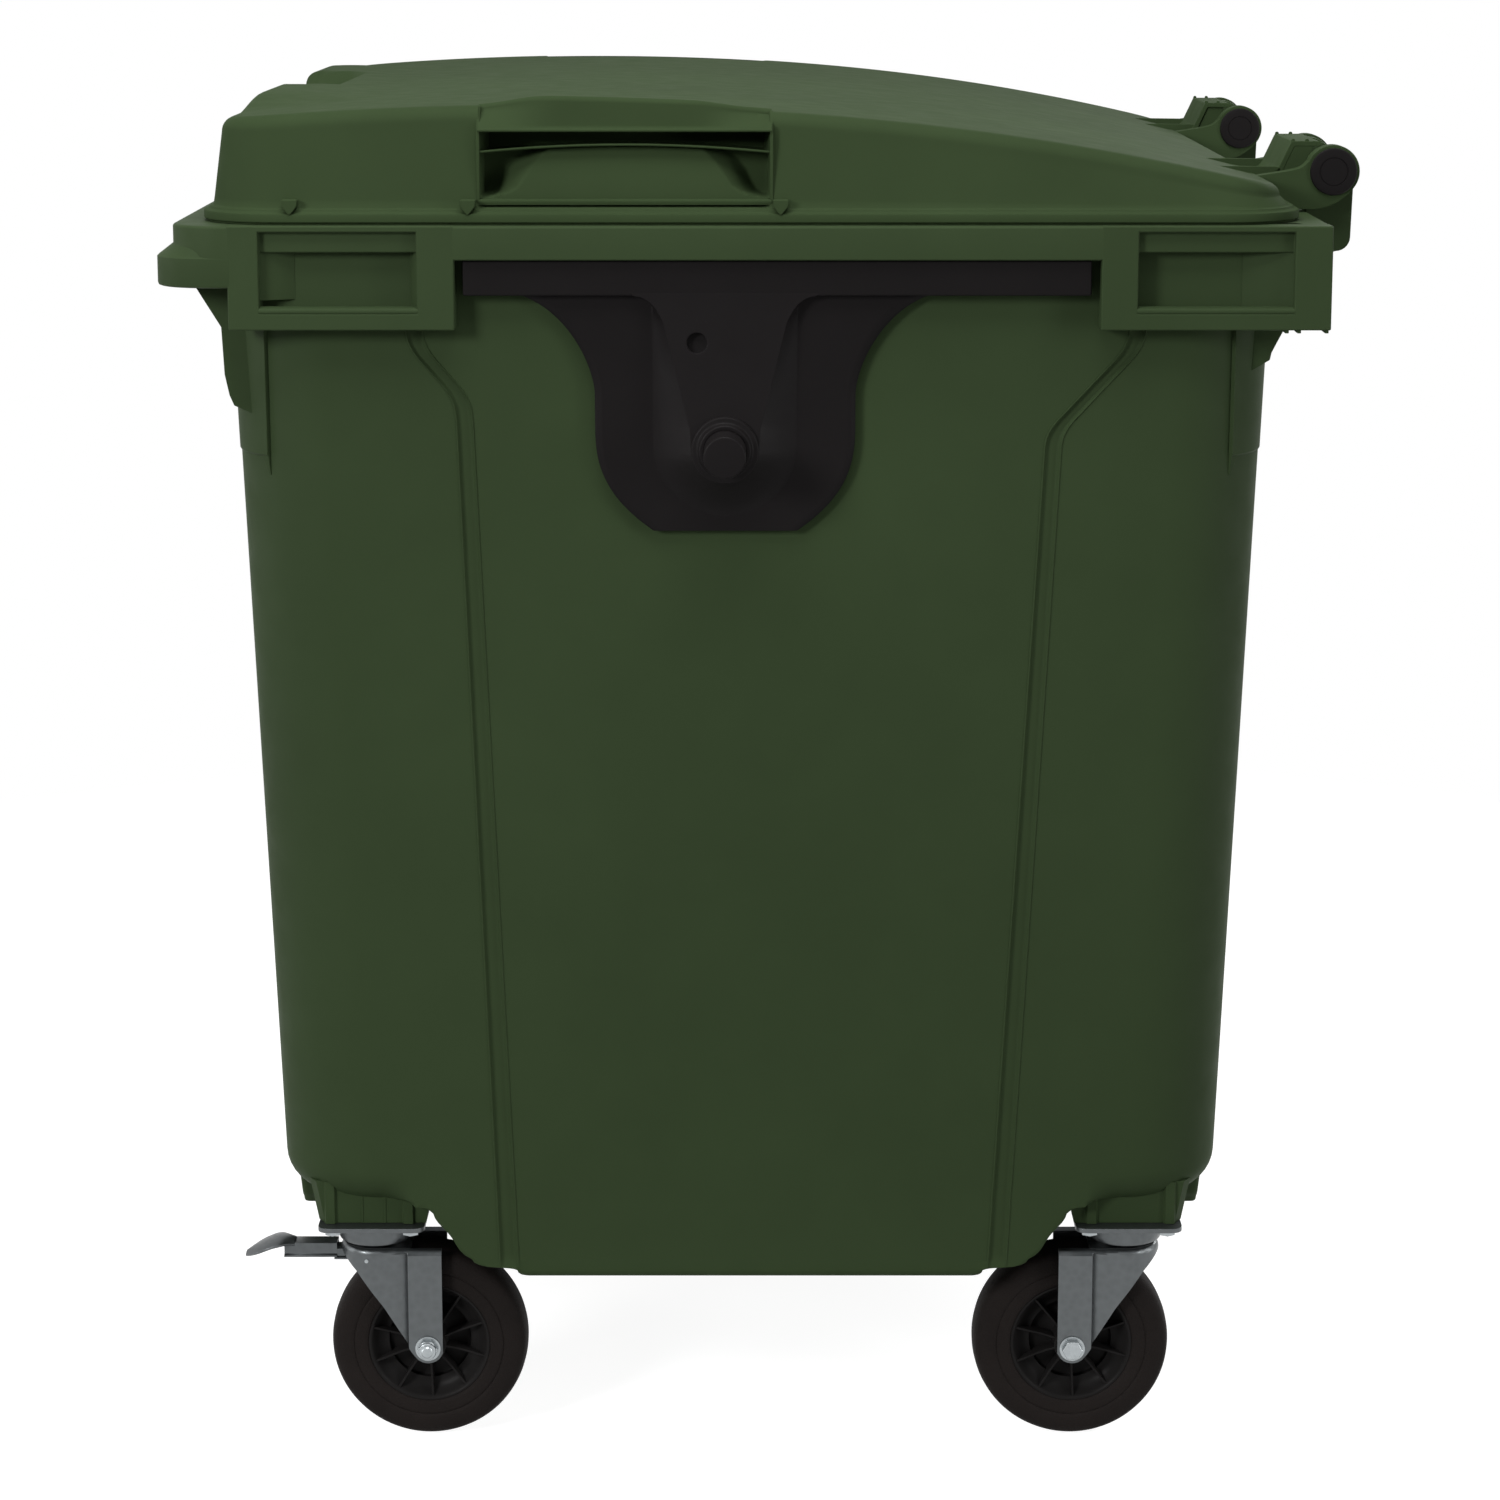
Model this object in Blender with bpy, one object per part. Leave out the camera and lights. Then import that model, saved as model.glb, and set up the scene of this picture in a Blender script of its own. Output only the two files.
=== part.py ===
"""Four-wheeled waste container of 1100 litres with a flat lid.

Metres, +Z up. The front, with the comb lifting bar, faces -Y and the lid hinges are at +Y.
Each piece is one object. Moving pieces hang from empties that stand on their joint axes.
"""

from math import acos, asin, cos, pi, radians, sin, sqrt, tan

import bmesh
import bpy
from mathutils import Matrix, Vector

# Clearances shared by all pieces
SEAT_GAP = 0.0003
RUN_GAP = 0.0004
OVERRUN = 0.004
HALF_SHARE = 0.5

# How many straight steps stand for a rounded corner and for a round piece
ARC_STEPS = 5
CORNER_POINTS = ARC_STEPS + 5
BOLT_SIDES = 8
SHANK_SIDES = 12
PIN_SIDES = 16
PLUG_SIDES = 20
SMALL_SIDES = 10

# Tub: walls and rim
WALL = 0.006
WALL_DRAFT = radians(1.95)
RIM_TOP = 1.245
RIM_HALF_X = 0.622
RIM_HALF_Y = 0.547
RIM_FRONT_R = 0.046
RIM_REAR_R = 0.007
RIM_BEVEL = 0.002
SKIRT_HEIGHT = 0.032
WALL_TOP_HALF_X = 0.599
WALL_TOP_HALF_Y = 0.505
BODY_CORNER_R = 0.095
BODY_EDGE_R = 0.035
BELLY_Z = 0.186
BELLY_SIDE_Z = 0.1955
CEILING_Z = 0.261

# Wheel pockets: radius about the swivel axis at each height above the belly, bottom to top
POCKET_STEP_R = 0.152
POCKET_STEP_WIDTH = 0.006
POCKET_FOOT_R = 0.128
POCKET_LOW_R = 0.112
POCKET_HIGH_R = 0.099
POCKET_TOP_R = 0.086
POCKET_HEIGHT_SHARES = (0.02, 0.16, 0.59, 1.0)
CEILING_TURN_R = 0.006

# Casters
WHEEL_R = 0.100
TYRE_WIDTH = 0.050
TYRE_SEAT_R = 0.0618
CASTER_HEIGHT = 0.238
SWIVEL_X = 0.498
SWIVEL_Y = 0.380
TRAIL = 0.053
PLATE_LENGTH = 0.135
PLATE_WIDTH = 0.107
PLATE_THICK = 0.0045
PLATE_CORNER_R = 0.012
PLATE_BOLT_X = 0.105
PLATE_BOLT_Y = 0.078
PLATE_BOLT_R = 0.005
PLATE_BOLT_HEAD_R = 0.0092
PLATE_BOLT_HEAD = 0.0065
PLATE_BOLT_DEPTH = 0.016
CUP_R = 0.0375
CUP_WALL = 0.0035
CUP_DEPTH = 0.0235
BEARING_R = 0.030
BEARING_INNER_R = 0.0125
NECK_R = 0.016
KING_PIN_R = 0.008
KING_HEAD_R = 0.0115
KING_HEAD = 0.0032
FORK_TOP_Z = 0.2045
FORK_SHEET = 0.004
FORK_OUTER_HALF = 0.0365
FORK_HEEL = 0.015
FORK_FOOT_R = 0.016
FORK_HOLE_R = 0.0065
CROWN_SHORT = 0.018
AXLE_R = 0.006
AXLE_HEAD_R = 0.0108
AXLE_HEAD = 0.0075
AXLE_THREAD_OUT = 0.013
BUSH_R = 0.0100
HUB_BORE_R = 0.0104
HUB_R = 0.0175
WEB_HALF = 0.003
WEB_STEP_R = 0.043
WEB_STEP_HALF = 0.009
RIM_WELL_R = 0.0585
RIM_LIP_R = 0.0615
RIM_HALF = 0.0225
RIB_COUNT = 10
RIB_THICK = 0.002
RIB_HUB_HALF = 0.0195
WHEEL_SEGMENTS = 20
TYRE_BAND_R = 0.076
TYRE_TREAD_SHARE = 0.62
TYRE_SHOULDER_SHARE = 0.045

# Brake pedals
PEDAL_ARM_HALF = 0.0105
PEDAL_ARM_TOP_Z = 0.1963
PEDAL_ARM_DEEP = 0.008
PEDAL_SHEET = 0.003
PEDAL_PIVOT_Y = 0.008
PEDAL_PIVOT_R = 0.004
PEDAL_REAR = 0.006
PEDAL_ARM_END = 0.091
PEDAL_PAD_RISE = 0.003
PEDAL_PAD_TOP = 0.100
PEDAL_TIP = 0.1325
PEDAL_TIP_DROP = 0.013
PEDAL_PAD_HALF = 0.0195
SHOE_FRONT = 0.031
SHOE_REAR = 0.020
SHOE_GAP = 0.0058
PEDAL_NOTCH_GAP = 0.0012

# Caster housings of the tub
HOUSING_HALF_X = 0.0605
HOUSING_HALF_Y = 0.0600
HOUSING_DRAFT = 0.006
HOUSING_RECESS = 0.003
HOUSING_RIB = 0.006
HOUSING_SLOT = 0.020
HOUSING_SLOT_DEEP = 0.040

# Comb lifting bar along the front
BAR_LEDGE = 0.0155
BAR_LEDGE_TOP_Z = 1.2155
BAR_SLOPE_TOP_Z = 1.228
BAR_BOTTOM_Z = 1.1865
BAR_CORNER_STEPS = 5
COMB_RIB = 0.005
COMB_RIB_COUNT = 9
COMB_RIB_SPAN = 0.560
COMB_RIB_FOOT_Z = 1.122
COMB_RIB_TAIL_Z = 1.034
COMB_RIB_PROUD = 0.014
COMB_RIB_TOP_OUT = 0.026

# Side pocket blocks: distances along Y from the tub's middle, the front block and the rear block
BLOCK_BOTTOM_Z = 1.147
FRONT_BLOCK = (-0.491, -0.278)
REAR_BLOCK = (0.3305, 0.547)
FRONT_POCKET = (-0.461, -0.314)
REAR_POCKET = (0.365, 0.514)
POCKET_TOP_Z = 1.2386
POCKET_WEB_Z = 1.2181
POCKET_LIP_Z = 1.1650
POCKET_WEB_DEEP = 0.007

# Corner posts under the blocks
POST_PROUD = 0.007
POST_FOOT_Z = 1.004
POST_START_Y = 0.467
POST_END_X = 0.470

# Channels pressed into the side walls: Y at the block, at the knee and at the foot, and knee heights
CHANNEL_DEEP = 0.0026
CHANNEL_TOP_Z = 1.155
FRONT_CHANNEL_KNEE_Z = 1.067
REAR_CHANNEL_KNEE_Z = 1.033
FRONT_CHANNEL = ((-0.333, -0.2805, -0.2486), (-0.316, -0.264, -0.2326))
REAR_CHANNEL = ((0.374, 0.280, 0.2395), (0.394, 0.2995, 0.2546))

# Lid
LID_SEAT_GAP = 0.0004
LID_THICK = 0.0045
LID_HALF_X = 0.612
LID_FRONT_Y = -0.523
LID_REAR_Y = 0.526
LID_CORNER_R = 0.078
FLANGE_HIGH = 0.0105
FLANGE_STEP = 0.0055
FLANGE_STEP_HIGH = 0.0035
LID_WALL_INSET = 0.0095
LID_WALL_DRAFT = radians(10.5)
LID_EDGE_R = 0.022
LID_TOP_STATIONS_Y = (-0.505, -0.406, -0.300, -0.194, -0.100, 0.0, 0.100, 0.200, 0.300, 0.400, 0.487)
LID_TOP_Z = (1.342, 1.350, 1.354, 1.356, 1.355, 1.3515, 1.344, 1.333, 1.319, 1.3015, 1.282)
BROW_RISE = 0.012
BROW_BACK = 0.150
BROW_HALF = 0.300
BROW_FADE = 0.180
LID_SIDE_SHARES = (0.0, 0.12, 0.25, 0.38, 0.5, 0.62, 0.75, 0.88, 1.0)
LID_CROSS_SHARES = (-1.0, -0.78, -0.52, -0.26, 0.0, 0.26, 0.52, 0.78, 1.0)
RECESS_HALF = 0.130
RECESS_BACK_Y = -0.440
RECESS_DEEP = 0.014
RECESS_WALL = 0.004
GRIP_FRONT_Y = -0.255
GRIP_REAR_Y = 0.020
GRIP_OUT_X = 0.602
GRIP_TOP_Z = 1.364
GRIP_LIP_Z = 1.333
GRIP_FLOOR_Z = 1.268
GRIP_DEEP = 0.034
GRIP_SKIN = 0.0045
GRIP_HOOD_BACK = 0.052
GRIP_END_SLOPE = 0.034
GRIP_SHELF_Z = 1.316
GRIP_SHELF = 0.005
GRIP_SHELF_OUT = 0.020
LUG_R = 0.0062
LUG_HIGH = 0.0125
LUG_SPACING_Y = (-0.4325, -0.265, 0.029)

# Hinges
HINGE_Y = 0.5705
HINGE_Z = 1.2845
HINGE_OUT_X = 0.458
HINGE_IN_X = 0.258
ARM_THICK = 0.018
ARM_R = 0.0265
ARM_DROP_Z = 1.2515
ARM_ROOT_Y = 0.480
ARM_TOP_Z = 1.300
PIN_R = 0.0100
PIN_CLEAR = 0.0004
CAP_R = 0.0230
CAP_THICK = 0.0035
CAP_PLUG_R = 0.0150
CAP_PLUG = 0.006
HOOD_FRONT_Y = 0.503
HOOD_FOOT_Y = 0.516
HOOD_RISE_Y = 0.530
HOOD_REAR_Y = 0.559
HOOD_TOP_Z = 1.3140
HOOD_FOOT_Z = 1.2885
HOOD_THICK = 0.0045
LUG_PLATE = 0.018
LUG_PLATE_R = 0.0235
LUG_BOTTOM_Z = 1.195
LUG_BOTTOM_R = 0.012
LUG_SIDE_GAP = 0.0015

# Trunnions
TRUNNION_Y = -0.0235
TRUNNION_Z = 1.035
BAR_FRONT_Y = -0.2705
BAR_REAR_Y = 0.3220
TRUNNION_BAR_BOTTOM_Z = 1.179
TRUNNION_BAR_X = 0.6150
BELL_THICK = 0.0085
BELL_BOTTOM_Z = 0.952
BELL_FOOT_HALF = 0.0685
BELL_NECK_HALF = 0.1235
BELL_TOP_HALF = 0.2170
BELL_NECK_TOP_Z = 1.085
BELL_NECK_LOW_Z = 1.052
BELL_ARC_STEPS = 4
U_POCKET_HALF = 0.0683
U_POCKET_DEEP = 0.0055
U_POCKET_FLARE = 0.012
TONGUE_TOP_HALF = 0.0605
TONGUE_TOP_Z = 1.165
BOSS_R = 0.0318
BOSS_OUT_X = 0.637
COLLAR_R = 0.0240
COLLAR_OUT_X = 0.643
TRUNNION_R = 0.0200
TRUNNION_OUT_X = 0.685
TRUNNION_BEVEL = 0.002
TRUNNION_SHANK_R = 0.008
TRUNNION_NUT_R = 0.0165
TRUNNION_NUT = 0.012
PLATE_EYE_R = 0.0095
PLATE_EYE_DROP = 0.100
PLATE_EYE_SIDE = 0.0265
SCREW_R = 0.004
SCREW_HEAD_R = 0.0085
SCREW_HEAD = 0.005
SCREW_DEPTH = 0.0055
SCREW_PLACE = (0.120, 1.150)

# Drain plug
DRAIN_R = 0.026
DRAIN_HEAD_R = 0.034
DRAIN_HEAD = 0.007
DRAIN_KEY = 0.010
DRAIN_KEY_HALF = 0.004
DRAIN_BOSS = 0.010
DRAIN_PLACE_Y = -0.120

# Base colours, roughness and metallic value of each material
GREEN = (0.040, 0.066, 0.030, 1.0)
LID_GREEN = (0.050, 0.083, 0.036, 1.0)
BLACK = (0.014, 0.012, 0.013, 1.0)
RUBBER = (0.024, 0.020, 0.018, 1.0)
ZINC = (0.42, 0.45, 0.47, 1.0)
STEEL = (0.55, 0.57, 0.58, 1.0)

SLOPE = tan(WALL_DRAFT)
POCKET_SKIN = BELL_THICK - U_POCKET_DEEP
SKIRT_BOTTOM_Z = RIM_TOP - SKIRT_HEIGHT
SEAT_Z = RIM_TOP + LID_SEAT_GAP
FORK_CROWN_BOTTOM_Z = FORK_TOP_Z - FORK_SHEET
PLATE_BOTTOM_Z = CASTER_HEIGHT - PLATE_THICK
CUP_BOTTOM_Z = PLATE_BOTTOM_Z - CUP_DEPTH
# The container's box runs from the comb bar to the hinge arms, and its middle is the frame's origin.
FRONT_END_Y = -(RIM_HALF_Y + BAR_LEDGE)
REAR_END_Y = HINGE_Y + ARM_R
MIDDLE_Y = (FRONT_END_Y + REAR_END_Y) * HALF_SHARE

MATERIALS = {}


def clear_scene():
    for obj in list(bpy.data.objects):
        bpy.data.objects.remove(obj, do_unlink=True)


def material(name, colour, roughness, metallic=0.0):
    if name not in MATERIALS:
        made = bpy.data.materials.new(name)
        made.use_nodes = True
        shader = made.node_tree.nodes["Principled BSDF"]
        shader.inputs["Base Color"].default_value = colour
        shader.inputs["Roughness"].default_value = roughness
        shader.inputs["Metallic"].default_value = metallic
        made.diffuse_color = colour
        MATERIALS[name] = made
    return MATERIALS[name]


def empty(name, place, parent=None):
    """An empty on a joint axis. Its place is given in the tub's own frame, whose Y starts at the tub's middle."""
    made = bpy.data.objects.new(name, None)
    bpy.context.scene.collection.objects.link(made)
    made.location = Vector(place)
    if parent:
        made.parent = parent
        made.location = Vector(place) - frame_place(parent)
    return made


def frame_place(obj):
    """Where an object's origin lies in the tub's own frame."""
    place = Vector()
    while obj is not None and obj.name != "container":
        place += obj.location
        obj = obj.parent
    return place


def solid(name, bm, look, parent, smooth=radians(35)):
    """An object from a bmesh whose points are in the tub's frame, moved onto its parent's origin. Its faces are split
    into triangles, which are flat, so that Booleans cut them exactly."""
    bmesh.ops.recalc_face_normals(bm, faces=bm.faces)
    bmesh.ops.triangulate(bm, faces=bm.faces)
    mesh = bpy.data.meshes.new(name)
    bmesh.ops.translate(bm, verts=bm.verts, vec=-frame_place(parent))
    bm.to_mesh(mesh)
    bm.free()
    mesh.shade_smooth()
    mesh.set_sharp_from_angle(angle=smooth)
    mesh.materials.append(look)
    made = bpy.data.objects.new(name, mesh)
    made.parent = parent
    bpy.context.scene.collection.objects.link(made)
    return made


def tool(target, bm, operation):
    """Adds a Boolean to a piece. The tool's own object is a wire helper that isn't rendered."""
    name = f"{target.name}_{operation.lower()}_{len(target.modifiers)}"
    helper = solid(name, bm, target.data.materials[0], target.parent)
    helper.hide_render = True
    helper.display_type = "WIRE"
    step = target.modifiers.new(helper.name, "BOOLEAN")
    step.operation = operation
    # The many cuts of these pieces share planes, where the exact solver leaves open edges.
    step.solver = "MANIFOLD" if target.name.startswith(("tub", "lid", "trunnion_plate")) else "EXACT"
    step.object = helper


def add(target, bm):
    tool(target, bm, "UNION")


def cut(target, bm):
    tool(target, bm, "DIFFERENCE")


def loft(rings, closed=False):
    """A closed skin through rings of equal count. Closed joins the last ring to the first, or else both are capped."""
    bm = bmesh.new()
    rows = [[bm.verts.new(point) for point in ring] for ring in rings]
    count = len(rows[0])
    pairs = list(zip(rows, rows[1:]))
    if closed:
        pairs.append((rows[-1], rows[0]))
    for low, high in pairs:
        for i in range(count):
            j = (i + 1) % count
            bm.faces.new((low[i], low[j], high[j], high[i]))
    if not closed:
        bm.faces.new(rows[0])
        bm.faces.new(rows[-1])
    return bm


def box(low, high):
    bm = bmesh.new()
    bmesh.ops.create_cube(bm, size=1.0)
    low = Vector(low)
    high = Vector(high)
    bmesh.ops.scale(bm, verts=bm.verts, vec=high - low)
    bmesh.ops.translate(bm, verts=bm.verts, vec=(low + high) * HALF_SHARE)
    return bm


def extrude(outline, axis, start, end):
    """A prism. The outline's two numbers are the axes that follow the extrusion axis in the order x, y, z."""
    def at(u, v, along):
        return {"x": (along, u, v), "y": (u, along, v), "z": (u, v, along)}[axis]

    return loft([[at(u, v, start) for u, v in outline], [at(u, v, end) for u, v in outline]])


def arc(centre, radius, start, end, steps):
    """Points from one angle to another about a centre, both ends included."""
    turn = (end - start) / steps
    return [
        (centre[0] + radius * cos(start + turn * k), centre[1] + radius * sin(start + turn * k))
        for k in range(steps + 1)
    ]


def turned_point(axis, centre, radius, height, angle):
    """A point at a radius, a height along the axis and an angle about it, measured from the centre."""
    u = radius * cos(angle)
    v = radius * sin(angle)
    offset = {"x": (height, u, v), "y": (v, height, u), "z": (u, v, height)}[axis]
    return Vector(centre) + Vector(offset)


def revolve(profile, axis, centre, segments, phase=0.0):
    """A turned solid from (radius, height along the axis) points. A closed profile off the axis gives a ring."""
    rings = []
    for k in range(segments):
        angle = phase + 2 * pi * k / segments
        rings.append([turned_point(axis, centre, radius, height, angle) for radius, height in profile])
    return loft(rings, closed=True)


def rod(axis, centre, radius, start, end, segments, phase=0.0):
    """A round or many-sided bar along an axis, from start to end measured from the centre."""
    rings = []
    for height in (start, end):
        turns = [phase + 2 * pi * k / segments for k in range(segments)]
        rings.append([turned_point(axis, centre, radius, height, turn) for turn in turns])
    return loft(rings)


def turned(profile, axis, centre, segments, phase=0.0):
    """A solid turned about the axis whose profile starts and ends near it, closed by flat ends."""
    rings = []
    for radius, height in profile:
        turns = [phase + 2 * pi * k / segments for k in range(segments)]
        rings.append([turned_point(axis, centre, radius, height, turn) for turn in turns])
    return loft(rings)


def nut_rings(axis, centre, corner_r, bore_r, start, end):
    """The four rings of a hexagon nut with a round bore, to be joined into a closed band."""
    rings = []
    edges = ((corner_r, start, False), (corner_r, end, False), (bore_r, end, True), (bore_r, start, True))
    for radius, height, round_ring in edges:
        ring = []
        for k in range(SHANK_SIDES):
            angle = 2 * pi / SHANK_SIDES * k
            reach = radius if round_ring or k % 2 == 0 else radius * cos(pi / 6)
            ring.append(turned_point(axis, centre, reach, height, angle))
        rings.append(ring)
    return rings


def wall_half_x(z):
    """Half of the tub's outer length at a height: the walls lean outwards by the draft."""
    return WALL_TOP_HALF_X - (RIM_TOP - z) * SLOPE


def wall_half_y(z):
    return WALL_TOP_HALF_Y - (RIM_TOP - z) * SLOPE


def pocket_start(radius, half_x):
    """How far from the tub's middle, along Y, a wheel pocket of this radius meets the side wall."""
    return SWIVEL_Y - sqrt(radius ** 2 - (half_x - SWIVEL_X) ** 2)


def plain_corner(half_x, half_y, corner_r, z, inset=0.0, drop=0.0, turn=0.0):
    """One corner of a rounded rectangle, from the side wall to the end wall. The two outermost points stand where
    the wheel pocket starts, raised by drop, and the rest lie at z, drawn in by turn as the edge rounds."""
    pocket_r = POCKET_TOP_R + inset
    start_y = pocket_start(pocket_r, wall_half_x(CEILING_Z) - inset)
    start_x = SWIVEL_X - pocket_r
    side = half_x - turn
    end = half_y - turn
    radius = max(corner_r - turn, RIM_BEVEL)
    centre = (side - radius, end - radius)
    points = [(half_x, start_y, z + drop), (side, start_y + BODY_EDGE_R, z)]
    points += [(x, y, z) for x, y in arc(centre, radius, 0.0, pi / 2, ARC_STEPS)]
    points += [(start_x + BODY_EDGE_R, end, z), (start_x, half_y, z + drop)]
    return points


def pocket_corner(half_x, half_y, pocket_r, z):
    """One corner of the belly's outline, where the wheel pocket is a round bay about the swivel axis."""
    start = -acos((half_x - SWIVEL_X) / pocket_r)
    bay = arc((SWIVEL_X, SWIVEL_Y), pocket_r, start, -pi, CORNER_POINTS - 2)
    return [(x, y, z) for x, y in bay] + [(SWIVEL_X - pocket_r, half_y, z)]


def four_corners(corner, front=None):
    """A full ring from one corner, mirrored three times. The front corners may differ from the rear ones."""
    front = front or corner
    ring = list(corner)
    ring += [(-x, y, z) for x, y, z in reversed(corner)]
    ring += [(-x, -y, z) for x, y, z in front]
    ring += [(x, -y, z) for x, y, z in reversed(front)]
    return ring


def tub_skin(inset):
    """Rings of the tub's wall from the belly to the rim, bottom to top, set in by a wall thickness or by nothing."""
    floor = BELLY_Z + inset
    side_floor = BELLY_SIDE_Z + inset
    ceiling = CEILING_Z + inset
    rings = []

    def belly(z, pocket_r):
        half_x = wall_half_x(z) - inset
        half_y = wall_half_y(z) - inset
        rings.append(four_corners(pocket_corner(half_x, half_y, pocket_r + inset, z)))

    belly(floor, POCKET_STEP_R + POCKET_STEP_WIDTH)
    belly(side_floor, POCKET_STEP_R)
    radii = (POCKET_FOOT_R, POCKET_LOW_R, POCKET_HIGH_R, POCKET_TOP_R)
    rise = ceiling - side_floor
    for share, radius in zip(POCKET_HEIGHT_SHARES, radii):
        belly(side_floor + rise * share, radius)

    turn_r = BODY_EDGE_R - inset
    for angle in (0.0, pi / 4, pi / 2):
        z = ceiling + turn_r * (1 - cos(angle))
        turn = turn_r * (1 - sin(angle))
        drop = CEILING_TURN_R * cos(angle)
        half_x = wall_half_x(z) - inset
        half_y = wall_half_y(z) - inset
        corner = plain_corner(half_x, half_y, BODY_CORNER_R - inset, z, inset, drop, turn)
        rings.append(four_corners(corner))
    return rings


def tub_mesh():
    """The tub's outer wall, the rim with its skirt, and the inner wall, as one closed skin."""
    def level(half_x, half_y, z, front_r, rear_r, inset=0.0):
        rear = plain_corner(half_x, half_y, rear_r, z, inset)
        front = plain_corner(half_x, half_y, front_r, z, inset)
        return four_corners(rear, front)

    under = RIM_TOP - WALL
    rings = tub_skin(0.0)
    rings.append(level(wall_half_x(under), wall_half_y(under), under, BODY_CORNER_R, BODY_CORNER_R))
    inner_x = RIM_HALF_X - WALL
    inner_y = RIM_HALF_Y - WALL
    inner_front_r = RIM_FRONT_R - WALL
    rings.append(level(inner_x, inner_y, under, inner_front_r, RIM_REAR_R))
    rings.append(level(inner_x, inner_y, SKIRT_BOTTOM_Z, inner_front_r, RIM_REAR_R))
    rings.append(level(RIM_HALF_X, RIM_HALF_Y, SKIRT_BOTTOM_Z, RIM_FRONT_R, RIM_REAR_R))
    rings.append(level(RIM_HALF_X, RIM_HALF_Y, RIM_TOP - RIM_BEVEL, RIM_FRONT_R, RIM_REAR_R))
    rings.append(level(RIM_HALF_X - RIM_BEVEL, RIM_HALF_Y - RIM_BEVEL, RIM_TOP, RIM_FRONT_R, RIM_REAR_R))
    mouth_r = BODY_CORNER_R - WALL
    rings.append(level(WALL_TOP_HALF_X - WALL, WALL_TOP_HALF_Y - WALL, RIM_TOP, mouth_r, mouth_r, WALL))
    rings += reversed(tub_skin(WALL))
    return loft(rings)


def comb_bar():
    """The lifting bar: a lip swept round the rim's front from block to block, stepping out by the ledge at the front."""
    path = []
    front = RIM_HALF_Y - RIM_FRONT_R
    side = RIM_HALF_X - RIM_FRONT_R
    path.append((RIM_HALF_X, FRONT_BLOCK[0] + OVERRUN, 1.0, 0.0))
    for k in range(BAR_CORNER_STEPS + 1):
        angle = -pi / 2 * k / BAR_CORNER_STEPS
        x = side + RIM_FRONT_R * cos(angle)
        y = -front + RIM_FRONT_R * sin(angle)
        path.append((x, y, cos(angle), sin(angle)))
    path += [(-x, y, -nx, ny) for x, y, nx, ny in reversed(path)]
    rings = []
    for x, y, nx, ny in path:
        out = BAR_LEDGE * ny ** 2 - SEAT_GAP
        section = (
            (-SEAT_GAP, BAR_SLOPE_TOP_Z),
            (out, BAR_LEDGE_TOP_Z),
            (out, BAR_BOTTOM_Z),
            (out - WALL, BAR_BOTTOM_Z),
            (out - WALL, BAR_LEDGE_TOP_Z - WALL * HALF_SHARE),
            (-WALL + SEAT_GAP, BAR_SLOPE_TOP_Z),
        )
        rings.append([(x + nx * s, y + ny * s, z) for s, z in section])
    return loft(rings)


def comb_rib(x):
    """A gusset between the lifting bar and the front wall, with its foot tapering into the wall."""
    def wall(z):
        return -wall_half_y(z) + WALL * HALF_SHARE

    bar = -RIM_HALF_Y + WALL * HALF_SHARE
    outline = [
        (wall(RIM_TOP - WALL * HALF_SHARE), RIM_TOP - WALL * HALF_SHARE),
        (bar, RIM_TOP - WALL * HALF_SHARE),
        (bar, BAR_BOTTOM_Z + WALL),
        (-(wall_half_y(BAR_BOTTOM_Z) + COMB_RIB_TOP_OUT), BAR_BOTTOM_Z),
        (-(wall_half_y(COMB_RIB_FOOT_Z) + COMB_RIB_PROUD), COMB_RIB_FOOT_Z),
        (-(wall_half_y(COMB_RIB_TAIL_Z) + COMB_RIB_PROUD * HALF_SHARE), COMB_RIB_TAIL_Z + BODY_EDGE_R * HALF_SHARE),
        (wall(COMB_RIB_TAIL_Z), COMB_RIB_TAIL_Z),
    ]
    return extrude(outline, "x", x - COMB_RIB * HALF_SHARE, x + COMB_RIB * HALF_SHARE)


def corner_post(sign_x, sign_y):
    """The thickened wall round a corner, under the blocks, standing proud of the wall."""
    rings = []
    for z in (POST_FOOT_Z, SKIRT_BOTTOM_Z + WALL):
        half_x = wall_half_x(z)
        half_y = wall_half_y(z)
        outer_r = BODY_CORNER_R + POST_PROUD
        inner_r = BODY_CORNER_R - WALL * HALF_SHARE
        centre = (half_x - BODY_CORNER_R, half_y - BODY_CORNER_R)
        first = asin((POST_START_Y - centre[1]) / outer_r)
        outer = arc(centre, outer_r, first, pi / 2, ARC_STEPS)
        inner = arc(centre, inner_r, pi / 2, asin((POST_START_Y - centre[1]) / inner_r), ARC_STEPS)
        outer.append((POST_END_X, half_y + POST_PROUD))
        inner.insert(0, (POST_END_X, half_y - WALL * HALF_SHARE))
        rings.append([(x * sign_x, y * sign_y, z) for x, y in outer + inner])
    return loft(rings)


def channel_cutter(sign, lines, knee_z):
    """A bent strip along the side wall whose floor keeps the channel's depth below the leaning wall."""
    heights = (CHANNEL_TOP_Z, knee_z, BELLY_Z - OVERRUN)
    front, rear = lines
    outline = list(zip(front, heights)) + list(reversed(list(zip(rear, heights))))
    floor = [(sign * (wall_half_x(z) - CHANNEL_DEEP), y, z) for y, z in outline]
    mouth = [(sign * (wall_half_x(z) + OVERRUN), y, z) for y, z in outline]
    return loft([floor, mouth])


def side_block(sign, span):
    low, high = span
    inner = wall_half_x(BLOCK_BOTTOM_Z) - WALL * HALF_SHARE
    top = RIM_TOP - WALL * HALF_SHARE
    outline = [(low, BLOCK_BOTTOM_Z), (high, BLOCK_BOTTOM_Z), (high, top), (low, top)]
    return extrude(outline, "x", sign * inner, sign * RIM_HALF_X)


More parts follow.
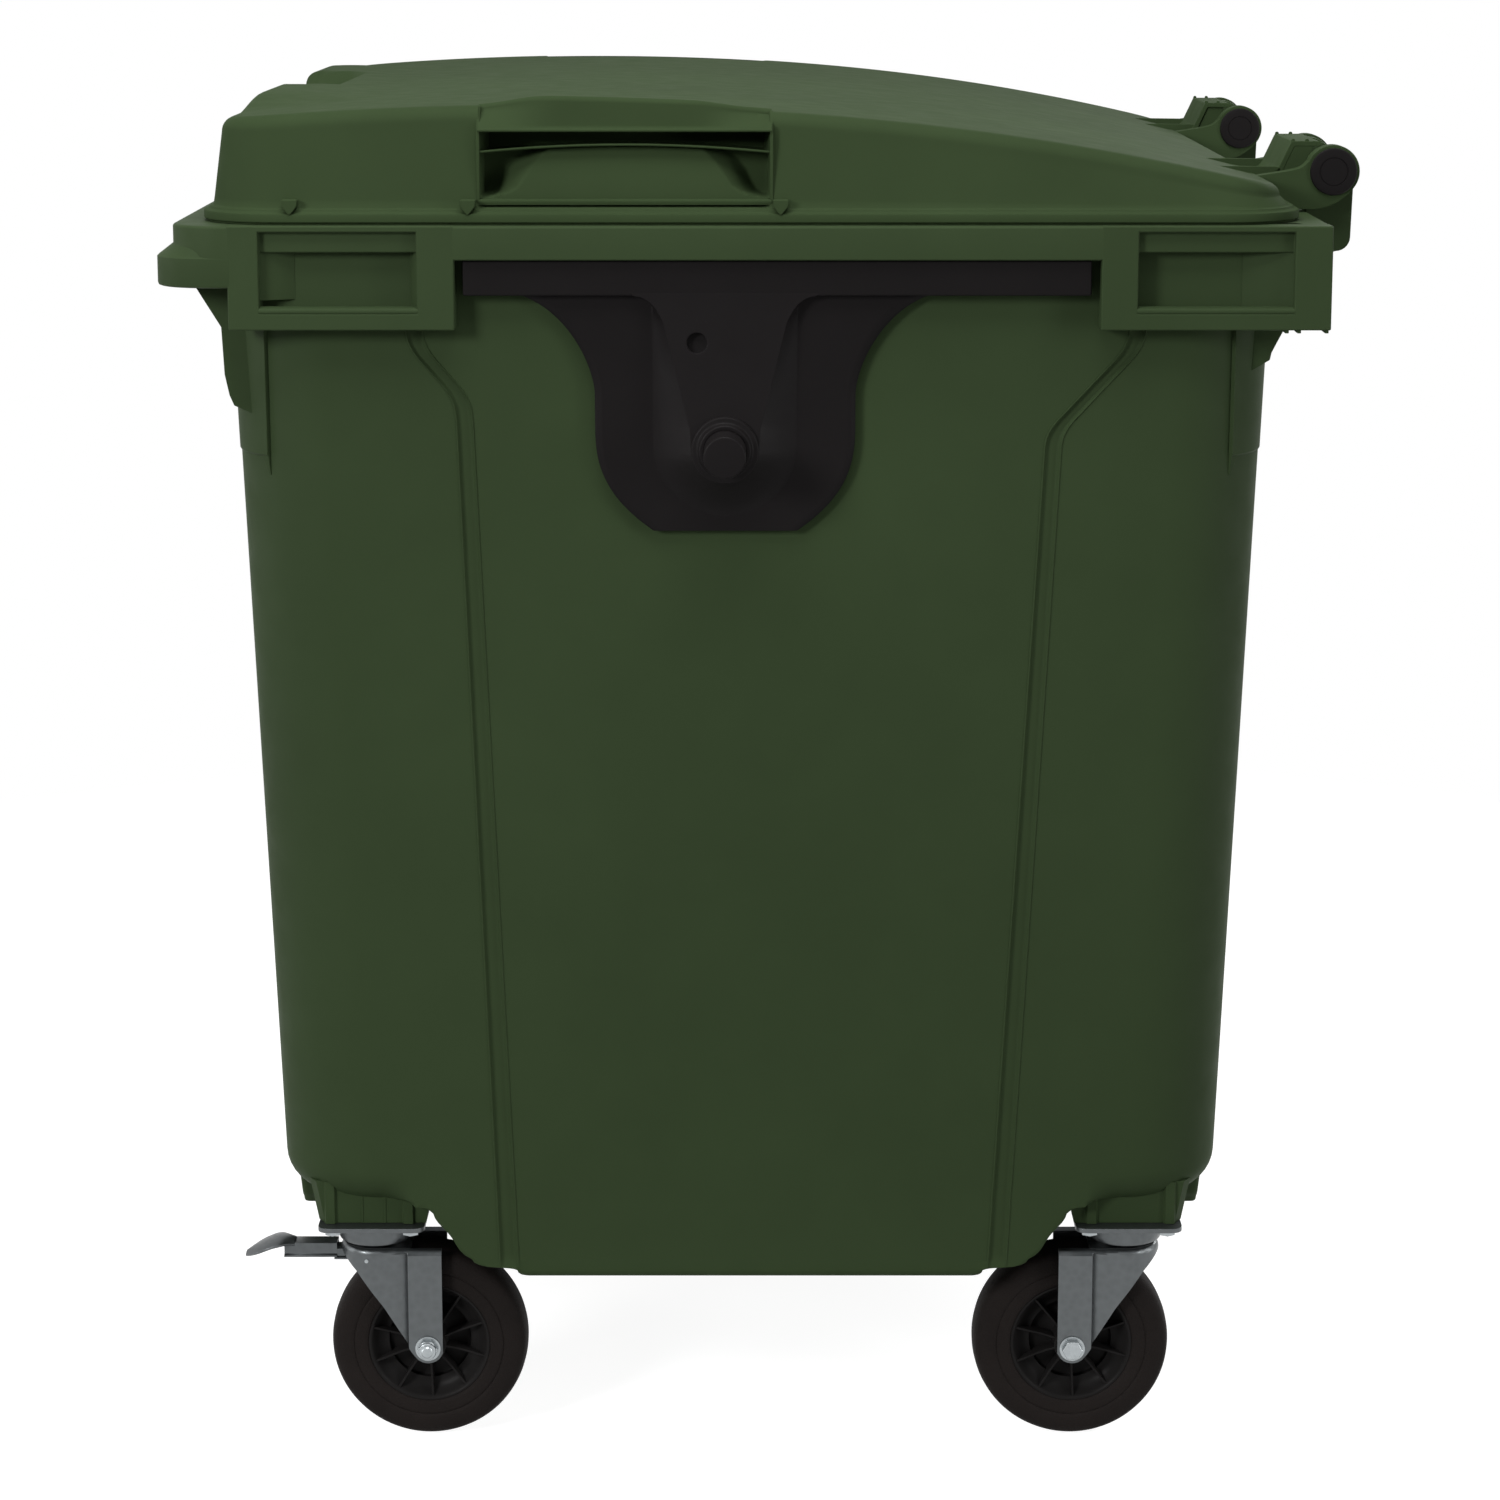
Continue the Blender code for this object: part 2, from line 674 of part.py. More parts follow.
def pocket_cutters(sign, span):
    """The block's pocket: a shallow step behind the upper band and a deep recess down to the lip."""
    low, high = span
    outer = RIM_HALF_X + OVERRUN
    floor = wall_half_x(BLOCK_BOTTOM_Z) + SEAT_GAP
    band = extrude(
        [(low, POCKET_WEB_Z), (high, POCKET_WEB_Z), (high, POCKET_TOP_Z), (low, POCKET_TOP_Z)],
        "x",
        sign * (RIM_HALF_X - POCKET_WEB_DEEP),
        sign * outer,
    )
    lip = RIM_HALF_X - POCKET_WEB_DEEP
    deep_low = [(floor, POCKET_LIP_Z + WALL), (lip, POCKET_LIP_Z + WALL), (outer, POCKET_LIP_Z - WALL * HALF_SHARE)]
    deep = extrude(
        [(sign * x, z) for x, z in deep_low + [(outer, POCKET_WEB_Z + SEAT_GAP), (floor, POCKET_WEB_Z + SEAT_GAP)]],
        "y",
        low,
        high,
    )
    return band, deep


def caster_housing(sign_x, sign_y):
    """The box that carries a caster plate: drafted sides and two upright ribs on its outer face."""
    top = CEILING_Z + BODY_EDGE_R
    bottom = CASTER_HEIGHT + SEAT_GAP
    face = HOUSING_HALF_X - HOUSING_RECESS
    rib = PLATE_BOLT_Y * HALF_SHARE
    rings = []
    for z, grow in ((bottom, 0.0), (top, HOUSING_DRAFT)):
        half_y = HOUSING_HALF_Y + grow
        outline = [(-HOUSING_HALF_X, -half_y), (face, -half_y)]
        for middle in (-rib, rib):
            outline += [
                (face, middle - HOUSING_RIB),
                (HOUSING_HALF_X, middle - HOUSING_RIB * HALF_SHARE),
                (HOUSING_HALF_X, middle + HOUSING_RIB * HALF_SHARE),
                (face, middle + HOUSING_RIB),
            ]
        outline += [(face, half_y), (-HOUSING_HALF_X, half_y)]
        rings.append([((SWIVEL_X + x) * sign_x, (SWIVEL_Y + y) * sign_y, z) for x, y in outline])
    return loft(rings)


def housing_slot(sign_x):
    """The open slot in the outer face of a front caster housing."""
    outer = SWIVEL_X + HOUSING_HALF_X + OVERRUN
    low = (sign_x * (outer - HOUSING_SLOT_DEEP), -SWIVEL_Y - HOUSING_SLOT * HALF_SHARE, CASTER_HEIGHT - OVERRUN)
    high = (sign_x * outer, -SWIVEL_Y + HOUSING_SLOT * HALF_SHARE, CEILING_Z)
    return box([min(a, b) for a, b in zip(low, high)], [max(a, b) for a, b in zip(low, high)])


def plate_bolt_holes(x, y):
    """The four blind holes above a caster plate, as separate bars in one bmesh."""
    bm = bmesh.new()
    for corner_x in (x - PLATE_BOLT_X * HALF_SHARE, x + PLATE_BOLT_X * HALF_SHARE):
        for corner_y in (y - PLATE_BOLT_Y * HALF_SHARE, y + PLATE_BOLT_Y * HALF_SHARE):
            made = bmesh.ops.create_cone(
                bm,
                cap_ends=True,
                segments=BOLT_SIDES,
                radius1=PLATE_BOLT_R + RUN_GAP * 2,
                radius2=PLATE_BOLT_R + RUN_GAP * 2,
                depth=PLATE_BOLT_DEPTH + RUN_GAP + OVERRUN,
            )
            middle = CASTER_HEIGHT + (PLATE_BOLT_DEPTH + RUN_GAP - OVERRUN) * HALF_SHARE
            bmesh.ops.translate(bm, verts=made["verts"], vec=(corner_x, corner_y, middle))
    return bm


def hinge_plate_spans():
    """The four spans along X of one side's two lug plates, just inside the lid's arms."""
    outer = HINGE_OUT_X - ARM_THICK - LUG_SIDE_GAP
    inner = HINGE_IN_X + ARM_THICK + LUG_SIDE_GAP
    return ((outer - LUG_PLATE, outer), (inner, inner + LUG_PLATE))


def hinge_lug(low, high):
    """A plate behind the rim that carries a hinge pin: an eye above a drop-shaped web."""
    root = RIM_HALF_Y - WALL * HALF_SHARE
    back = HINGE_Y + LUG_PLATE_R
    outline = [(root, LUG_BOTTOM_Z)]
    outline += arc((back - LUG_BOTTOM_R, LUG_BOTTOM_Z + LUG_BOTTOM_R), LUG_BOTTOM_R, -pi / 2, 0.0, BAR_CORNER_STEPS - 1)
    outline += arc((HINGE_Y, HINGE_Z), LUG_PLATE_R, 0.0, pi, ARC_STEPS + 2)
    outline += [(HINGE_Y - LUG_PLATE_R, RIM_TOP - WALL * HALF_SHARE), (root, RIM_TOP - WALL * HALF_SHARE)]
    return extrude(outline, "x", low, high)


def trunnion_screw_rod(sign, place, radius, start, end, segments):
    """A bar along X at one of the plate screw places, from start to end measured from the middle of the tub."""
    y, z = place
    first, last = sorted((sign * start, sign * end))
    return rod("x", (0.0, TRUNNION_Y + y, z), radius, first, last, segments)


def build_tub(root):
    look = material("tub_green_polyethylene", GREEN, 0.5)
    tub = solid("tub", tub_mesh(), look, root)
    add(tub, comb_bar())
    spread = COMB_RIB_SPAN * 2 / (COMB_RIB_COUNT - 1)
    for k in range(COMB_RIB_COUNT):
        add(tub, comb_rib(-COMB_RIB_SPAN + spread * k))
    for sign in (1, -1):
        for sign_y in (1, -1):
            add(tub, corner_post(sign, sign_y))
            add(tub, caster_housing(sign, sign_y))
            cut(tub, plate_bolt_holes(sign * SWIVEL_X, sign_y * SWIVEL_Y))
        cut(tub, housing_slot(sign))
        for span in (FRONT_BLOCK, REAR_BLOCK):
            add(tub, side_block(sign, span))
        for span in (FRONT_POCKET, REAR_POCKET):
            for cutter in pocket_cutters(sign, span):
                cut(tub, cutter)
        cut(tub, channel_cutter(sign, FRONT_CHANNEL, FRONT_CHANNEL_KNEE_Z))
        cut(tub, channel_cutter(sign, REAR_CHANNEL, REAR_CHANNEL_KNEE_Z))
        for low, high in hinge_plate_spans():
            add(tub, hinge_lug(*sorted((sign * low, sign * high))))
        first, last = sorted((sign * (HINGE_IN_X - OVERRUN), sign * (HINGE_OUT_X + OVERRUN)))
        cut(tub, rod("x", (0.0, HINGE_Y, HINGE_Z), PIN_R + PIN_CLEAR, first, last, PIN_SIDES))
        start = WALL_TOP_HALF_X * HALF_SHARE
        end = RIM_HALF_X
        cut(tub, trunnion_screw_rod(sign, SCREW_PLACE, SCREW_R + RUN_GAP, start, end, BOLT_SIDES))
        place = (0.0, TRUNNION_Z)
        cut(tub, trunnion_screw_rod(sign, place, TRUNNION_SHANK_R + RUN_GAP, start, end, SHANK_SIDES))
    drain = (0.0, DRAIN_PLACE_Y, BELLY_Z)
    add(tub, rod("z", drain, DRAIN_HEAD_R, WALL * HALF_SHARE, WALL + DRAIN_BOSS * HALF_SHARE, PLUG_SIDES))
    cut(tub, rod("z", drain, DRAIN_R + RUN_GAP, -OVERRUN, WALL + DRAIN_BOSS, PLUG_SIDES))
    return tub


def build_drain_plug(root):
    look = material("drain_plug_black", BLACK, 0.5)
    head = -DRAIN_HEAD - SEAT_GAP
    end = WALL + DRAIN_BOSS * HALF_SHARE
    profile = ((DRAIN_HEAD_R, head), (DRAIN_HEAD_R, -SEAT_GAP), (DRAIN_R, -SEAT_GAP), (DRAIN_R, end))
    centre = (0.0, DRAIN_PLACE_Y, BELLY_Z)
    plug = solid("drain_plug", turned(profile, "z", centre, PLUG_SIDES), look, root)
    x = DRAIN_HEAD_R
    low = (-x, DRAIN_PLACE_Y - DRAIN_KEY_HALF, BELLY_Z + head - DRAIN_KEY * HALF_SHARE)
    high = (x, DRAIN_PLACE_Y + DRAIN_KEY_HALF, BELLY_Z + head + OVERRUN * HALF_SHARE)
    add(plug, box(low, high))


def lid_top_z(y):
    """The top's height at a distance along Y, through the stations in straight lines."""
    stations = list(zip(LID_TOP_STATIONS_Y, LID_TOP_Z))
    if y <= stations[0][0]:
        return stations[0][1]
    for (y0, z0), (y1, z1) in zip(stations, stations[1:]):
        if y <= y1:
            return z0 + (z1 - z0) * (y - y0) / (y1 - y0)
    return stations[-1][1]


def brow(x, y):
    """The raised front edge, highest between the grips' lines and fading towards the corners and the back."""
    along = max(0.0, 1 - max(0.0, y - LID_TOP_STATIONS_Y[0]) / BROW_BACK)
    beyond = max(0.0, abs(x) - BROW_HALF) / BROW_FADE
    across = max(0.0, 1 - beyond)
    return BROW_RISE * (along * along * (3 - 2 * along)) * (across * across * (3 - 2 * across))


def lid_level(inset, height):
    """A ring of the lid at an inset from its flange outline. The height comes from a rule of x and y."""
    half_x = LID_HALF_X - inset
    front = LID_FRONT_Y + inset
    rear = LID_REAR_Y - inset
    radius = max(LID_CORNER_R - inset, RIM_BEVEL)
    right = arc((half_x - radius, front + radius), radius, -pi / 2, 0.0, ARC_STEPS - 1)
    straight = (rear - radius) - (front + radius)
    right += [(half_x, front + radius + straight * share) for share in LID_SIDE_SHARES[1:-1]]
    right += arc((half_x - radius, rear - radius), radius, 0.0, pi / 2, ARC_STEPS - 1)
    width = right[0][0]
    middle = [width * share for share in LID_CROSS_SHARES[1:-1]]
    ring = [(x, front) for x in middle] + right
    ring += [(-x, rear) for x in middle] + [(-x, y) for x, y in reversed(right)]
    return [(x, y, height(x, y)) for x, y in ring], right


def lid_rows(right, height):
    """The lid's top as rows between points of equal Y on the left and right of its outline."""
    return [[(x * share, y, height(x * share, y)) for share in LID_CROSS_SHARES] for x, y in right]


def lid_skin(thick):
    """Rings from the flange's foot to the edge of the top, then the rows of the top, set in by a thickness."""
    base = SEAT_Z + FLANGE_HIGH + FLANGE_STEP_HIGH - thick

    def top(x, y):
        return lid_top_z(y) + brow(x, y) - thick

    def edge(x, y):
        return min(LID_EDGE_R, (top(x, y) - base) * HALF_SHARE)

    def wall_inset(z):
        return LID_WALL_INSET + thick + (z - base) * tan(LID_WALL_DRAFT)

    mid_z = (max(LID_TOP_Z) + base) * HALF_SHARE
    turn_inset = wall_inset(mid_z)
    rings = []
    for share, drop_share in ((0.0, 1.0), (0.3, 0.3), (1.0, 0.0)):
        inset = turn_inset + LID_EDGE_R * share
        rings.append(lid_level(inset, lambda x, y: top(x, y) - edge(x, y) * drop_share)[0])
    right = lid_level(turn_inset + LID_EDGE_R, top)[1]
    return base, rings, lid_rows(right, top)


def lid_mesh():
    """The lid's shell: outer flange, ledge, wall and rounded top, and the same again inside by its thickness."""
    bm = bmesh.new()

    def flat(inset, z):
        return lid_level(inset, lambda x, y: z)[0]

    outer_base, outer_rings, outer_rows = lid_skin(0.0)
    inner_base, inner_rings, inner_rows = lid_skin(LID_THICK)
    rings = list(reversed(inner_rings))
    rings.append(flat(LID_WALL_INSET + LID_THICK, inner_base))
    rings.append(flat(LID_WALL_INSET + LID_THICK, SEAT_Z))
    rings.append(flat(0.0, SEAT_Z))
    rings.append(flat(0.0, SEAT_Z + FLANGE_HIGH))
    rings.append(flat(FLANGE_STEP, outer_base))
    rings.append(flat(LID_WALL_INSET, outer_base))
    rings += outer_rings
    made = [[bm.verts.new(point) for point in ring] for ring in rings]
    count = len(made[0])
    for low, high in zip(made, made[1:]):
        for i in range(count):
            j = (i + 1) % count
            bm.faces.new((low[i], low[j], high[j], high[i]))
    columns = len(LID_CROSS_SHARES)
    for edge_ring, rows in ((made[-1], outer_rows), (made[0], inner_rows)):
        grid = lid_grid(bm, edge_ring, rows, columns)
        for low, high in zip(grid, grid[1:]):
            for i in range(columns - 1):
                bm.faces.new((low[i], low[i + 1], high[i + 1], high[i]))
    return bm


def lid_grid(bm, ring, rows, columns):
    """Rows of points whose outermost ones, and whose whole first and last row, are the ring's own."""
    middle = columns - 2
    count = len(rows)
    right = ring[middle:middle + count]
    left = list(reversed(ring[2 * middle + count:]))
    grid = []
    for k, row in enumerate(rows):
        if k == 0:
            inner = ring[:middle]
        elif k == count - 1:
            inner = list(reversed(ring[middle + count:2 * middle + count]))
        else:
            inner = [bm.verts.new(point) for point in row[1:-1]]
        grid.append([left[k]] + inner + [right[k]])
    return grid


def side_grip(sign):
    """The hood and pan of a side grip: a hooded box that stands out of the lid's side and rises above its top."""
    base = GRIP_FLOOR_Z - GRIP_SKIN
    back = GRIP_OUT_X - GRIP_DEEP - GRIP_SKIN
    hood_back = GRIP_OUT_X - GRIP_HOOD_BACK
    section = [
        (back, base),
        (LID_HALF_X - LID_WALL_INSET, base),
        (GRIP_OUT_X, GRIP_LIP_Z - GRIP_SKIN),
        (GRIP_OUT_X, GRIP_LIP_Z + GRIP_SKIN),
        (GRIP_OUT_X - GRIP_SKIN * 2, GRIP_TOP_Z),
        (hood_back, GRIP_TOP_Z - GRIP_SKIN),
        (hood_back, GRIP_LIP_Z + GRIP_SKIN),
        (back, GRIP_LIP_Z),
    ]
    rings = []
    fall = GRIP_TOP_Z - GRIP_LIP_Z - GRIP_SKIN * 2
    stations = (
        (GRIP_FRONT_Y, 1.0),
        (GRIP_FRONT_Y + GRIP_END_SLOPE * HALF_SHARE, HALF_SHARE),
        (GRIP_FRONT_Y + GRIP_END_SLOPE * 2, 0.0),
        (GRIP_REAR_Y - GRIP_END_SLOPE * 2, 0.0),
        (GRIP_REAR_Y - GRIP_END_SLOPE * HALF_SHARE, HALF_SHARE),
        (GRIP_REAR_Y, 1.0),
    )
    for y, lower in stations:
        ring = []
        for x, z in section:
            if z > GRIP_LIP_Z + GRIP_SKIN:
                z = z - fall * lower
            ring.append((sign * x, y, z))
        rings.append(ring)
    return loft(rings)


def grip_cutters(sign):
    """The finger slot behind the lip, the pan below the shelf, and the hollow seen from inside."""
    outer = GRIP_OUT_X + OVERRUN * 3
    back = GRIP_OUT_X - GRIP_DEEP
    low_y = GRIP_FRONT_Y + GRIP_SKIN * 2
    high_y = GRIP_REAR_Y - GRIP_SKIN * 2
    slot = [(back, GRIP_SHELF_Z + GRIP_SHELF), (outer, GRIP_SHELF_Z + GRIP_SHELF)]
    slot += [(outer, GRIP_LIP_Z - GRIP_SKIN), (GRIP_OUT_X - GRIP_SKIN, GRIP_LIP_Z - GRIP_SKIN)]
    slot += [(GRIP_OUT_X - GRIP_SKIN, GRIP_LIP_Z), (back, GRIP_LIP_Z)]
    pan = [(back, GRIP_SHELF_Z), (back, GRIP_FLOOR_Z + GRIP_SKIN * 2), (outer, GRIP_FLOOR_Z), (outer, GRIP_SHELF_Z)]
    shelf = [(GRIP_OUT_X - GRIP_SHELF_OUT * HALF_SHARE, GRIP_SHELF_Z - SEAT_GAP), (outer, GRIP_SHELF_Z - SEAT_GAP)]
    shelf += [(outer, GRIP_SHELF_Z + GRIP_SHELF + SEAT_GAP)]
    shelf += [(GRIP_OUT_X - GRIP_SHELF_OUT * HALF_SHARE, GRIP_SHELF_Z + GRIP_SHELF + SEAT_GAP)]
    for outline in (slot, pan, shelf):
        yield extrude([(sign * x, z) for x, z in outline], "y", low_y, high_y)


def hinge_arm(low, high):
    """A lid arm: an eye round the pin, a belly that drops to the flange and a root on the lid's top."""
    eye = (HINGE_Y, HINGE_Z)
    outline = arc(eye, ARM_R, radians(-60), radians(110), SMALL_SIDES)
    outline += [
        (HOOD_RISE_Y, ARM_TOP_Z),
        (ARM_ROOT_Y, lid_top_z(ARM_ROOT_Y) - LID_THICK * HALF_SHARE),
        (ARM_ROOT_Y, SEAT_Z + FLANGE_HIGH),
        (LID_REAR_Y - LID_CORNER_R * HALF_SHARE, SEAT_Z + FLANGE_HIGH * HALF_SHARE),
        (LID_REAR_Y + FLANGE_HIGH, ARM_DROP_Z),
    ]
    return extrude(outline, "x", low, high)


def hinge_hood(low, high):
    """The bent plate above a hinge pin. It fits between the tub's lug plates, so that it can pass them as the lid
    swings right over."""
    outline = [
        (HOOD_FRONT_Y, lid_top_z(HOOD_FRONT_Y) - LID_THICK - LID_THICK),
        (HOOD_FOOT_Y, HOOD_FOOT_Z),
        (HOOD_RISE_Y, HOOD_TOP_Z),
        (HOOD_REAR_Y, HOOD_TOP_Z),
        (HOOD_REAR_Y, HOOD_TOP_Z - HOOD_THICK),
        (HOOD_RISE_Y + HOOD_THICK * HALF_SHARE, HOOD_TOP_Z - HOOD_THICK),
        (HOOD_FOOT_Y + HOOD_THICK, HOOD_FOOT_Z - HOOD_THICK * HALF_SHARE),
        (HOOD_FOOT_Y + HOOD_THICK, SEAT_Z + FLANGE_HIGH * HALF_SHARE),
        (HOOD_FRONT_Y, SEAT_Z + FLANGE_HIGH * HALF_SHARE),
    ]
    return extrude(outline, "x", low, high)


def build_lid(hinge):
    look = material("lid_green_polyethylene", LID_GREEN, 0.5)
    lid = solid("lid", lid_mesh(), look, hinge)
    for sign in (1, -1):
        add(lid, side_grip(sign))
        for cutter in grip_cutters(sign):
            cut(lid, cutter)
        outer = (HINGE_OUT_X - ARM_THICK, HINGE_OUT_X)
        inner = (HINGE_IN_X, HINGE_IN_X + ARM_THICK)
        lugs = hinge_plate_spans()
        hood_span = (sign * (lugs[0][0] - LUG_SIDE_GAP), sign * (lugs[1][1] + LUG_SIDE_GAP))
        add(lid, hinge_hood(*sorted(hood_span)))
        for low, high in (outer, inner):
            add(lid, hinge_arm(*sorted((sign * low, sign * high))))
        first, last = sorted((sign * (HINGE_IN_X - OVERRUN), sign * (HINGE_OUT_X + OVERRUN)))
        cut(lid, rod("x", (0.0, HINGE_Y, HINGE_Z), PIN_R + PIN_CLEAR, first, last, PIN_SIDES))
        for y in LUG_SPACING_Y:
            centre = (sign * (LID_HALF_X - LUG_R * 2), y, SEAT_Z + FLANGE_HIGH * HALF_SHARE)
            add(lid, rod("z", centre, LUG_R, 0.0, LUG_HIGH, SMALL_SIDES))
    depth = RECESS_DEEP + RECESS_WALL
    top = lid_top_z(RECESS_BACK_Y) + BROW_RISE
    floor = top - depth
    pan = box(
        (-RECESS_HALF - RECESS_WALL, LID_FRONT_Y + LID_WALL_INSET + LID_EDGE_R, floor - RECESS_WALL),
        (RECESS_HALF + RECESS_WALL, RECESS_BACK_Y + RECESS_WALL, top - BROW_RISE),
    )
    add(lid, pan)
    cut(lid, box((-RECESS_HALF, LID_FRONT_Y - OVERRUN, floor), (RECESS_HALF, RECESS_BACK_Y, top + OVERRUN)))
    return lid


def build_hinge_pins(root):
    steel = material("hinge_pin_black_steel", BLACK, 0.45, 0.3)
    black = material("hinge_cap_black", BLACK, 0.5)
    for side, sign in (("right", 1), ("left", -1)):
        middle = sign * (HINGE_OUT_X + HINGE_IN_X) * HALF_SHARE
        half = (HINGE_OUT_X - HINGE_IN_X) * HALF_SHARE
        centre = (middle, HINGE_Y, HINGE_Z)
        pin = solid(f"hinge_pin_{side}", rod("x", centre, PIN_R, -half, half, PIN_SIDES), steel, root)
        bore = CAP_PLUG_R * HALF_SHARE
        for end in (1, -1):
            first, last = sorted((end * (half - CAP_PLUG - RUN_GAP), end * (half + OVERRUN)))
            cut(pin, rod("x", centre, bore + RUN_GAP, first, last, PIN_SIDES))
            name = f"hinge_cap_{side}_{'outer' if end == sign else 'inner'}"
            face = end * (half + SEAT_GAP)
            crown = end * (half + SEAT_GAP + CAP_THICK)
            tip = end * (half - CAP_PLUG)
            edge = CAP_R - CAP_THICK * HALF_SHARE
            profile = ((bore, tip), (bore, face), (CAP_R, face), (CAP_R, crown - end * CAP_THICK * HALF_SHARE), (edge, crown))
            solid(name, turned(profile, "x", centre, PIN_SIDES), black, root)


def bell_outline():
    """The bell plate's outline in Y and Z: a wide shoulder under the bar, a concave sweep, a neck and a round foot."""
    y = TRUNNION_Y
    right = [(y + BELL_FOOT_HALF, BELL_BOTTOM_Z)]
    foot_r = BELL_NECK_HALF - BELL_FOOT_HALF
    lift = BELL_NECK_LOW_Z - BELL_BOTTOM_Z
    for k in range(1, BELL_ARC_STEPS + 1):
        angle = pi / 2 * k / BELL_ARC_STEPS
        right.append((y + BELL_FOOT_HALF + foot_r * sin(angle), BELL_BOTTOM_Z + lift * (1 - cos(angle))))
    sweep = BELL_TOP_HALF - BELL_NECK_HALF
    rise = TRUNNION_BAR_BOTTOM_Z + OVERRUN - BELL_NECK_TOP_Z
    for k in range(BELL_ARC_STEPS + 1):
        angle = pi / 2 * k / BELL_ARC_STEPS
        right.append((y + BELL_NECK_HALF + sweep * (1 - cos(angle)), BELL_NECK_TOP_Z + rise * sin(angle)))
    left = [(2 * y - point_y, z) for point_y, z in reversed(right)]
    return right + left


def trunnion_plate_mesh(sign):
    """The bell plate, whose back lies along the leaning wall."""
    outline = bell_outline()
    back = [(sign * (wall_half_x(z) + SEAT_GAP), y, z) for y, z in outline]
    face = [(sign * (wall_half_x(z) + SEAT_GAP + BELL_THICK), y, z) for y, z in outline]
    return loft([back, face])


def tongue(sign):
    """The wedge that carries the boss: narrow and proud at the boss, wide and low at the top."""
    y = TRUNNION_Y
    low = TRUNNION_Z - WALL
    rings = []
    for part in (0, 1):
        ring = []
        for half, z, out in (
            (TONGUE_TOP_HALF, TONGUE_TOP_Z, wall_half_x(TONGUE_TOP_Z) + BELL_THICK - U_POCKET_DEEP * HALF_SHARE),
            (BOSS_R - WALL * HALF_SHARE, low, BOSS_OUT_X - WALL),
        ):
            x = out if part else wall_half_x(z) + SEAT_GAP + POCKET_SKIN * HALF_SHARE
            ring.append((sign * x, y + half, z))
            ring.append((sign * x, y - half, z))
        rings.append([ring[0], ring[1], ring[3], ring[2]])
    return loft(rings)


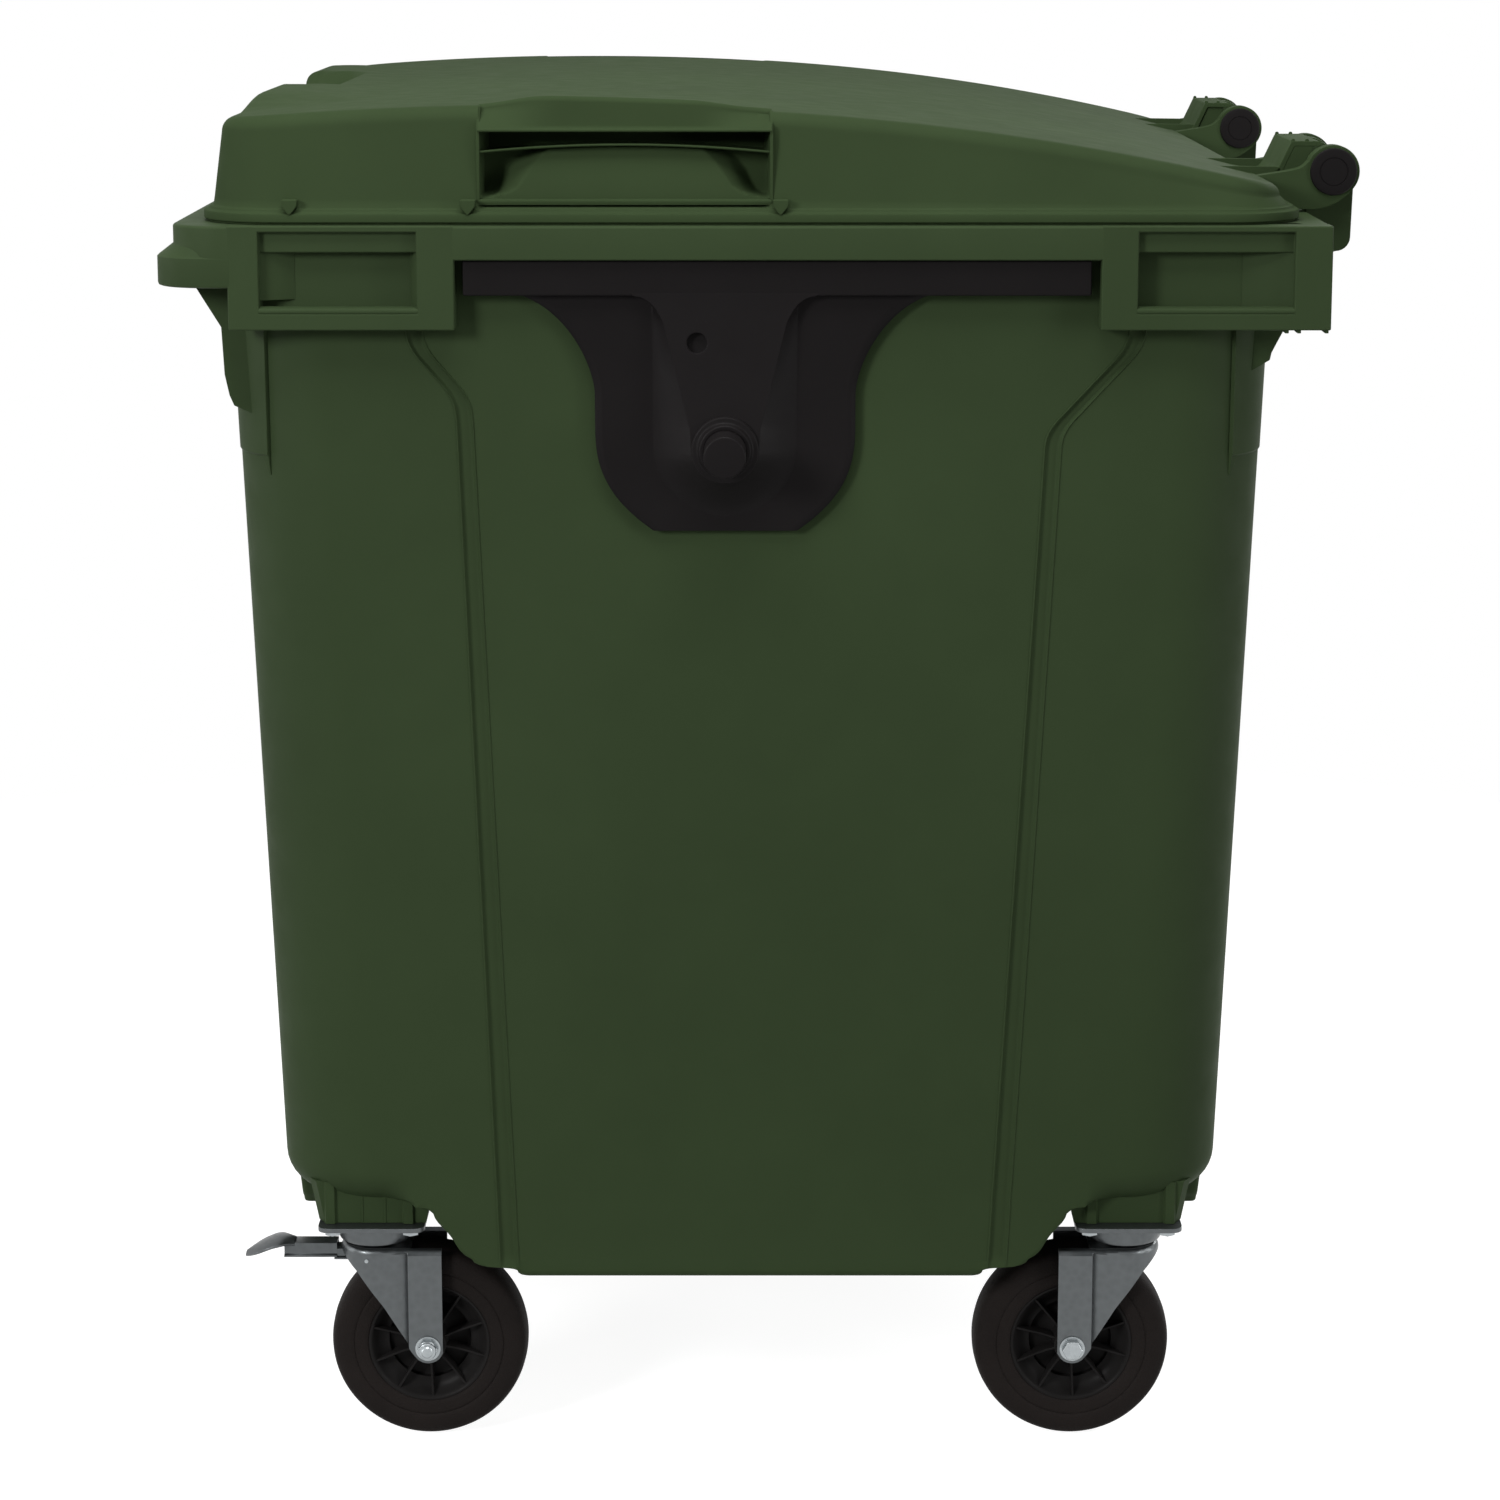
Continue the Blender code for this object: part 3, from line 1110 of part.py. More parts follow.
def build_trunnions(root):
    black = material("trunnion_black_plastic", BLACK, 0.5)
    steel = material("trunnion_steel", BLACK, 0.4, 0.4)
    zinc = material("zinc_plated_steel", ZINC, 0.35, 0.9)
    for side, sign in (("right", 1), ("left", -1)):
        plate = solid(f"trunnion_plate_{side}", trunnion_plate_mesh(sign), black, root)
        bar_back = wall_half_x(SKIRT_BOTTOM_Z) + SEAT_GAP
        top = SKIRT_BOTTOM_Z - SEAT_GAP
        bar_low = wall_half_x(TRUNNION_BAR_BOTTOM_Z) + SEAT_GAP
        bar_outline = [
            (sign * bar_low, TRUNNION_BAR_BOTTOM_Z),
            (sign * TRUNNION_BAR_X, TRUNNION_BAR_BOTTOM_Z),
            (sign * TRUNNION_BAR_X, top),
            (sign * bar_back, top),
        ]
        add(plate, extrude(bar_outline, "y", BAR_FRONT_Y, BAR_REAR_Y))
        pocket = [(TRUNNION_Y + U_POCKET_HALF, TRUNNION_Z), (TRUNNION_Y + U_POCKET_HALF, BAR_BOTTOM_Z - BELL_THICK * 2)]
        pocket += [(TRUNNION_Y + U_POCKET_HALF + U_POCKET_FLARE, TRUNNION_BAR_BOTTOM_Z)]
        pocket += [(TRUNNION_Y - U_POCKET_HALF - U_POCKET_FLARE, TRUNNION_BAR_BOTTOM_Z)]
        pocket += [(TRUNNION_Y - U_POCKET_HALF, BAR_BOTTOM_Z - BELL_THICK * 2)]
        pocket += arc((TRUNNION_Y, TRUNNION_Z), U_POCKET_HALF, -pi, 0.0, SMALL_SIDES)[:-1]
        floor = [(sign * (wall_half_x(z) + SEAT_GAP + BELL_THICK - U_POCKET_DEEP), y, z) for y, z in pocket]
        mouth = [(sign * (wall_half_x(z) + BELL_THICK + OVERRUN), y, z) for y, z in pocket]
        cut(plate, loft([floor, mouth]))
        add(plate, tongue(sign))
        centre = (0.0, TRUNNION_Y, TRUNNION_Z)
        root_x = wall_half_x(TRUNNION_Z) + SEAT_GAP + POCKET_SKIN * HALF_SHARE
        boss = ((BOSS_R, root_x), (BOSS_R, BOSS_OUT_X - WALL * HALF_SHARE), (BOSS_R - WALL * HALF_SHARE, BOSS_OUT_X))
        collar = boss + ((COLLAR_R + WALL * HALF_SHARE, BOSS_OUT_X), (COLLAR_R, COLLAR_OUT_X))
        add(plate, turned([(r, sign * x) for r, x in collar], "x", centre, PLUG_SIDES))
        seat = BOSS_OUT_X - BELL_THICK
        first, last = sorted((sign * seat, sign * (COLLAR_OUT_X + OVERRUN)))
        cut(plate, rod("x", centre, TRUNNION_R + SEAT_GAP, first, last, PLUG_SIDES))
        first, last = sorted((sign * (WALL_TOP_HALF_X - WALL * 3), sign * (COLLAR_OUT_X + OVERRUN)))
        cut(plate, rod("x", centre, TRUNNION_SHANK_R + RUN_GAP, first, last, SHANK_SIDES))
        eye = (0.0, TRUNNION_Y - PLATE_EYE_SIDE, TRUNNION_Z + PLATE_EYE_DROP)
        first, last = sorted((sign * (wall_half_x(TRUNNION_Z + PLATE_EYE_DROP) + SEAT_GAP * 5), sign * RIM_HALF_X))
        cut(plate, rod("x", eye, PLATE_EYE_R, first, last, PIN_SIDES))
        z = SCREW_PLACE[1]
        blind = wall_half_x(z) + SEAT_GAP + SCREW_DEPTH + SEAT_GAP
        cut(plate, trunnion_screw_rod(sign, SCREW_PLACE, SCREW_R + RUN_GAP, wall_half_x(z) - WALL, blind, BOLT_SIDES))
        inside = wall_half_x(TRUNNION_Z) - WALL
        nut_far = inside - SEAT_GAP - TRUNNION_NUT
        profile = (
            (TRUNNION_SHANK_R, nut_far - WALL * HALF_SHARE),
            (TRUNNION_SHANK_R, seat + SEAT_GAP),
            (TRUNNION_R, seat + SEAT_GAP),
            (TRUNNION_R, TRUNNION_OUT_X - TRUNNION_BEVEL),
            (TRUNNION_R - TRUNNION_BEVEL, TRUNNION_OUT_X),
        )
        solid(f"trunnion_pin_{side}", turned([(r, sign * x) for r, x in profile], "x", centre, PLUG_SIDES), steel, root)
        first, last = sorted((sign * nut_far, sign * (inside - SEAT_GAP * 2)))
        nut = nut_rings("x", centre, TRUNNION_NUT_R, TRUNNION_SHANK_R + SEAT_GAP, first, last)
        solid(f"trunnion_nut_{side}", loft(nut, closed=True), zinc, root)
        y, z = SCREW_PLACE
        inner = wall_half_x(z) - WALL - SEAT_GAP * 2
        profile = (
            (SCREW_HEAD_R, inner - SCREW_HEAD),
            (SCREW_HEAD_R, inner),
            (SCREW_R, inner),
            (SCREW_R, wall_half_x(z) + SEAT_GAP + SCREW_DEPTH),
        )
        screw = turned([(r, sign * x) for r, x in profile], "x", (0.0, TRUNNION_Y + y, z), BOLT_SIDES)
        solid(f"trunnion_screw_{side}", screw, zinc, root)


def caster_plate_mesh(centre):
    x, y = centre
    radius = PLATE_CORNER_R
    outline = []
    for k, (sx, sy) in enumerate(((1, 1), (-1, 1), (-1, -1), (1, -1))):
        corner = (x + sx * (PLATE_LENGTH * HALF_SHARE - radius), y + sy * (PLATE_WIDTH * HALF_SHARE - radius))
        outline += arc(corner, radius, pi / 2 * k, pi / 2 * (k + 1), 3)
    return extrude(outline, "z", PLATE_BOTTOM_Z, CASTER_HEIGHT)


def fork_outline(centre, heel, half, end):
    """The fork seen from above: a half round about the swivel axis and straight legs back to an end along Y.
    Heel is +1 or -1, the way along Y in which the wheel trails."""
    x, y = centre
    return [(x + half, end)] + arc((x, y), half, 0.0, -heel * pi, SMALL_SIDES) + [(x - half, end)]


def fork_mesh(centre, heel):
    """The wrapped sheet of the fork, as tall as the fork."""
    end = centre[1] + heel * (TRAIL + FORK_HEEL)
    outline = fork_outline(centre, heel, FORK_OUTER_HALF, end)
    outline += reversed(fork_outline(centre, heel, FORK_OUTER_HALF - FORK_SHEET, end))
    return extrude(outline, "z", WHEEL_R - FORK_FOOT_R - OVERRUN, FORK_TOP_Z)


def build_caster(name, sign_x, sign_y, root):
    """One caster. The plate, bearing and king pin are fixed, and the fork swivels with its wheel."""
    zinc = material("zinc_plated_steel", ZINC, 0.35, 0.9)
    steel = material("bright_steel", STEEL, 0.3, 0.9)
    black = material("wheel_black_plastic", BLACK, 0.5)
    rubber = material("tyre_rubber", RUBBER, 0.8)
    sx = sign_x * SWIVEL_X
    sy = sign_y * SWIVEL_Y
    heel = -sign_y
    swivel = empty(f"swivel_{name}", (sx, sy, CASTER_HEIGHT), root)
    spin = empty(f"spin_{name}", (sx, sy + heel * TRAIL, WHEEL_R), swivel)

    plate = solid(f"caster_plate_{name}", caster_plate_mesh((sx, sy)), zinc, root)
    cup_top = PLATE_THICK * HALF_SHARE
    bore = CUP_R - CUP_WALL
    cup = ((CUP_R, -CUP_DEPTH), (CUP_R, cup_top), (bore, cup_top), (bore, -CUP_DEPTH))
    add(plate, revolve(cup, "z", (sx, sy, PLATE_BOTTOM_Z), PIN_SIDES))
    cut(plate, rod("z", (sx, sy, PLATE_BOTTOM_Z), KING_PIN_R + SEAT_GAP, -OVERRUN, PLATE_THICK + OVERRUN, SHANK_SIDES))
    for dx in (-PLATE_BOLT_X * HALF_SHARE, PLATE_BOLT_X * HALF_SHARE):
        for dy in (-PLATE_BOLT_Y * HALF_SHARE, PLATE_BOLT_Y * HALF_SHARE):
            bolt = (
                (PLATE_BOLT_HEAD_R, -PLATE_BOLT_HEAD),
                (PLATE_BOLT_HEAD_R, PLATE_THICK * HALF_SHARE),
                (PLATE_BOLT_R, PLATE_THICK * HALF_SHARE),
                (PLATE_BOLT_R, PLATE_THICK + PLATE_BOLT_DEPTH),
            )
            add(plate, turned(bolt, "z", (sx + dx, sy + dy, PLATE_BOTTOM_Z), 6))

    race_low = FORK_TOP_Z + NECK_R * HALF_SHARE + SEAT_GAP - CUP_BOTTOM_Z
    ring = (
        (BEARING_INNER_R, race_low),
        (BEARING_R - CUP_WALL, race_low),
        (BEARING_R, race_low + CUP_WALL),
        (BEARING_R, CUP_DEPTH - SEAT_GAP),
        (BEARING_INNER_R, CUP_DEPTH - SEAT_GAP),
    )
    solid(f"swivel_bearing_{name}", revolve(ring, "z", (sx, sy, CUP_BOTTOM_Z), SHANK_SIDES), steel, root)
    king = (
        (KING_HEAD_R, FORK_CROWN_BOTTOM_Z - SEAT_GAP - KING_HEAD),
        (KING_HEAD_R, FORK_CROWN_BOTTOM_Z - SEAT_GAP),
        (KING_PIN_R, FORK_CROWN_BOTTOM_Z - SEAT_GAP),
        (KING_PIN_R, CASTER_HEIGHT - SEAT_GAP),
    )
    solid(f"king_pin_{name}", turned(king, "z", (sx, sy, 0.0), SHANK_SIDES), steel, root)

    fork = solid(f"fork_{name}", fork_mesh((sx, sy), heel), zinc, swivel)
    # The side view of the fork: heel, round foot about the axle and a long sloping front.
    axle_y = sy + heel * TRAIL
    front_y = sy - heel * (FORK_OUTER_HALF + OVERRUN * HALF_SHARE)
    heel_y = axle_y + heel * (FORK_HEEL + OVERRUN)
    foot = arc((axle_y, WHEEL_R), FORK_FOOT_R, -pi / 2, -pi / 2 - heel * radians(52), 5)
    side_view = [(heel_y, FORK_TOP_Z + OVERRUN), (heel_y, WHEEL_R - FORK_FOOT_R)] + foot
    side_view += [(front_y, FORK_TOP_Z - FORK_SHEET * HALF_SHARE), (front_y, FORK_TOP_Z + OVERRUN)]
    keep = extrude(side_view, "x", sx - FORK_OUTER_HALF - OVERRUN, sx + FORK_OUTER_HALF + OVERRUN)
    tool(fork, keep, "INTERSECT")
    crown = fork_outline((sx, sy), heel, FORK_OUTER_HALF - FORK_SHEET * HALF_SHARE, axle_y - heel * CROWN_SHORT)
    add(fork, extrude(crown, "z", FORK_CROWN_BOTTOM_Z, FORK_TOP_Z - SEAT_GAP * HALF_SHARE))
    neck_top = FORK_TOP_Z + NECK_R * HALF_SHARE
    add(fork, rod("z", (sx, sy, 0.0), NECK_R, FORK_CROWN_BOTTOM_Z + FORK_SHEET * HALF_SHARE, neck_top, PIN_SIDES))
    cut(fork, rod("z", (sx, sy, 0.0), KING_PIN_R + RUN_GAP, FORK_CROWN_BOTTOM_Z - OVERRUN, neck_top + OVERRUN, SHANK_SIDES))
    reach = FORK_OUTER_HALF + OVERRUN
    cut(fork, rod("x", (sx, axle_y, WHEEL_R), FORK_HOLE_R, -reach, reach, SHANK_SIDES))

    clear_half = FORK_OUTER_HALF - FORK_SHEET - SEAT_GAP
    bush = ((AXLE_R + SEAT_GAP, -clear_half), (BUSH_R, -clear_half), (BUSH_R, clear_half), (AXLE_R + SEAT_GAP, clear_half))
    axle_centre = (sx, axle_y, WHEEL_R)
    solid(f"axle_bush_{name}", revolve(bush, "x", axle_centre, SHANK_SIDES), steel, swivel)
    # Front casters show the nut on the outside, and rear ones the bolt's head.
    out = -sign_x if sign_y < 0 else sign_x
    washer = FORK_OUTER_HALF + SEAT_GAP
    bolt = (
        (AXLE_HEAD_R, out * (washer + AXLE_HEAD)),
        (AXLE_HEAD_R, out * washer),
        (AXLE_R, out * washer),
        (AXLE_R, -out * (washer + AXLE_THREAD_OUT)),
    )
    solid(f"axle_bolt_{name}", turned(bolt, "x", axle_centre, SHANK_SIDES), steel, swivel)
    rings = nut_rings("x", axle_centre, AXLE_HEAD_R, AXLE_R + SEAT_GAP, -out * washer, -out * (washer + AXLE_HEAD))
    solid(f"axle_nut_{name}", loft(rings, closed=True), steel, swivel)

    solid_wheel(name, axle_centre, black, rubber, spin)
    if sign_y < 0:
        build_pedal(name, sx, sy, axle_y, fork, swivel)


def solid_wheel(name, centre, black, rubber, spin):
    """A ribbed plastic wheel centre and its solid rubber tyre."""
    phase = pi / WHEEL_SEGMENTS
    hub_half = FORK_OUTER_HALF - FORK_SHEET - SEAT_GAP * 2
    half = (
        (HUB_BORE_R, hub_half),
        (HUB_R, hub_half),
        (HUB_R, WEB_HALF),
        (WEB_STEP_R, WEB_HALF),
        (WEB_STEP_R, WEB_STEP_HALF),
        (RIM_LIP_R, RIM_HALF),
    )
    profile = list(half) + [(r, -h) for r, h in reversed(half)]
    wheel = solid(f"wheel_centre_{name}", revolve(profile, "x", centre, WHEEL_SEGMENTS, phase), black, spin)
    for k in range(RIB_COUNT):
        rings = []
        for side in (-HALF_SHARE, HALF_SHARE):
            near = [(-RIB_HUB_HALF, HUB_R - RIB_THICK), (RIB_HUB_HALF, HUB_R - RIB_THICK)]
            far = [(RIM_HALF - RIB_THICK * 2, RIM_WELL_R), (-RIM_HALF + RIB_THICK * 2, RIM_WELL_R)]
            rings.append([Vector((h, r, side * RIB_THICK)) for h, r in near + far])
        bm = loft(rings)
        turn = Matrix.Rotation(2 * pi * k / RIB_COUNT, 3, "X")
        bmesh.ops.rotate(bm, verts=bm.verts, cent=(0, 0, 0), matrix=turn)
        bmesh.ops.translate(bm, verts=bm.verts, vec=Vector(centre))
        add(wheel, bm)
    tyre_half = TYRE_WIDTH * HALF_SHARE
    outer = WHEEL_R / cos(pi / WHEEL_SEGMENTS)
    shoulder = WHEEL_R * (1 - TYRE_SHOULDER_SHARE)
    half = (
        (TYRE_SEAT_R, RIM_HALF),
        (TYRE_BAND_R, tyre_half),
        (shoulder, tyre_half * (1 - TYRE_SHOULDER_SHARE)),
        (outer, tyre_half * TYRE_TREAD_SHARE),
    )
    profile = list(half) + [(r, -h) for r, h in reversed(half)]
    solid(f"tyre_{name}", revolve(profile, "x", centre, WHEEL_SEGMENTS, phase), rubber, spin)


def build_pedal(name, sx, sy, axle_y, fork, swivel):
    """The brake pedal: a channel arm with a spoon-shaped pad in front and a brake shoe over the tyre."""
    zinc = material("zinc_plated_steel", ZINC, 0.35, 0.9)
    steel = material("bright_steel", STEEL, 0.3, 0.9)
    pivot_y = sy - PEDAL_PIVOT_Y
    pivot_z = PEDAL_ARM_TOP_Z - PEDAL_PIVOT_R
    hinge = empty(f"pedal_{name}", (sx, pivot_y, pivot_z), swivel)
    top = PEDAL_ARM_TOP_Z
    bottom = top - PEDAL_ARM_DEEP
    arm = box((sx - PEDAL_ARM_HALF, sy - PEDAL_ARM_END, bottom), (sx + PEDAL_ARM_HALF, pivot_y + PEDAL_REAR, top))
    pedal = solid(f"brake_pedal_{name}", arm, zinc, hinge)
    notch_half = PEDAL_ARM_HALF + PEDAL_NOTCH_GAP
    notch_front = sy - FORK_OUTER_HALF - OVERRUN
    notch_low = (sx - notch_half, notch_front, bottom - PEDAL_ARM_DEEP)
    cut(fork, box(notch_low, (sx + notch_half, pivot_y, top + PEDAL_NOTCH_GAP)))
    inner = PEDAL_ARM_HALF - PEDAL_SHEET
    cut(
        pedal,
        box(
            (sx - inner, sy - PEDAL_ARM_END - OVERRUN, bottom - OVERRUN),
            (sx + inner, sy - SHOE_FRONT, top - PEDAL_SHEET),
        ),
    )
    shoe_front = sy - SHOE_FRONT
    shoe_rear = sy - SHOE_REAR
    reach = WHEEL_R + SHOE_GAP

    def tyre_z(y):
        return WHEEL_R + sqrt(reach ** 2 - (axle_y - y) ** 2)

    shoe = [(shoe_front, bottom + OVERRUN * HALF_SHARE), (shoe_front, tyre_z(shoe_front)), (shoe_rear, tyre_z(shoe_rear))]
    shoe += [(shoe_rear, bottom + OVERRUN * HALF_SHARE)]
    add(pedal, extrude(shoe, "x", sx - inner, sx + inner))
    rings = []
    for reach_y, half, lift in (
        (PEDAL_ARM_END - OVERRUN, PEDAL_ARM_HALF, 0.0),
        (PEDAL_PAD_TOP, PEDAL_PAD_HALF, PEDAL_PAD_RISE),
        ((PEDAL_PAD_TOP + PEDAL_TIP * 2) / 3, PEDAL_PAD_HALF, -PEDAL_TIP_DROP * HALF_SHARE),
        (PEDAL_TIP, PEDAL_PAD_HALF * HALF_SHARE, -PEDAL_TIP_DROP),
    ):
        y = sy - reach_y
        z = top + lift
        rings.append([(sx - half, y, z - PEDAL_SHEET), (sx + half, y, z - PEDAL_SHEET), (sx + half, y, z), (sx - half, y, z)])
    add(pedal, loft(rings))
    centre = (sx, pivot_y, pivot_z)
    pin_half = FORK_OUTER_HALF
    cut(pedal, rod("x", centre, PEDAL_PIVOT_R * HALF_SHARE + RUN_GAP, -pin_half, pin_half, SMALL_SIDES))
    cut(fork, rod("x", centre, PEDAL_PIVOT_R * HALF_SHARE + SEAT_GAP, -pin_half - OVERRUN, pin_half + OVERRUN, SMALL_SIDES))
    solid(f"brake_pin_{name}", rod("x", centre, PEDAL_PIVOT_R * HALF_SHARE, -pin_half, pin_half, SMALL_SIDES), steel, swivel)


def main():
    clear_scene()
    container = bpy.data.objects.new("container", None)
    bpy.context.scene.collection.objects.link(container)
    container.location = (0.0, -MIDDLE_Y, 0.0)
    build_tub(container)
    build_drain_plug(container)
    hinge = empty("lid_hinge", (0.0, HINGE_Y, HINGE_Z), container)
    build_lid(hinge)
    build_hinge_pins(container)
    build_trunnions(container)
    for end, sign_y in (("front", -1), ("rear", 1)):
        for side, sign_x in (("right", 1), ("left", -1)):
            build_caster(f"{end}_{side}", sign_x, sign_y, container)
    bpy.context.view_layer.update()


main()
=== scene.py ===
"""Looks of a four-wheeled waste container, laid out as an add-on and run as a script.

Lengths are metres. Shapes are worked out in the tub's own frame, whose Y starts at the tub's middle, and
are moved by MIDDLE_Y when they become meshes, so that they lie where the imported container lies.
"""

from math import cos, pi, radians, sin, sqrt, tan

import bmesh
import bpy
import numpy as np
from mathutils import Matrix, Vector


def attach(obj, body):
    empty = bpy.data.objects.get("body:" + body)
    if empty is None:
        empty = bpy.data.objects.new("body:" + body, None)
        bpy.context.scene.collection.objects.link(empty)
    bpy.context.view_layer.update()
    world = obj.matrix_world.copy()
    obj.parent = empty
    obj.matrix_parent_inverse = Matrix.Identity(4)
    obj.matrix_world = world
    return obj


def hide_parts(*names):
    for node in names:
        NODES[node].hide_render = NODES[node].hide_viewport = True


bl_info = {
    "name": "Wheeled waste container looks",
    "version": (1, 0, 0),
    "blender": (4, 5, 0),
    "location": "3D View > Sidebar > Container",
    "description": "Builds the skins, finishes, stage and camera round the packed container",
    "category": "Object",
}

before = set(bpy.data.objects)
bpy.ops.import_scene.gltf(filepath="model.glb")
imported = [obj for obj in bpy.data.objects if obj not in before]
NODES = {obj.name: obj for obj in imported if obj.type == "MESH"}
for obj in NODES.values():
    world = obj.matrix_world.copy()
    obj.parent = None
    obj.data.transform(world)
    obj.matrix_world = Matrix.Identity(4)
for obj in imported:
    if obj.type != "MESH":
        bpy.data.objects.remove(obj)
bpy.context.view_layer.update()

MIDDLE_Y = 0.01725
WALL = 0.006
SLOPE = tan(radians(1.95))
RIM_TOP = 1.245
RIM_HALF_X = 0.622
RIM_HALF_Y = 0.547
SKIRT_BOTTOM_Z = 1.213
WALL_TOP_HALF_X = 0.599
WALL_TOP_HALF_Y = 0.505
CORNER_R = 0.095
EDGE_R = 0.035
BELLY_Z = 0.186
CEILING_Z = 0.261
SWIVEL_X = 0.498
SWIVEL_Y = 0.380
CASTER_Z = 0.238
WHEEL_R = 0.100
TRAIL = 0.053
HINGE_Y = 0.5705
HINGE_Z = 1.2845
TRUNNION_Y = -0.0235
TRUNNION_Z = 1.035
ENDS = (("front", -1), ("rear", 1))
SIDES = (("right", 1), ("left", -1))


# Surfaces worked out as arrays


def smooth(value):
    """A soft step: three times the square minus twice the cube, held between nought and one."""
    held = np.clip(value, 0.0, 1.0)
    return held * held * (3.0 - 2.0 * held)


def arc(centre, radius, start, end, count):
    """Points of a circle: the centre plus the radius times cosine and sine of evenly spaced angles."""
    turn = np.linspace(start, end, count)
    return np.stack((centre[0] + radius * np.cos(turn), centre[1] + radius * np.sin(turn)), axis=-1)


def rounded(points, radius, steps=5, closed=True):
    """A line with soft corners: each corner becomes the quadratic curve (1-t)²A + 2t(1-t)P + t²B between two
    points set back from it by the radius, and by at most half of the side."""
    points = np.asarray(points, float)
    radius = np.broadcast_to(np.asarray(radius, float), (len(points),))[:, None]

    def set_back(side):
        length = np.maximum(np.linalg.norm(side, axis=-1, keepdims=True), 1e-9)
        return side / length * np.minimum(radius, length * 0.5)

    start = points + set_back(np.roll(points, 1, axis=0) - points)
    end = points + set_back(np.roll(points, -1, axis=0) - points)
    t = np.linspace(0.0, 1.0, steps)[None, :, None]
    curve = (1 - t) ** 2 * start[:, None] + 2 * t * (1 - t) * points[:, None] + t**2 * end[:, None]
    if closed:
        return curve.reshape(-1, 2)
    return np.concatenate((points[:1], curve[1:-1].reshape(-1, 2), points[-1:]))


def net_faces(net):
    """Four-sided faces between neighbouring rows and columns of a net of point numbers."""
    corners = (net[:-1, :-1], net[:-1, 1:], net[1:, 1:], net[1:, :-1])
    return np.stack(corners, axis=-1).reshape(-1, 4).tolist()


def loft(rings, caps=True, closed=False, wrap=True):
    """A skin through rings of equal count. Closed joins the last ring to the first, and caps fill both
    ends."""
    rings = np.asarray(rings, float)
    rows, cols = rings.shape[:2]
    index = np.arange(rows * cols).reshape(rows, cols)
    net = np.concatenate((index, index[:, :1]), axis=1) if wrap else index
    net = np.concatenate((net, net[:1]), axis=0) if closed else net
    faces = net_faces(net)
    if caps and not closed:
        faces += [index[0][::-1].tolist(), index[-1].tolist()]
    return rings.reshape(-1, 3), faces


def along_axis(axis, along, u, v):
    """Points whose axis coordinate is along, and whose other two follow it in the order x, y, z."""
    along, u, v = np.broadcast_arrays(along, u, v)
    order = {"x": (along, u, v), "y": (u, along, v), "z": (u, v, along)}[axis]
    return np.stack(order, axis=-1)


def prism(outline, axis, start, end):
    """A straight bar: the flat outline carried along an axis from start to end."""
    outline = np.asarray(outline, float)
    spans = np.array((start, end))[:, None]
    return loft(along_axis(axis, spans, outline[None, :, 0], outline[None, :, 1]))


def box(low, high):
    """A block between two opposite corners."""
    outline = ((low[1], low[2]), (high[1], low[2]), (high[1], high[2]), (low[1], high[2]))
    return prism(outline, "x", low[0], high[0])


def turned(profile, axis, centre, segments=48, closed=False, phase=0.0):
    """A turned solid: each profile point (radius, height) goes round the axis as radius times cosine and
    sine."""
    profile = np.asarray(profile, float)
    turn = phase + np.linspace(0.0, 2 * pi, segments, endpoint=False)[None, :]
    radius, height = profile[:, :1], profile[:, 1:]
    u, v = radius * np.cos(turn), radius * np.sin(turn)
    order = {"x": (height, u, v), "y": (v, height, u), "z": (u, v, height)}[axis]
    points = np.stack(np.broadcast_arrays(*order), axis=-1) + np.asarray(centre)
    return loft(points, caps=not closed, closed=closed)


def hexagon(corner_r, axis, centre, start, end, chamfer=0.0012):
    """A hexagon head whose two rims are drawn in by a chamfer."""
    rise = np.sign(end - start) * chamfer * 0.6
    inner_r = corner_r - chamfer
    profile = ((inner_r, start), (corner_r, start + rise), (corner_r, end - rise), (inner_r, end))
    return turned(profile, axis, centre, 6)


def placed_ring(outline, sign_x, sign_y, z):
    """A flat outline mirrored by two signs and set at a height."""
    outline = np.asarray(outline, float)
    return np.column_stack((outline * np.array((sign_x, sign_y)), np.full(len(outline), z)))


def stepped_panel(lines_y, lines_z, depths, face, back, sign):
    """A block whose outer face steps back cell by cell: x is the face less the depth of the cell that holds
    the point's y and z. Cells of depth None are left out. Walls close each step and run back to the back
    plane."""
    levels = sorted({d for row in depths for d in row if d is not None} | {face - back})
    points, faces = [], []

    def quad(corners):
        start = len(points)
        points.extend((sign * x, y, z) for x, y, z in corners)
        faces.append((start, start + 1, start + 2, start + 3))

    def depth_at(row, col):
        inside = 0 <= row < len(depths) and 0 <= col < len(depths[0])
        found = depths[row][col] if inside else None
        return face - back if found is None else found

    for row, (z0, z1) in enumerate(zip(lines_z, lines_z[1:])):
        for col, (y0, y1) in enumerate(zip(lines_y, lines_y[1:])):
            depth = depth_at(row, col)
            if depth == face - back:
                continue
            for x in (face - depth, back):
                quad(((x, y0, z0), (x, y1, z0), (x, y1, z1), (x, y0, z1)))
            edges = (
                (row - 1, col, (y0, z0), (y1, z0)),
                (row + 1, col, (y0, z1), (y1, z1)),
                (row, col - 1, (y0, z0), (y0, z1)),
                (row, col + 1, (y1, z0), (y1, z1)),
            )
            for other_row, other_col, a, b in edges:
                steps = [d for d in levels if depth <= d <= depth_at(other_row, other_col)]
                for near, far in zip(steps, steps[1:]):
                    quad(((face - near, *a), (face - near, *b), (face - far, *b), (face - far, *a)))
    return np.array(points), faces


# Meshes and modifiers


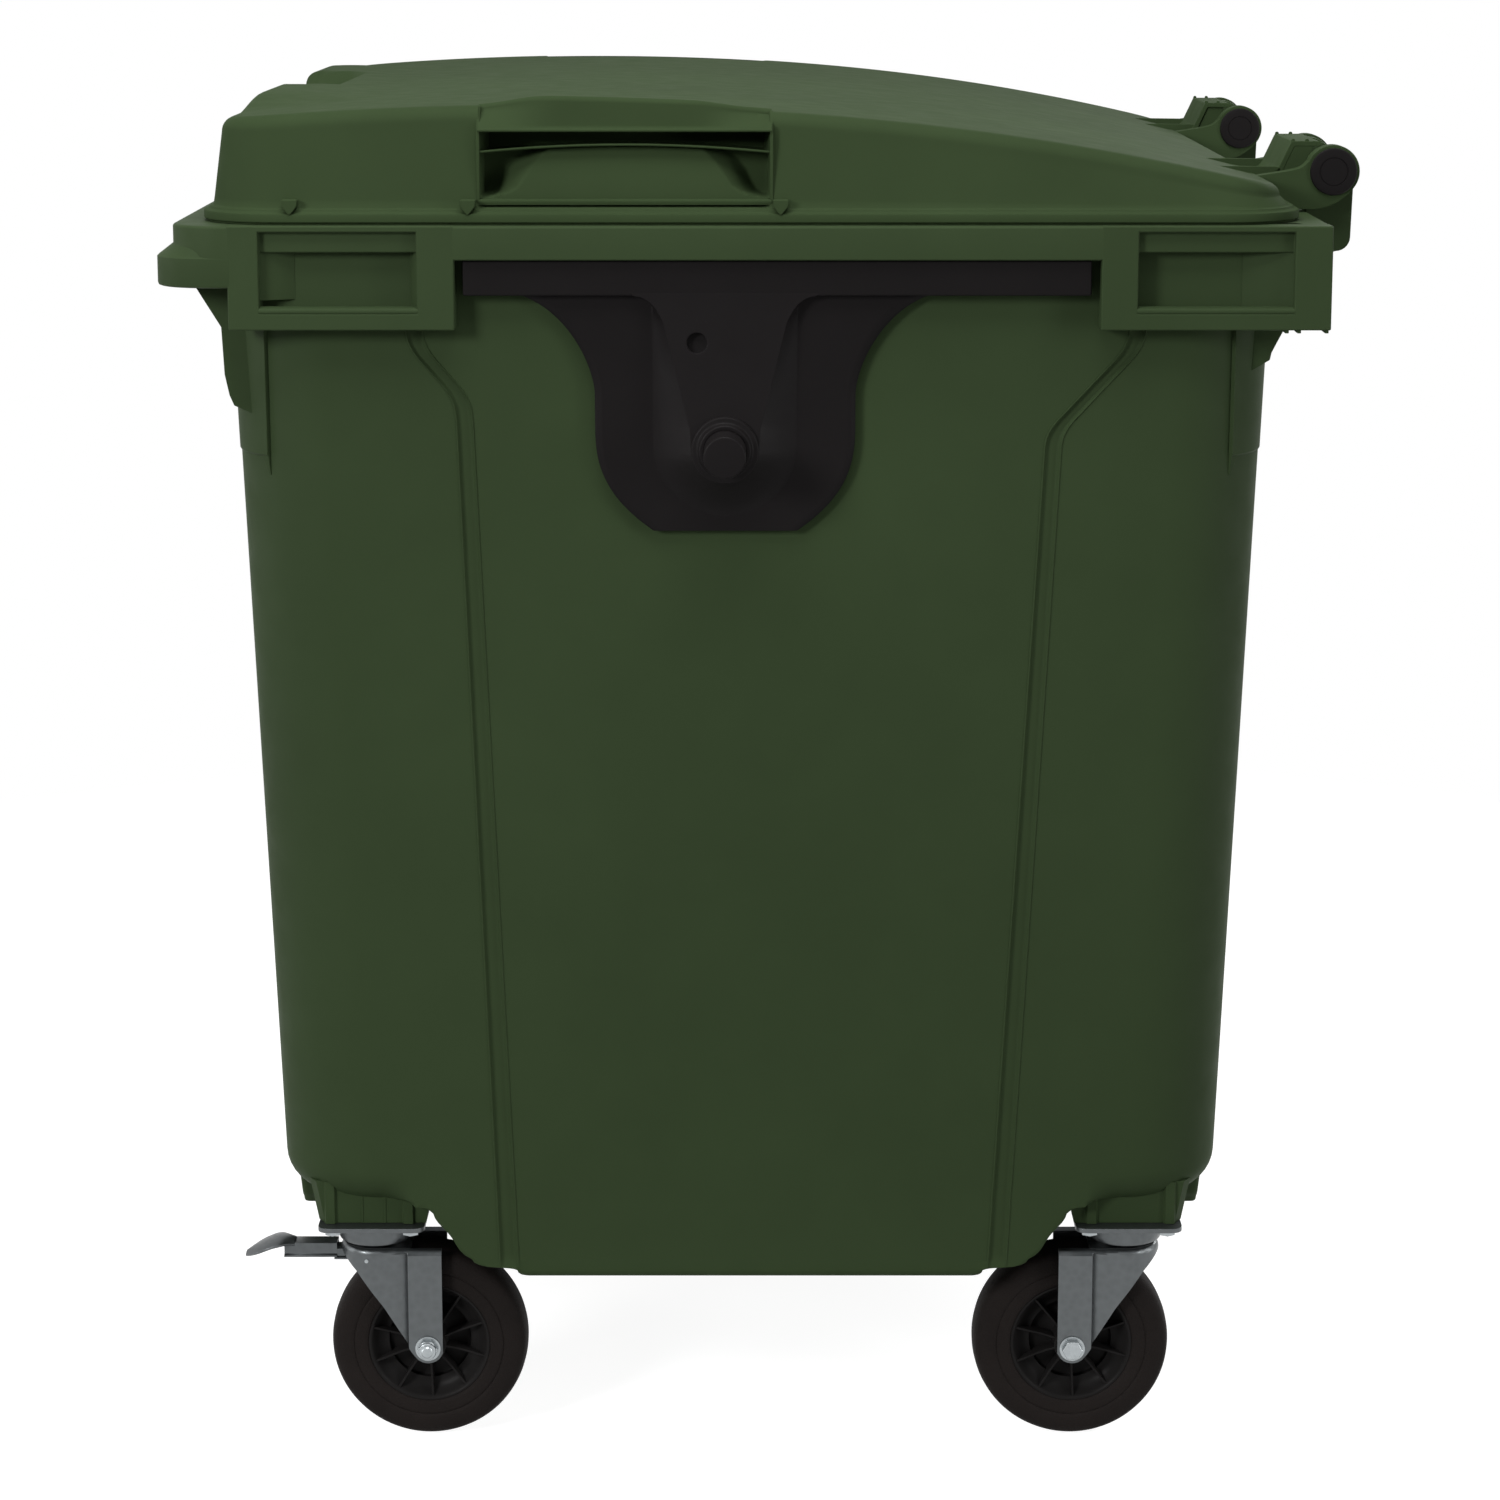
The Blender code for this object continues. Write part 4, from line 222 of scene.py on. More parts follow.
def piece(name, parts, look, body, slot, replaces=(), bevel=0.0, segments=2, wall=0.0, sharp=32, weld=1e-5,
          closed=True, offset=-1.0):
    """A finished object from (points, faces) parts, riding on a body. Its slot is not used."""
    points, faces, start = [], [], 0
    for part_points, part_faces in parts:
        points.append(part_points)
        faces += [[start + i for i in face] for face in part_faces]
        start += len(part_points)
    points = np.concatenate(points)
    points[:, 1] -= MIDDLE_Y
    mesh = bpy.data.meshes.new(name)
    mesh.from_pydata(points.tolist(), [], faces)
    bm = bmesh.new()
    bm.from_mesh(mesh)
    bmesh.ops.remove_doubles(bm, verts=bm.verts, dist=weld)
    bmesh.ops.dissolve_degenerate(bm, edges=bm.edges, dist=weld)
    if closed:
        bmesh.ops.recalc_face_normals(bm, faces=bm.faces)
    bm.to_mesh(mesh)
    bm.free()
    mesh.shade_smooth()
    mesh.set_sharp_from_angle(angle=radians(sharp))
    mesh.materials.append(look)
    made = bpy.data.objects.new(name, mesh)
    bpy.context.scene.collection.objects.link(made)
    if wall:
        step = made.modifiers.new("wall", "SOLIDIFY")
        step.thickness = wall
        step.offset = offset
        step.use_even_offset = True
    if bevel:
        step = made.modifiers.new("edges", "BEVEL")
        step.width = bevel
        step.segments = segments
        step.limit_method = "ANGLE"
        step.angle_limit = radians(30)
        step.harden_normals = True
    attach(made, body)
    if replaces:
        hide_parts(*replaces)
    return made


# Finishes


def new_material(name):
    """A node material, its tree and its Principled shader."""
    made = bpy.data.materials.new(name)
    made.use_nodes = True
    tree = made.node_tree
    return made, tree, tree.nodes["Principled BSDF"]


def noise(tree, place, scale, detail=3.0, rough=0.5):
    """A noise pattern's grey value at a place."""
    node = tree.nodes.new("ShaderNodeTexNoise")
    node.inputs["Scale"].default_value = scale
    node.inputs["Detail"].default_value = detail
    node.inputs["Roughness"].default_value = rough
    tree.links.new(place, node.inputs["Vector"])
    return node.outputs["Fac"]


def spread(tree, value, low, high, start=0.3, end=0.7):
    """A value carried from the range start to end into the range low to high."""
    node = tree.nodes.new("ShaderNodeMapRange")
    for socket, number in zip(("From Min", "From Max", "To Min", "To Max"), (start, end, low, high)):
        node.inputs[socket].default_value = number
    tree.links.new(value, node.inputs["Value"])
    return node.outputs["Result"]


def blend_colours(tree, value, first, second):
    """A colour between two, led by a grey value."""
    node = tree.nodes.new("ShaderNodeMix")
    node.data_type = "RGBA"
    node.inputs["A"].default_value = first
    node.inputs["B"].default_value = second
    tree.links.new(value, node.inputs["Factor"])
    return node.outputs["Result"]


def tint(colour, share):
    """A colour made lighter or darker by a share of itself."""
    return (*[min(1.0, c * share) for c in colour[:3]], 1.0)


def bump(tree, shader, heights):
    """Bumps stacked one on the other, each from a height, its strength and its depth."""
    last = None
    for height, strength, depth in heights:
        node = tree.nodes.new("ShaderNodeBump")
        node.inputs["Strength"].default_value = strength
        node.inputs["Distance"].default_value = depth
        tree.links.new(height, node.inputs["Height"])
        if last:
            tree.links.new(last, node.inputs["Normal"])
        last = node.outputs["Normal"]
    tree.links.new(last, shader.inputs["Normal"])


def object_place(tree, scale=(1.0, 1.0, 1.0)):
    """The place on a piece in metres, stretched by a scale."""
    place = tree.nodes.new("ShaderNodeTexCoord").outputs["Object"]
    mapping = tree.nodes.new("ShaderNodeMapping")
    mapping.inputs["Scale"].default_value = scale
    tree.links.new(place, mapping.inputs["Vector"])
    return mapping.outputs["Vector"]


def moulded_plastic(
    name, colour, roughness=0.45, grain=1400.0, depth=0.00012, mottle=0.07, gloss_level=0.045
):
    """Moulded plastic: a faint cloudy tone, slow waves from the mould, a fine grain and a gloss that
    varies."""
    made, tree, shader = new_material(name)
    place = object_place(tree)
    cloud = noise(tree, place, 2.6, 4.0, 0.6)
    tone = spread(tree, cloud, 0.0, 1.0, 0.35, 0.65)
    shade = blend_colours(tree, tone, tint(colour, 1.0 - mottle), tint(colour, 1.0 + mottle))
    tree.links.new(shade, shader.inputs["Base Color"])
    patches = noise(tree, place, 34.0, 3.0, 0.6)
    gloss = spread(tree, patches, roughness - 0.05, roughness + 0.06)
    tree.links.new(gloss, shader.inputs["Roughness"])
    fine = noise(tree, place, grain, 2.0, 0.5)
    waves = noise(tree, place, 9.0, 2.0, 0.4)
    bump(tree, shader, ((waves, 0.05, 0.0010), (fine, 0.30, depth)))
    shader.inputs["Specular IOR Level"].default_value = gloss_level
    return made


def zinc_plate(name, colour, roughness=0.34):
    """Zinc plating: a metal whose crystals shift the tone, with drawn streaks and small dull spots."""
    made, tree, shader = new_material(name)
    place = object_place(tree)
    streaks = noise(tree, object_place(tree, (160.0, 160.0, 12.0)), 1.0, 3.0, 0.6)
    cell = tree.nodes.new("ShaderNodeTexVoronoi")
    cell.inputs["Scale"].default_value = 130.0
    tree.links.new(place, cell.inputs["Vector"])
    crystals = spread(tree, cell.outputs["Distance"], 0.0, 1.0, 0.1, 0.9)
    shade = blend_colours(tree, crystals, tint(colour, 0.93), tint(colour, 1.07))
    tree.links.new(shade, shader.inputs["Base Color"])
    spots = noise(tree, place, 210.0, 4.0, 0.65)
    gloss = spread(tree, spots, roughness - 0.06, roughness + 0.10)
    tree.links.new(gloss, shader.inputs["Roughness"])
    bump(tree, shader, ((streaks, 0.12, 0.0002), (spots, 0.10, 0.00015)))
    shader.inputs["Metallic"].default_value = 0.92
    return made


def tyre_rubber(name, colour):
    """Solid rubber: a dull warm black with a pebbled grain and dusty patches."""
    made, tree, shader = new_material(name)
    place = object_place(tree)
    dust = noise(tree, place, 14.0, 5.0, 0.65)
    tone = spread(tree, dust, 0.0, 1.0, 0.35, 0.7)
    shade = blend_colours(tree, tone, tint(colour, 0.86), tint(colour, 1.18))
    tree.links.new(shade, shader.inputs["Base Color"])
    cell = tree.nodes.new("ShaderNodeTexVoronoi")
    cell.inputs["Scale"].default_value = 620.0
    tree.links.new(place, cell.inputs["Vector"])
    fine = noise(tree, place, 900.0, 3.0, 0.6)
    gloss = spread(tree, fine, 0.62, 0.80)
    tree.links.new(gloss, shader.inputs["Roughness"])
    bump(tree, shader, ((cell.outputs["Distance"], 0.7, 0.0005), (fine, 0.4, 0.0002)))
    shader.inputs["Specular IOR Level"].default_value = 0.08
    return made


# Sizes and colours that a user would change


def colour_setting(name, about, default):
    """A colour in the sidebar."""
    return bpy.props.FloatVectorProperty(
        name=name, description=about, subtype="COLOR", size=4, min=0.0, max=1.0, default=default
    )


def length_setting(name, about, default, low, high):
    """A length in the sidebar, in metres."""
    return bpy.props.FloatProperty(
        name=name, description=about, default=default, min=low, max=high, unit="LENGTH"
    )


def power_setting(name, about, default):
    """A lamp's power in the sidebar, in watts."""
    return bpy.props.FloatProperty(name=name, description=about, default=default, min=0.0, unit="POWER")


class ContainerColours(bpy.types.PropertyGroup):
    tub_green: colour_setting("Tub green", "Colour of the tub's plastic", (0.0310, 0.0490, 0.0210, 1.0))
    lid_green: colour_setting("Lid green", "Colour of the lid's plastic", (0.0310, 0.0490, 0.0210, 1.0))
    black: colour_setting("Bracket black", "Colour of brackets and hinge caps", (0.0088, 0.0078, 0.0080, 1.0))
    rubber: colour_setting("Tyre rubber", "Colour of the tyres", (0.0112, 0.0088, 0.0080, 1.0))
    wheel_black: colour_setting("Wheel black", "Colour of the wheel centres", (0.0120, 0.0112, 0.0110, 1.0))
    zinc: colour_setting("Zinc", "Colour of the zinc-plated steel", (0.092, 0.099, 0.102, 1.0))


class TubSizes(bpy.types.PropertyGroup):
    groove_depth: length_setting("Groove depth", "Depth of the side walls' channels", 0.0028, 0.0, 0.006)
    rim_edge: length_setting("Rim edge", "Rounding of the rim's edges", 0.0028, 0.0005, 0.006)
    block_edge: length_setting("Block edge", "Rounding of the side blocks' edges", 0.0015, 0.0003, 0.004)


class LidSizes(bpy.types.PropertyGroup):
    edge_radius: length_setting("Edge radius", "Rounding between the lid's wall and top", 0.015, 0.006, 0.04)
    brow_rise: length_setting("Brow rise", "Height of the raised front edge", 0.012, 0.0, 0.02)
    recess_depth: length_setting("Recess depth", "Depth of the front grip recess", 0.014, 0.0, 0.03)
    grip_depth: length_setting("Grip depth", "Depth of the side grips' pans", 0.034, 0.01, 0.05)


class WheelSizes(bpy.types.PropertyGroup):
    segments: bpy.props.IntProperty(
        name="Segments", description="Facets round a wheel", default=72, min=24, max=160
    )
    fins: bpy.props.IntProperty(name="Fins", description="Fins in a wheel centre", default=10, min=4, max=16)
    fin_thickness: length_setting("Fin thickness", "Thickness of a wheel's fins", 0.0022, 0.001, 0.005)


class StageSettings(bpy.types.PropertyGroup):
    floor: colour_setting("Floor", "Colour of the floor", (0.40, 0.40, 0.40, 1.0))
    floor_glow: bpy.props.FloatProperty(
        name="Floor glow", description="How much the floor is lifted towards white where it is seen directly",
        default=0.92, min=0.0, max=1.0,
    )
    key_power: power_setting("Key light", "Power of the light from the left in front", 138.0)
    side_power: power_setting("Right light", "Power of the light from the right", 48.0)
    top_power: power_setting("Top light", "Power of the light above", 88.0)
    fill_power: power_setting("Left light", "Power of the light from the left", 5.0)
    far_power: power_setting("Far light", "Power of the light behind the far rear corner", 105.0)
    strip_power: power_setting("Strip lights", "Power of the two strips that light no matt surface", 30.0)
    world_strength: bpy.props.FloatProperty(
        name="Sky", description="Strength of the even light from all round", default=0.13, min=0.0
    )
    lens: bpy.props.FloatProperty(
        name="Lens", description="Focal length of the camera", default=89.6, min=20.0, unit="CAMERA"
    )


def looks():
    """The shared finishes, made once and then found by name."""
    colours = bpy.context.scene.container_colours
    if "tub green plastic" not in bpy.data.materials:
        moulded_plastic("tub green plastic", tuple(colours.tub_green), 0.60)
        moulded_plastic("lid green plastic", tuple(colours.lid_green), 0.72, gloss_level=0.018)
        moulded_plastic("bracket black plastic", tuple(colours.black), 0.42, 1100.0, 0.00015, 0.10)
        moulded_plastic("wheel black plastic", tuple(colours.wheel_black), 0.40, 1500.0, 0.0001, 0.10)
        zinc_plate("zinc plate", tuple(colours.zinc))
        zinc_plate("bright steel", tint(tuple(colours.zinc), 3.4), 0.30)
        tyre_rubber("tyre rubber", tuple(colours.rubber))
    return bpy.data.materials


def tub_piece(name, parts, **shaping):
    """A piece of the tub's green plastic."""
    return piece(name, parts, looks()["tub green plastic"], "container", "tub_green", ("tub",), **shaping)


def lid_piece(name, parts, **shaping):
    """A piece of the lid's green plastic, which swings with the lid."""
    return piece(name, parts, looks()["lid green plastic"], "lid", "lid_green", ("lid",), **shaping)


def bracket_piece(name, parts, side, **shaping):
    """A piece of the black bracket on one side."""
    black = looks()["bracket black plastic"]
    return piece(name, parts, black, "container", "black_plastic", (f"trunnion_plate_{side}",), **shaping)


def metal_piece(name, parts, slot, body, *nodes, **shaping):
    """A piece of plated sheet or bright steel, by its slot."""
    look = looks()[{"zinc": "zinc plate", "steel": "bright steel"}[slot]]
    return piece(name, parts, look, body, slot, nodes, **shaping)


def half_x_at(z):
    """Half of the tub's size from side to side at a height: the walls lean outwards evenly."""
    return WALL_TOP_HALF_X - (RIM_TOP - z) * SLOPE


def half_y_at(z):
    """Half of the tub's size from front to rear at a height, with the same lean."""
    return WALL_TOP_HALF_Y - (RIM_TOP - z) * SLOPE


# Tub

FILLET_COLS = 7
BAY_COLS = 46
END_COLS = 26
FILLET = 0.008
# Distances from a channel's edge, and shares of its depth there: a fine bead stands out before the wall falls
CHANNEL_ACROSS = (0.0, 0.0007, 0.0014, 0.0021, 0.0031, 0.0043, 0.0057, 0.0080, 0.0115)
CHANNEL_SUNK_SHARES = (0.0, -0.30, -0.48, -0.30, 0.16, 0.66, 0.96, 1.0, 1.0)
# Bends of the channels: their heights, and where their middles lie along the tub there
FRONT_CHANNEL_Z = (0.186, 1.060, 1.080, 1.128, 1.150)
FRONT_CHANNEL_Y = (-0.2405, -0.2718, -0.2745, -0.3165, -0.3195)
REAR_CHANNEL_Z = (0.186, 1.046, 1.1285, 1.150)
REAR_CHANNEL_Y = (0.2470, 0.2903, 0.3665, 0.3685)
CHANNEL_HALF = (0.0105, 0.0088)
CHANNEL_BEND = 0.012
# The wheel bays: radius at the foot, on the first rings above it, and at heights up to the ceiling
BAY_FOOT_R = 0.158
BAY_FOOT_TURN = 0.007
BAY_FOOT_RINGS = ((0.1948, 0.1535), (0.1956, 0.1490), (0.1962, 0.1420), (0.1966, 0.1380))
BAY_HEIGHTS = (0.1966, 0.206, 0.216, 0.234, 0.251)
BAY_RADII = (0.1380, 0.1160, 0.1075, 0.0990, 0.0905)
BAY_STEP = 0.008
BAY_STEP_OUT = 0.019
BAY_CEILING_TURN = 0.012
BAY_CEILING_Z = 0.249
BAY_TOP_R = 0.0805
BELLY_DROP = 0.006
RIM_COLUMN_Y = 0.480
RIM_CORNER_R = (0.007, 0.046)
RIM_CORNER_INSIDE_R = (0.004, 0.040)
BLOCK_RECESS = 0.034
# The side blocks and their openings along the tub, and the heights where their faces step
BLOCK_SPANS = ((-0.491, -0.278), (0.3305, 0.5472))
OPENING_SPANS = ((-0.4615, -0.3130), (0.365, 0.512))
BLOCK_LINES_Z = (1.147, 1.1628, 1.2197, 1.2393, 1.2451)
BLOCK_BACK_X = 0.5945
OPENING_DEPTH = 0.0225
BAND_DEPTH = 0.0075
OPENING_EASE = 0.008
# How far a piece on an end wall reaches in where the corner curves away, and where the corner posts start
CORNER_REACH = 0.0215
POST_START_Y = 0.460
POST_FOOT_Z = 1.020
POST_TOP_Z = 1.219
POST_PROUD = 0.0050
COMB_START_Y = -0.489
COMB_OUT = 0.0155
COMB_RIB_THICK = 0.005
COMB_FIRST_X = -0.560
COMB_RIB_PITCH = 0.14
COMB_RIB_COUNT = 9
LUG_SPANS = ((0.4205, 0.4385), (0.2775, 0.2955))
HINGE_X = 0.358
DRAIN_Y = -0.120


def bay_start(radius, half_x):
    """Where a bay's circle about the swivel axis meets the side wall, along the tub."""
    return SWIVEL_Y - sqrt(radius**2 - (half_x - SWIVEL_X) ** 2)


def plain_corner(half_x, half_y, radius, start_y, start_x):
    """A rounded corner in plan: along the side wall, round a quarter circle and along the end wall."""
    first = np.linspace(start_y - FILLET, start_y + FILLET, FILLET_COLS)
    side = np.linspace(start_y + FILLET, half_y - radius, 13)[1:]
    bend = arc((half_x - radius, half_y - radius), radius, 0.0, pi / 2, BAY_COLS - 22)[1:-1]
    end = np.linspace(half_x - radius, start_x + FILLET, 13)[:-1]
    last = np.linspace(start_x + FILLET, start_x - FILLET, FILLET_COLS)
    xs = np.concatenate((np.full(len(first) + len(side), half_x), bend[:, 0], end, last))
    ys = np.concatenate((first, side, bend[:, 1], np.full(len(end) + len(last), half_y)))
    return np.stack((xs, ys), axis=-1)


def bay_corner(half_x, half_y, radius):
    """A wheel bay in plan: a circle about the swivel axis from the side wall, then straight to the end wall,
    with a quadratic curve where it meets each wall."""
    start_y = bay_start(radius, half_x)
    start_x = SWIVEL_X - radius
    t = np.linspace(0.0, 1.0, FILLET_COLS)[:, None]
    first_turn = -np.arccos((half_x - SWIVEL_X) / radius)
    skip = FILLET / radius
    arc_length = (pi + first_turn - skip) * radius
    straight = half_y - SWIVEL_Y - FILLET
    along = np.linspace(0.0, arc_length + straight, BAY_COLS)
    turn = first_turn - skip - np.minimum(along, arc_length) / radius
    past = np.maximum(along - arc_length, 0.0)
    bay = np.stack((SWIVEL_X + radius * np.cos(turn), SWIVEL_Y + radius * np.sin(turn) + past), axis=-1)

    def bend(before, corner, after):
        return (1 - t) ** 2 * np.array(before) + 2 * t * (1 - t) * np.array(corner) + t**2 * np.array(after)

    first = bend((half_x, start_y - FILLET), (half_x, start_y), bay[0])
    last = bend(bay[-1], (start_x, half_y), (start_x - FILLET, half_y))
    return np.concatenate((first, bay, last))


def side_columns(z, low, high, depth):
    """Y and depth of the side wall's columns at a height. The columns follow the edges of the two channels,
    which are straight lines in z with bends softened by a running mean, and the depth eases across each
    one."""
    around = z + np.linspace(-CHANNEL_BEND, CHANNEL_BEND, 9)
    front = np.interp(around, FRONT_CHANNEL_Z, FRONT_CHANNEL_Y).mean()
    rear = np.interp(around, REAR_CHANNEL_Z, REAR_CHANNEL_Y).mean()
    half = float(np.interp(z, (BELLY_Z, FRONT_CHANNEL_Z[2]), CHANNEL_HALF))
    keys = np.array((low, front - half, front + half, rear - half, rear + half, high))
    margin = np.arange(6) * 1e-4
    keys = np.clip(keys, low + margin, high - margin[::-1])
    near = np.array(CHANNEL_ACROSS) / (2 * CHANNEL_ACROSS[-1])
    channel = np.concatenate((near, 1.0 - near[:0:-1]))
    sunk = np.array(CHANNEL_SUNK_SHARES) * depth
    channel_depth = np.concatenate((sunk, sunk[:0:-1]))
    plain = [np.linspace(0.0, 1.0, count, endpoint=False) for count in (8, 34, 10)]
    parts, depths = [], []
    for k, share in enumerate((plain[0], channel, plain[1], channel, plain[2])):
        parts.append(keys[k] + (keys[k + 1] - keys[k]) * share)
        depths.append(channel_depth if k in (1, 3) else np.zeros(len(share)))
    fade = smooth((z - 0.190) / 0.02)
    return np.concatenate(parts)[1:], np.concatenate(depths)[1:] * fade


def tub_ring(rear, front, z_rear, z_front, side_x, side_y, side_z, end_x, end_y):
    """A full ring: right side wall, rear right corner, rear wall, rear left corner, left side wall, front
    left corner, front wall and front right corner, going round from the front of the right side."""
    def corner(points, z, sx, sy, back):
        ring = np.stack((points[:, 0] * sx, points[:, 1] * sy, z), axis=-1)
        return ring[::-1] if back else ring

    side = np.stack((side_x, side_y, side_z), axis=-1)
    mirrored = side[::-1] * np.array((-1.0, 1.0, 1.0))

    def end_wall(x, y, z):
        return np.stack(np.broadcast_arrays(x, y, z), axis=-1)

    return np.concatenate((
        side,
        corner(rear, z_rear, 1, 1, False),
        end_wall(end_x, end_y, z_rear[-1]),
        corner(rear, z_rear, -1, 1, True),
        mirrored,
        corner(front, z_front, -1, -1, False),
        end_wall(end_x[::-1], -end_y, z_front[-1]),
        corner(front, z_front, 1, -1, True),
    ))


def bay_ring(z, radius, inset, shrink=0.0):
    """A ring low on the tub, whose corners are wheel bays. Shrink draws the outline in as the foot rounds."""
    half_x = half_x_at(z) - inset - shrink
    half_y = half_y_at(z) - inset - shrink
    radius = radius + inset + shrink
    corner = bay_corner(half_x, half_y, radius)
    start_y = bay_start(radius, half_x) - FILLET
    start_x = SWIVEL_X - radius - FILLET
    depth = bpy.context.scene.tub_sizes.groove_depth
    side_y, sunk = side_columns(z, -start_y, start_y, depth)
    level = np.full(len(corner), z)
    ends = np.linspace(start_x, -start_x, END_COLS)[1:-1]
    return tub_ring(corner, corner, level, level, half_x - sunk, side_y, np.full_like(side_y, z), ends,
        half_y)


def plain_ring(z, inset=0.0, turn=0.0, drop=0.0, radii=None, half=None, rim=False, recess=0.0):
    """A ring higher up. Turn draws the corners in as the lower edge rounds, easing out where the bays
    start."""
    half_x, half_y = half or (half_x_at(z) - inset, half_y_at(z) - inset)
    rear_r, front_r = radii or (CORNER_R - inset, CORNER_R - inset)
    low_y = bay_start(BAY_TOP_R + inset, half_x_at(CEILING_Z) - inset)
    start_x = SWIVEL_X - BAY_TOP_R - inset
    rise = float(smooth((z - 0.30) / 0.65))
    start_y = low_y + (half_y_at(z) - CORNER_R - 0.016 - low_y) * rise
    if rim:
        start_y = RIM_COLUMN_Y

    def corner(radius):
        outer = plain_corner(half_x, half_y, radius, start_y, start_x)
        if not turn:
            return outer, np.full(len(outer), z)
        inner = plain_corner(half_x - turn, half_y - turn, max(radius - turn, 0.004), start_y, start_x)
        from_side = (outer[:, 1] - start_y) / EDGE_R
        from_end = (outer[:, 0] - start_x) / EDGE_R
        share = smooth(np.minimum(from_side, from_end))[:, None]
        return outer + (inner - outer) * share, z + drop * (1 - share[:, 0])

    rear, z_rear = corner(rear_r)
    front, z_front = corner(front_r)
    depth = 0.0 if rim else bpy.context.scene.tub_sizes.groove_depth
    side_y, sunk = side_columns(z, -start_y + FILLET, start_y - FILLET, depth)
    side_x = half_x - sunk
    if recess:
        side_x = side_x - pocket_share(side_y) * recess
        rear[:, 0] -= np.where(rear[:, 0] > half_x - 0.001, pocket_share(rear[:, 1]), 0.0) * recess
        front[:, 0] -= np.where(front[:, 0] > half_x - 0.001, pocket_share(-front[:, 1]), 0.0) * recess
    ends = np.linspace(start_x - FILLET, FILLET - start_x, END_COLS)[1:-1]
    side_z = np.full_like(side_y, z + drop)
    return tub_ring(rear, front, z_rear, z_front, side_x, side_y, side_z, ends, half_y)


def pocket_share(y):
    """One behind the side blocks' openings and nought beside them, with a soft step between."""
    front = np.minimum(smooth((y + 0.474) / OPENING_EASE), smooth((-0.301 - y) / OPENING_EASE))
    rear = np.minimum(smooth((y - 0.352) / OPENING_EASE), smooth((0.527 - y) / OPENING_EASE))
    return np.maximum(front, rear)


def tub_skin(inset):
    """Rings from the belly to below the rim. The bays' radius falls with height along a smooth line, and
    their feet, their ceilings and the tub's lower edge are quarter circles."""
    rings = []
    quarter = np.linspace(0.0, pi / 2, 5)
    foot = BAY_FOOT_TURN
    for turn in quarter:
        z = BELLY_Z + inset + foot * (1 - cos(turn))
        rings.append(bay_ring(z, BAY_FOOT_R, inset, foot * (1 - sin(turn))))
    for z, radius in BAY_FOOT_RINGS:
        rings.append(bay_ring(z + inset, radius, inset))
    fit = np.polyfit(BAY_HEIGHTS, BAY_RADII, 4)
    step_z = BAY_HEIGHTS[0] + BAY_STEP
    step_r = float(np.polyval(fit, step_z))
    for turn in quarter[1:]:
        z = BAY_HEIGHTS[0] + BAY_STEP * (1 - cos(turn))
        rings.append(bay_ring(z + inset, step_r + BAY_STEP_OUT * (1 - sin(turn)), inset))
    for z in np.linspace(step_z, BAY_CEILING_Z, 10)[1:]:
        rings.append(bay_ring(z + inset, float(np.polyval(fit, z)), inset))
    top_r = float(np.polyval(fit, BAY_CEILING_Z))
    for turn in quarter[1:]:
        z = BAY_CEILING_Z + BAY_CEILING_TURN * sin(turn)
        rings.append(bay_ring(z + inset, top_r - BAY_CEILING_TURN * (1 - cos(turn)), inset))
    turn_r = EDGE_R - inset
    for turn in np.linspace(0.0, pi / 2, 10):
        z = CEILING_Z + inset + turn_r * (1 - cos(turn))
        rings.append(plain_ring(z, inset, turn_r * (1 - sin(turn)), BELLY_DROP * cos(turn)))
    for low, high, count in ((0.304, 1.02, 24), (1.028, 1.152, 22), (1.160, 1.205, 4)):
        rings += [plain_ring(float(z), inset) for z in np.linspace(low, high, count)]
    return rings


def tub_shell():
    """The wall outside, the rim with its skirt, and the wall inside, as one closed skin."""
    sizes = bpy.context.scene.tub_sizes
    edge = sizes.rim_edge
    under = RIM_TOP - WALL
    rings = tub_skin(0.0)
    half = (half_x_at(under), half_y_at(under))
    rings.append(plain_ring(under, radii=(CORNER_R, CORNER_R), half=half, rim=True))
    outer = (RIM_HALF_X, RIM_HALF_Y)
    inner = (RIM_HALF_X - WALL, RIM_HALF_Y - WALL)
    small, square = RIM_CORNER_INSIDE_R, RIM_CORNER_R
    sunk = BLOCK_RECESS

    def rim_ring(z, half, radii, recess=sunk):
        rings.append(plain_ring(z, radii=radii, half=half, rim=True, recess=recess))

    rim_ring(under, inner, small, sunk - 0.01)
    rim_ring(SKIRT_BOTTOM_Z + 0.001, inner, small, sunk - 0.01)
    rim_ring(SKIRT_BOTTOM_Z, (inner[0] + 0.001, inner[1] + 0.001), small, sunk - 0.01)
    rim_ring(SKIRT_BOTTOM_Z, (outer[0] - 0.001, outer[1] - 0.001), square)
    rim_ring(SKIRT_BOTTOM_Z + 0.001, outer, square)
    for turn in np.linspace(0.0, pi / 2, 5):
        back = edge * (1 - cos(turn))
        rim_ring(RIM_TOP - edge + edge * sin(turn), (outer[0] - back, outer[1] - back), square)
    mouth = (WALL_TOP_HALF_X - WALL, WALL_TOP_HALF_Y - WALL)
    mouth_r = (CORNER_R - WALL, CORNER_R - WALL)
    for turn in np.linspace(0.0, pi / 2, 4):
        out = edge * (1 - sin(turn))
        z = RIM_TOP - edge * (1 - cos(turn))
        rings.append(plain_ring(z, radii=mouth_r, half=(mouth[0] + out, mouth[1] + out), rim=True))
    rings += tub_skin(WALL)[::-1]
    return loft(rings)


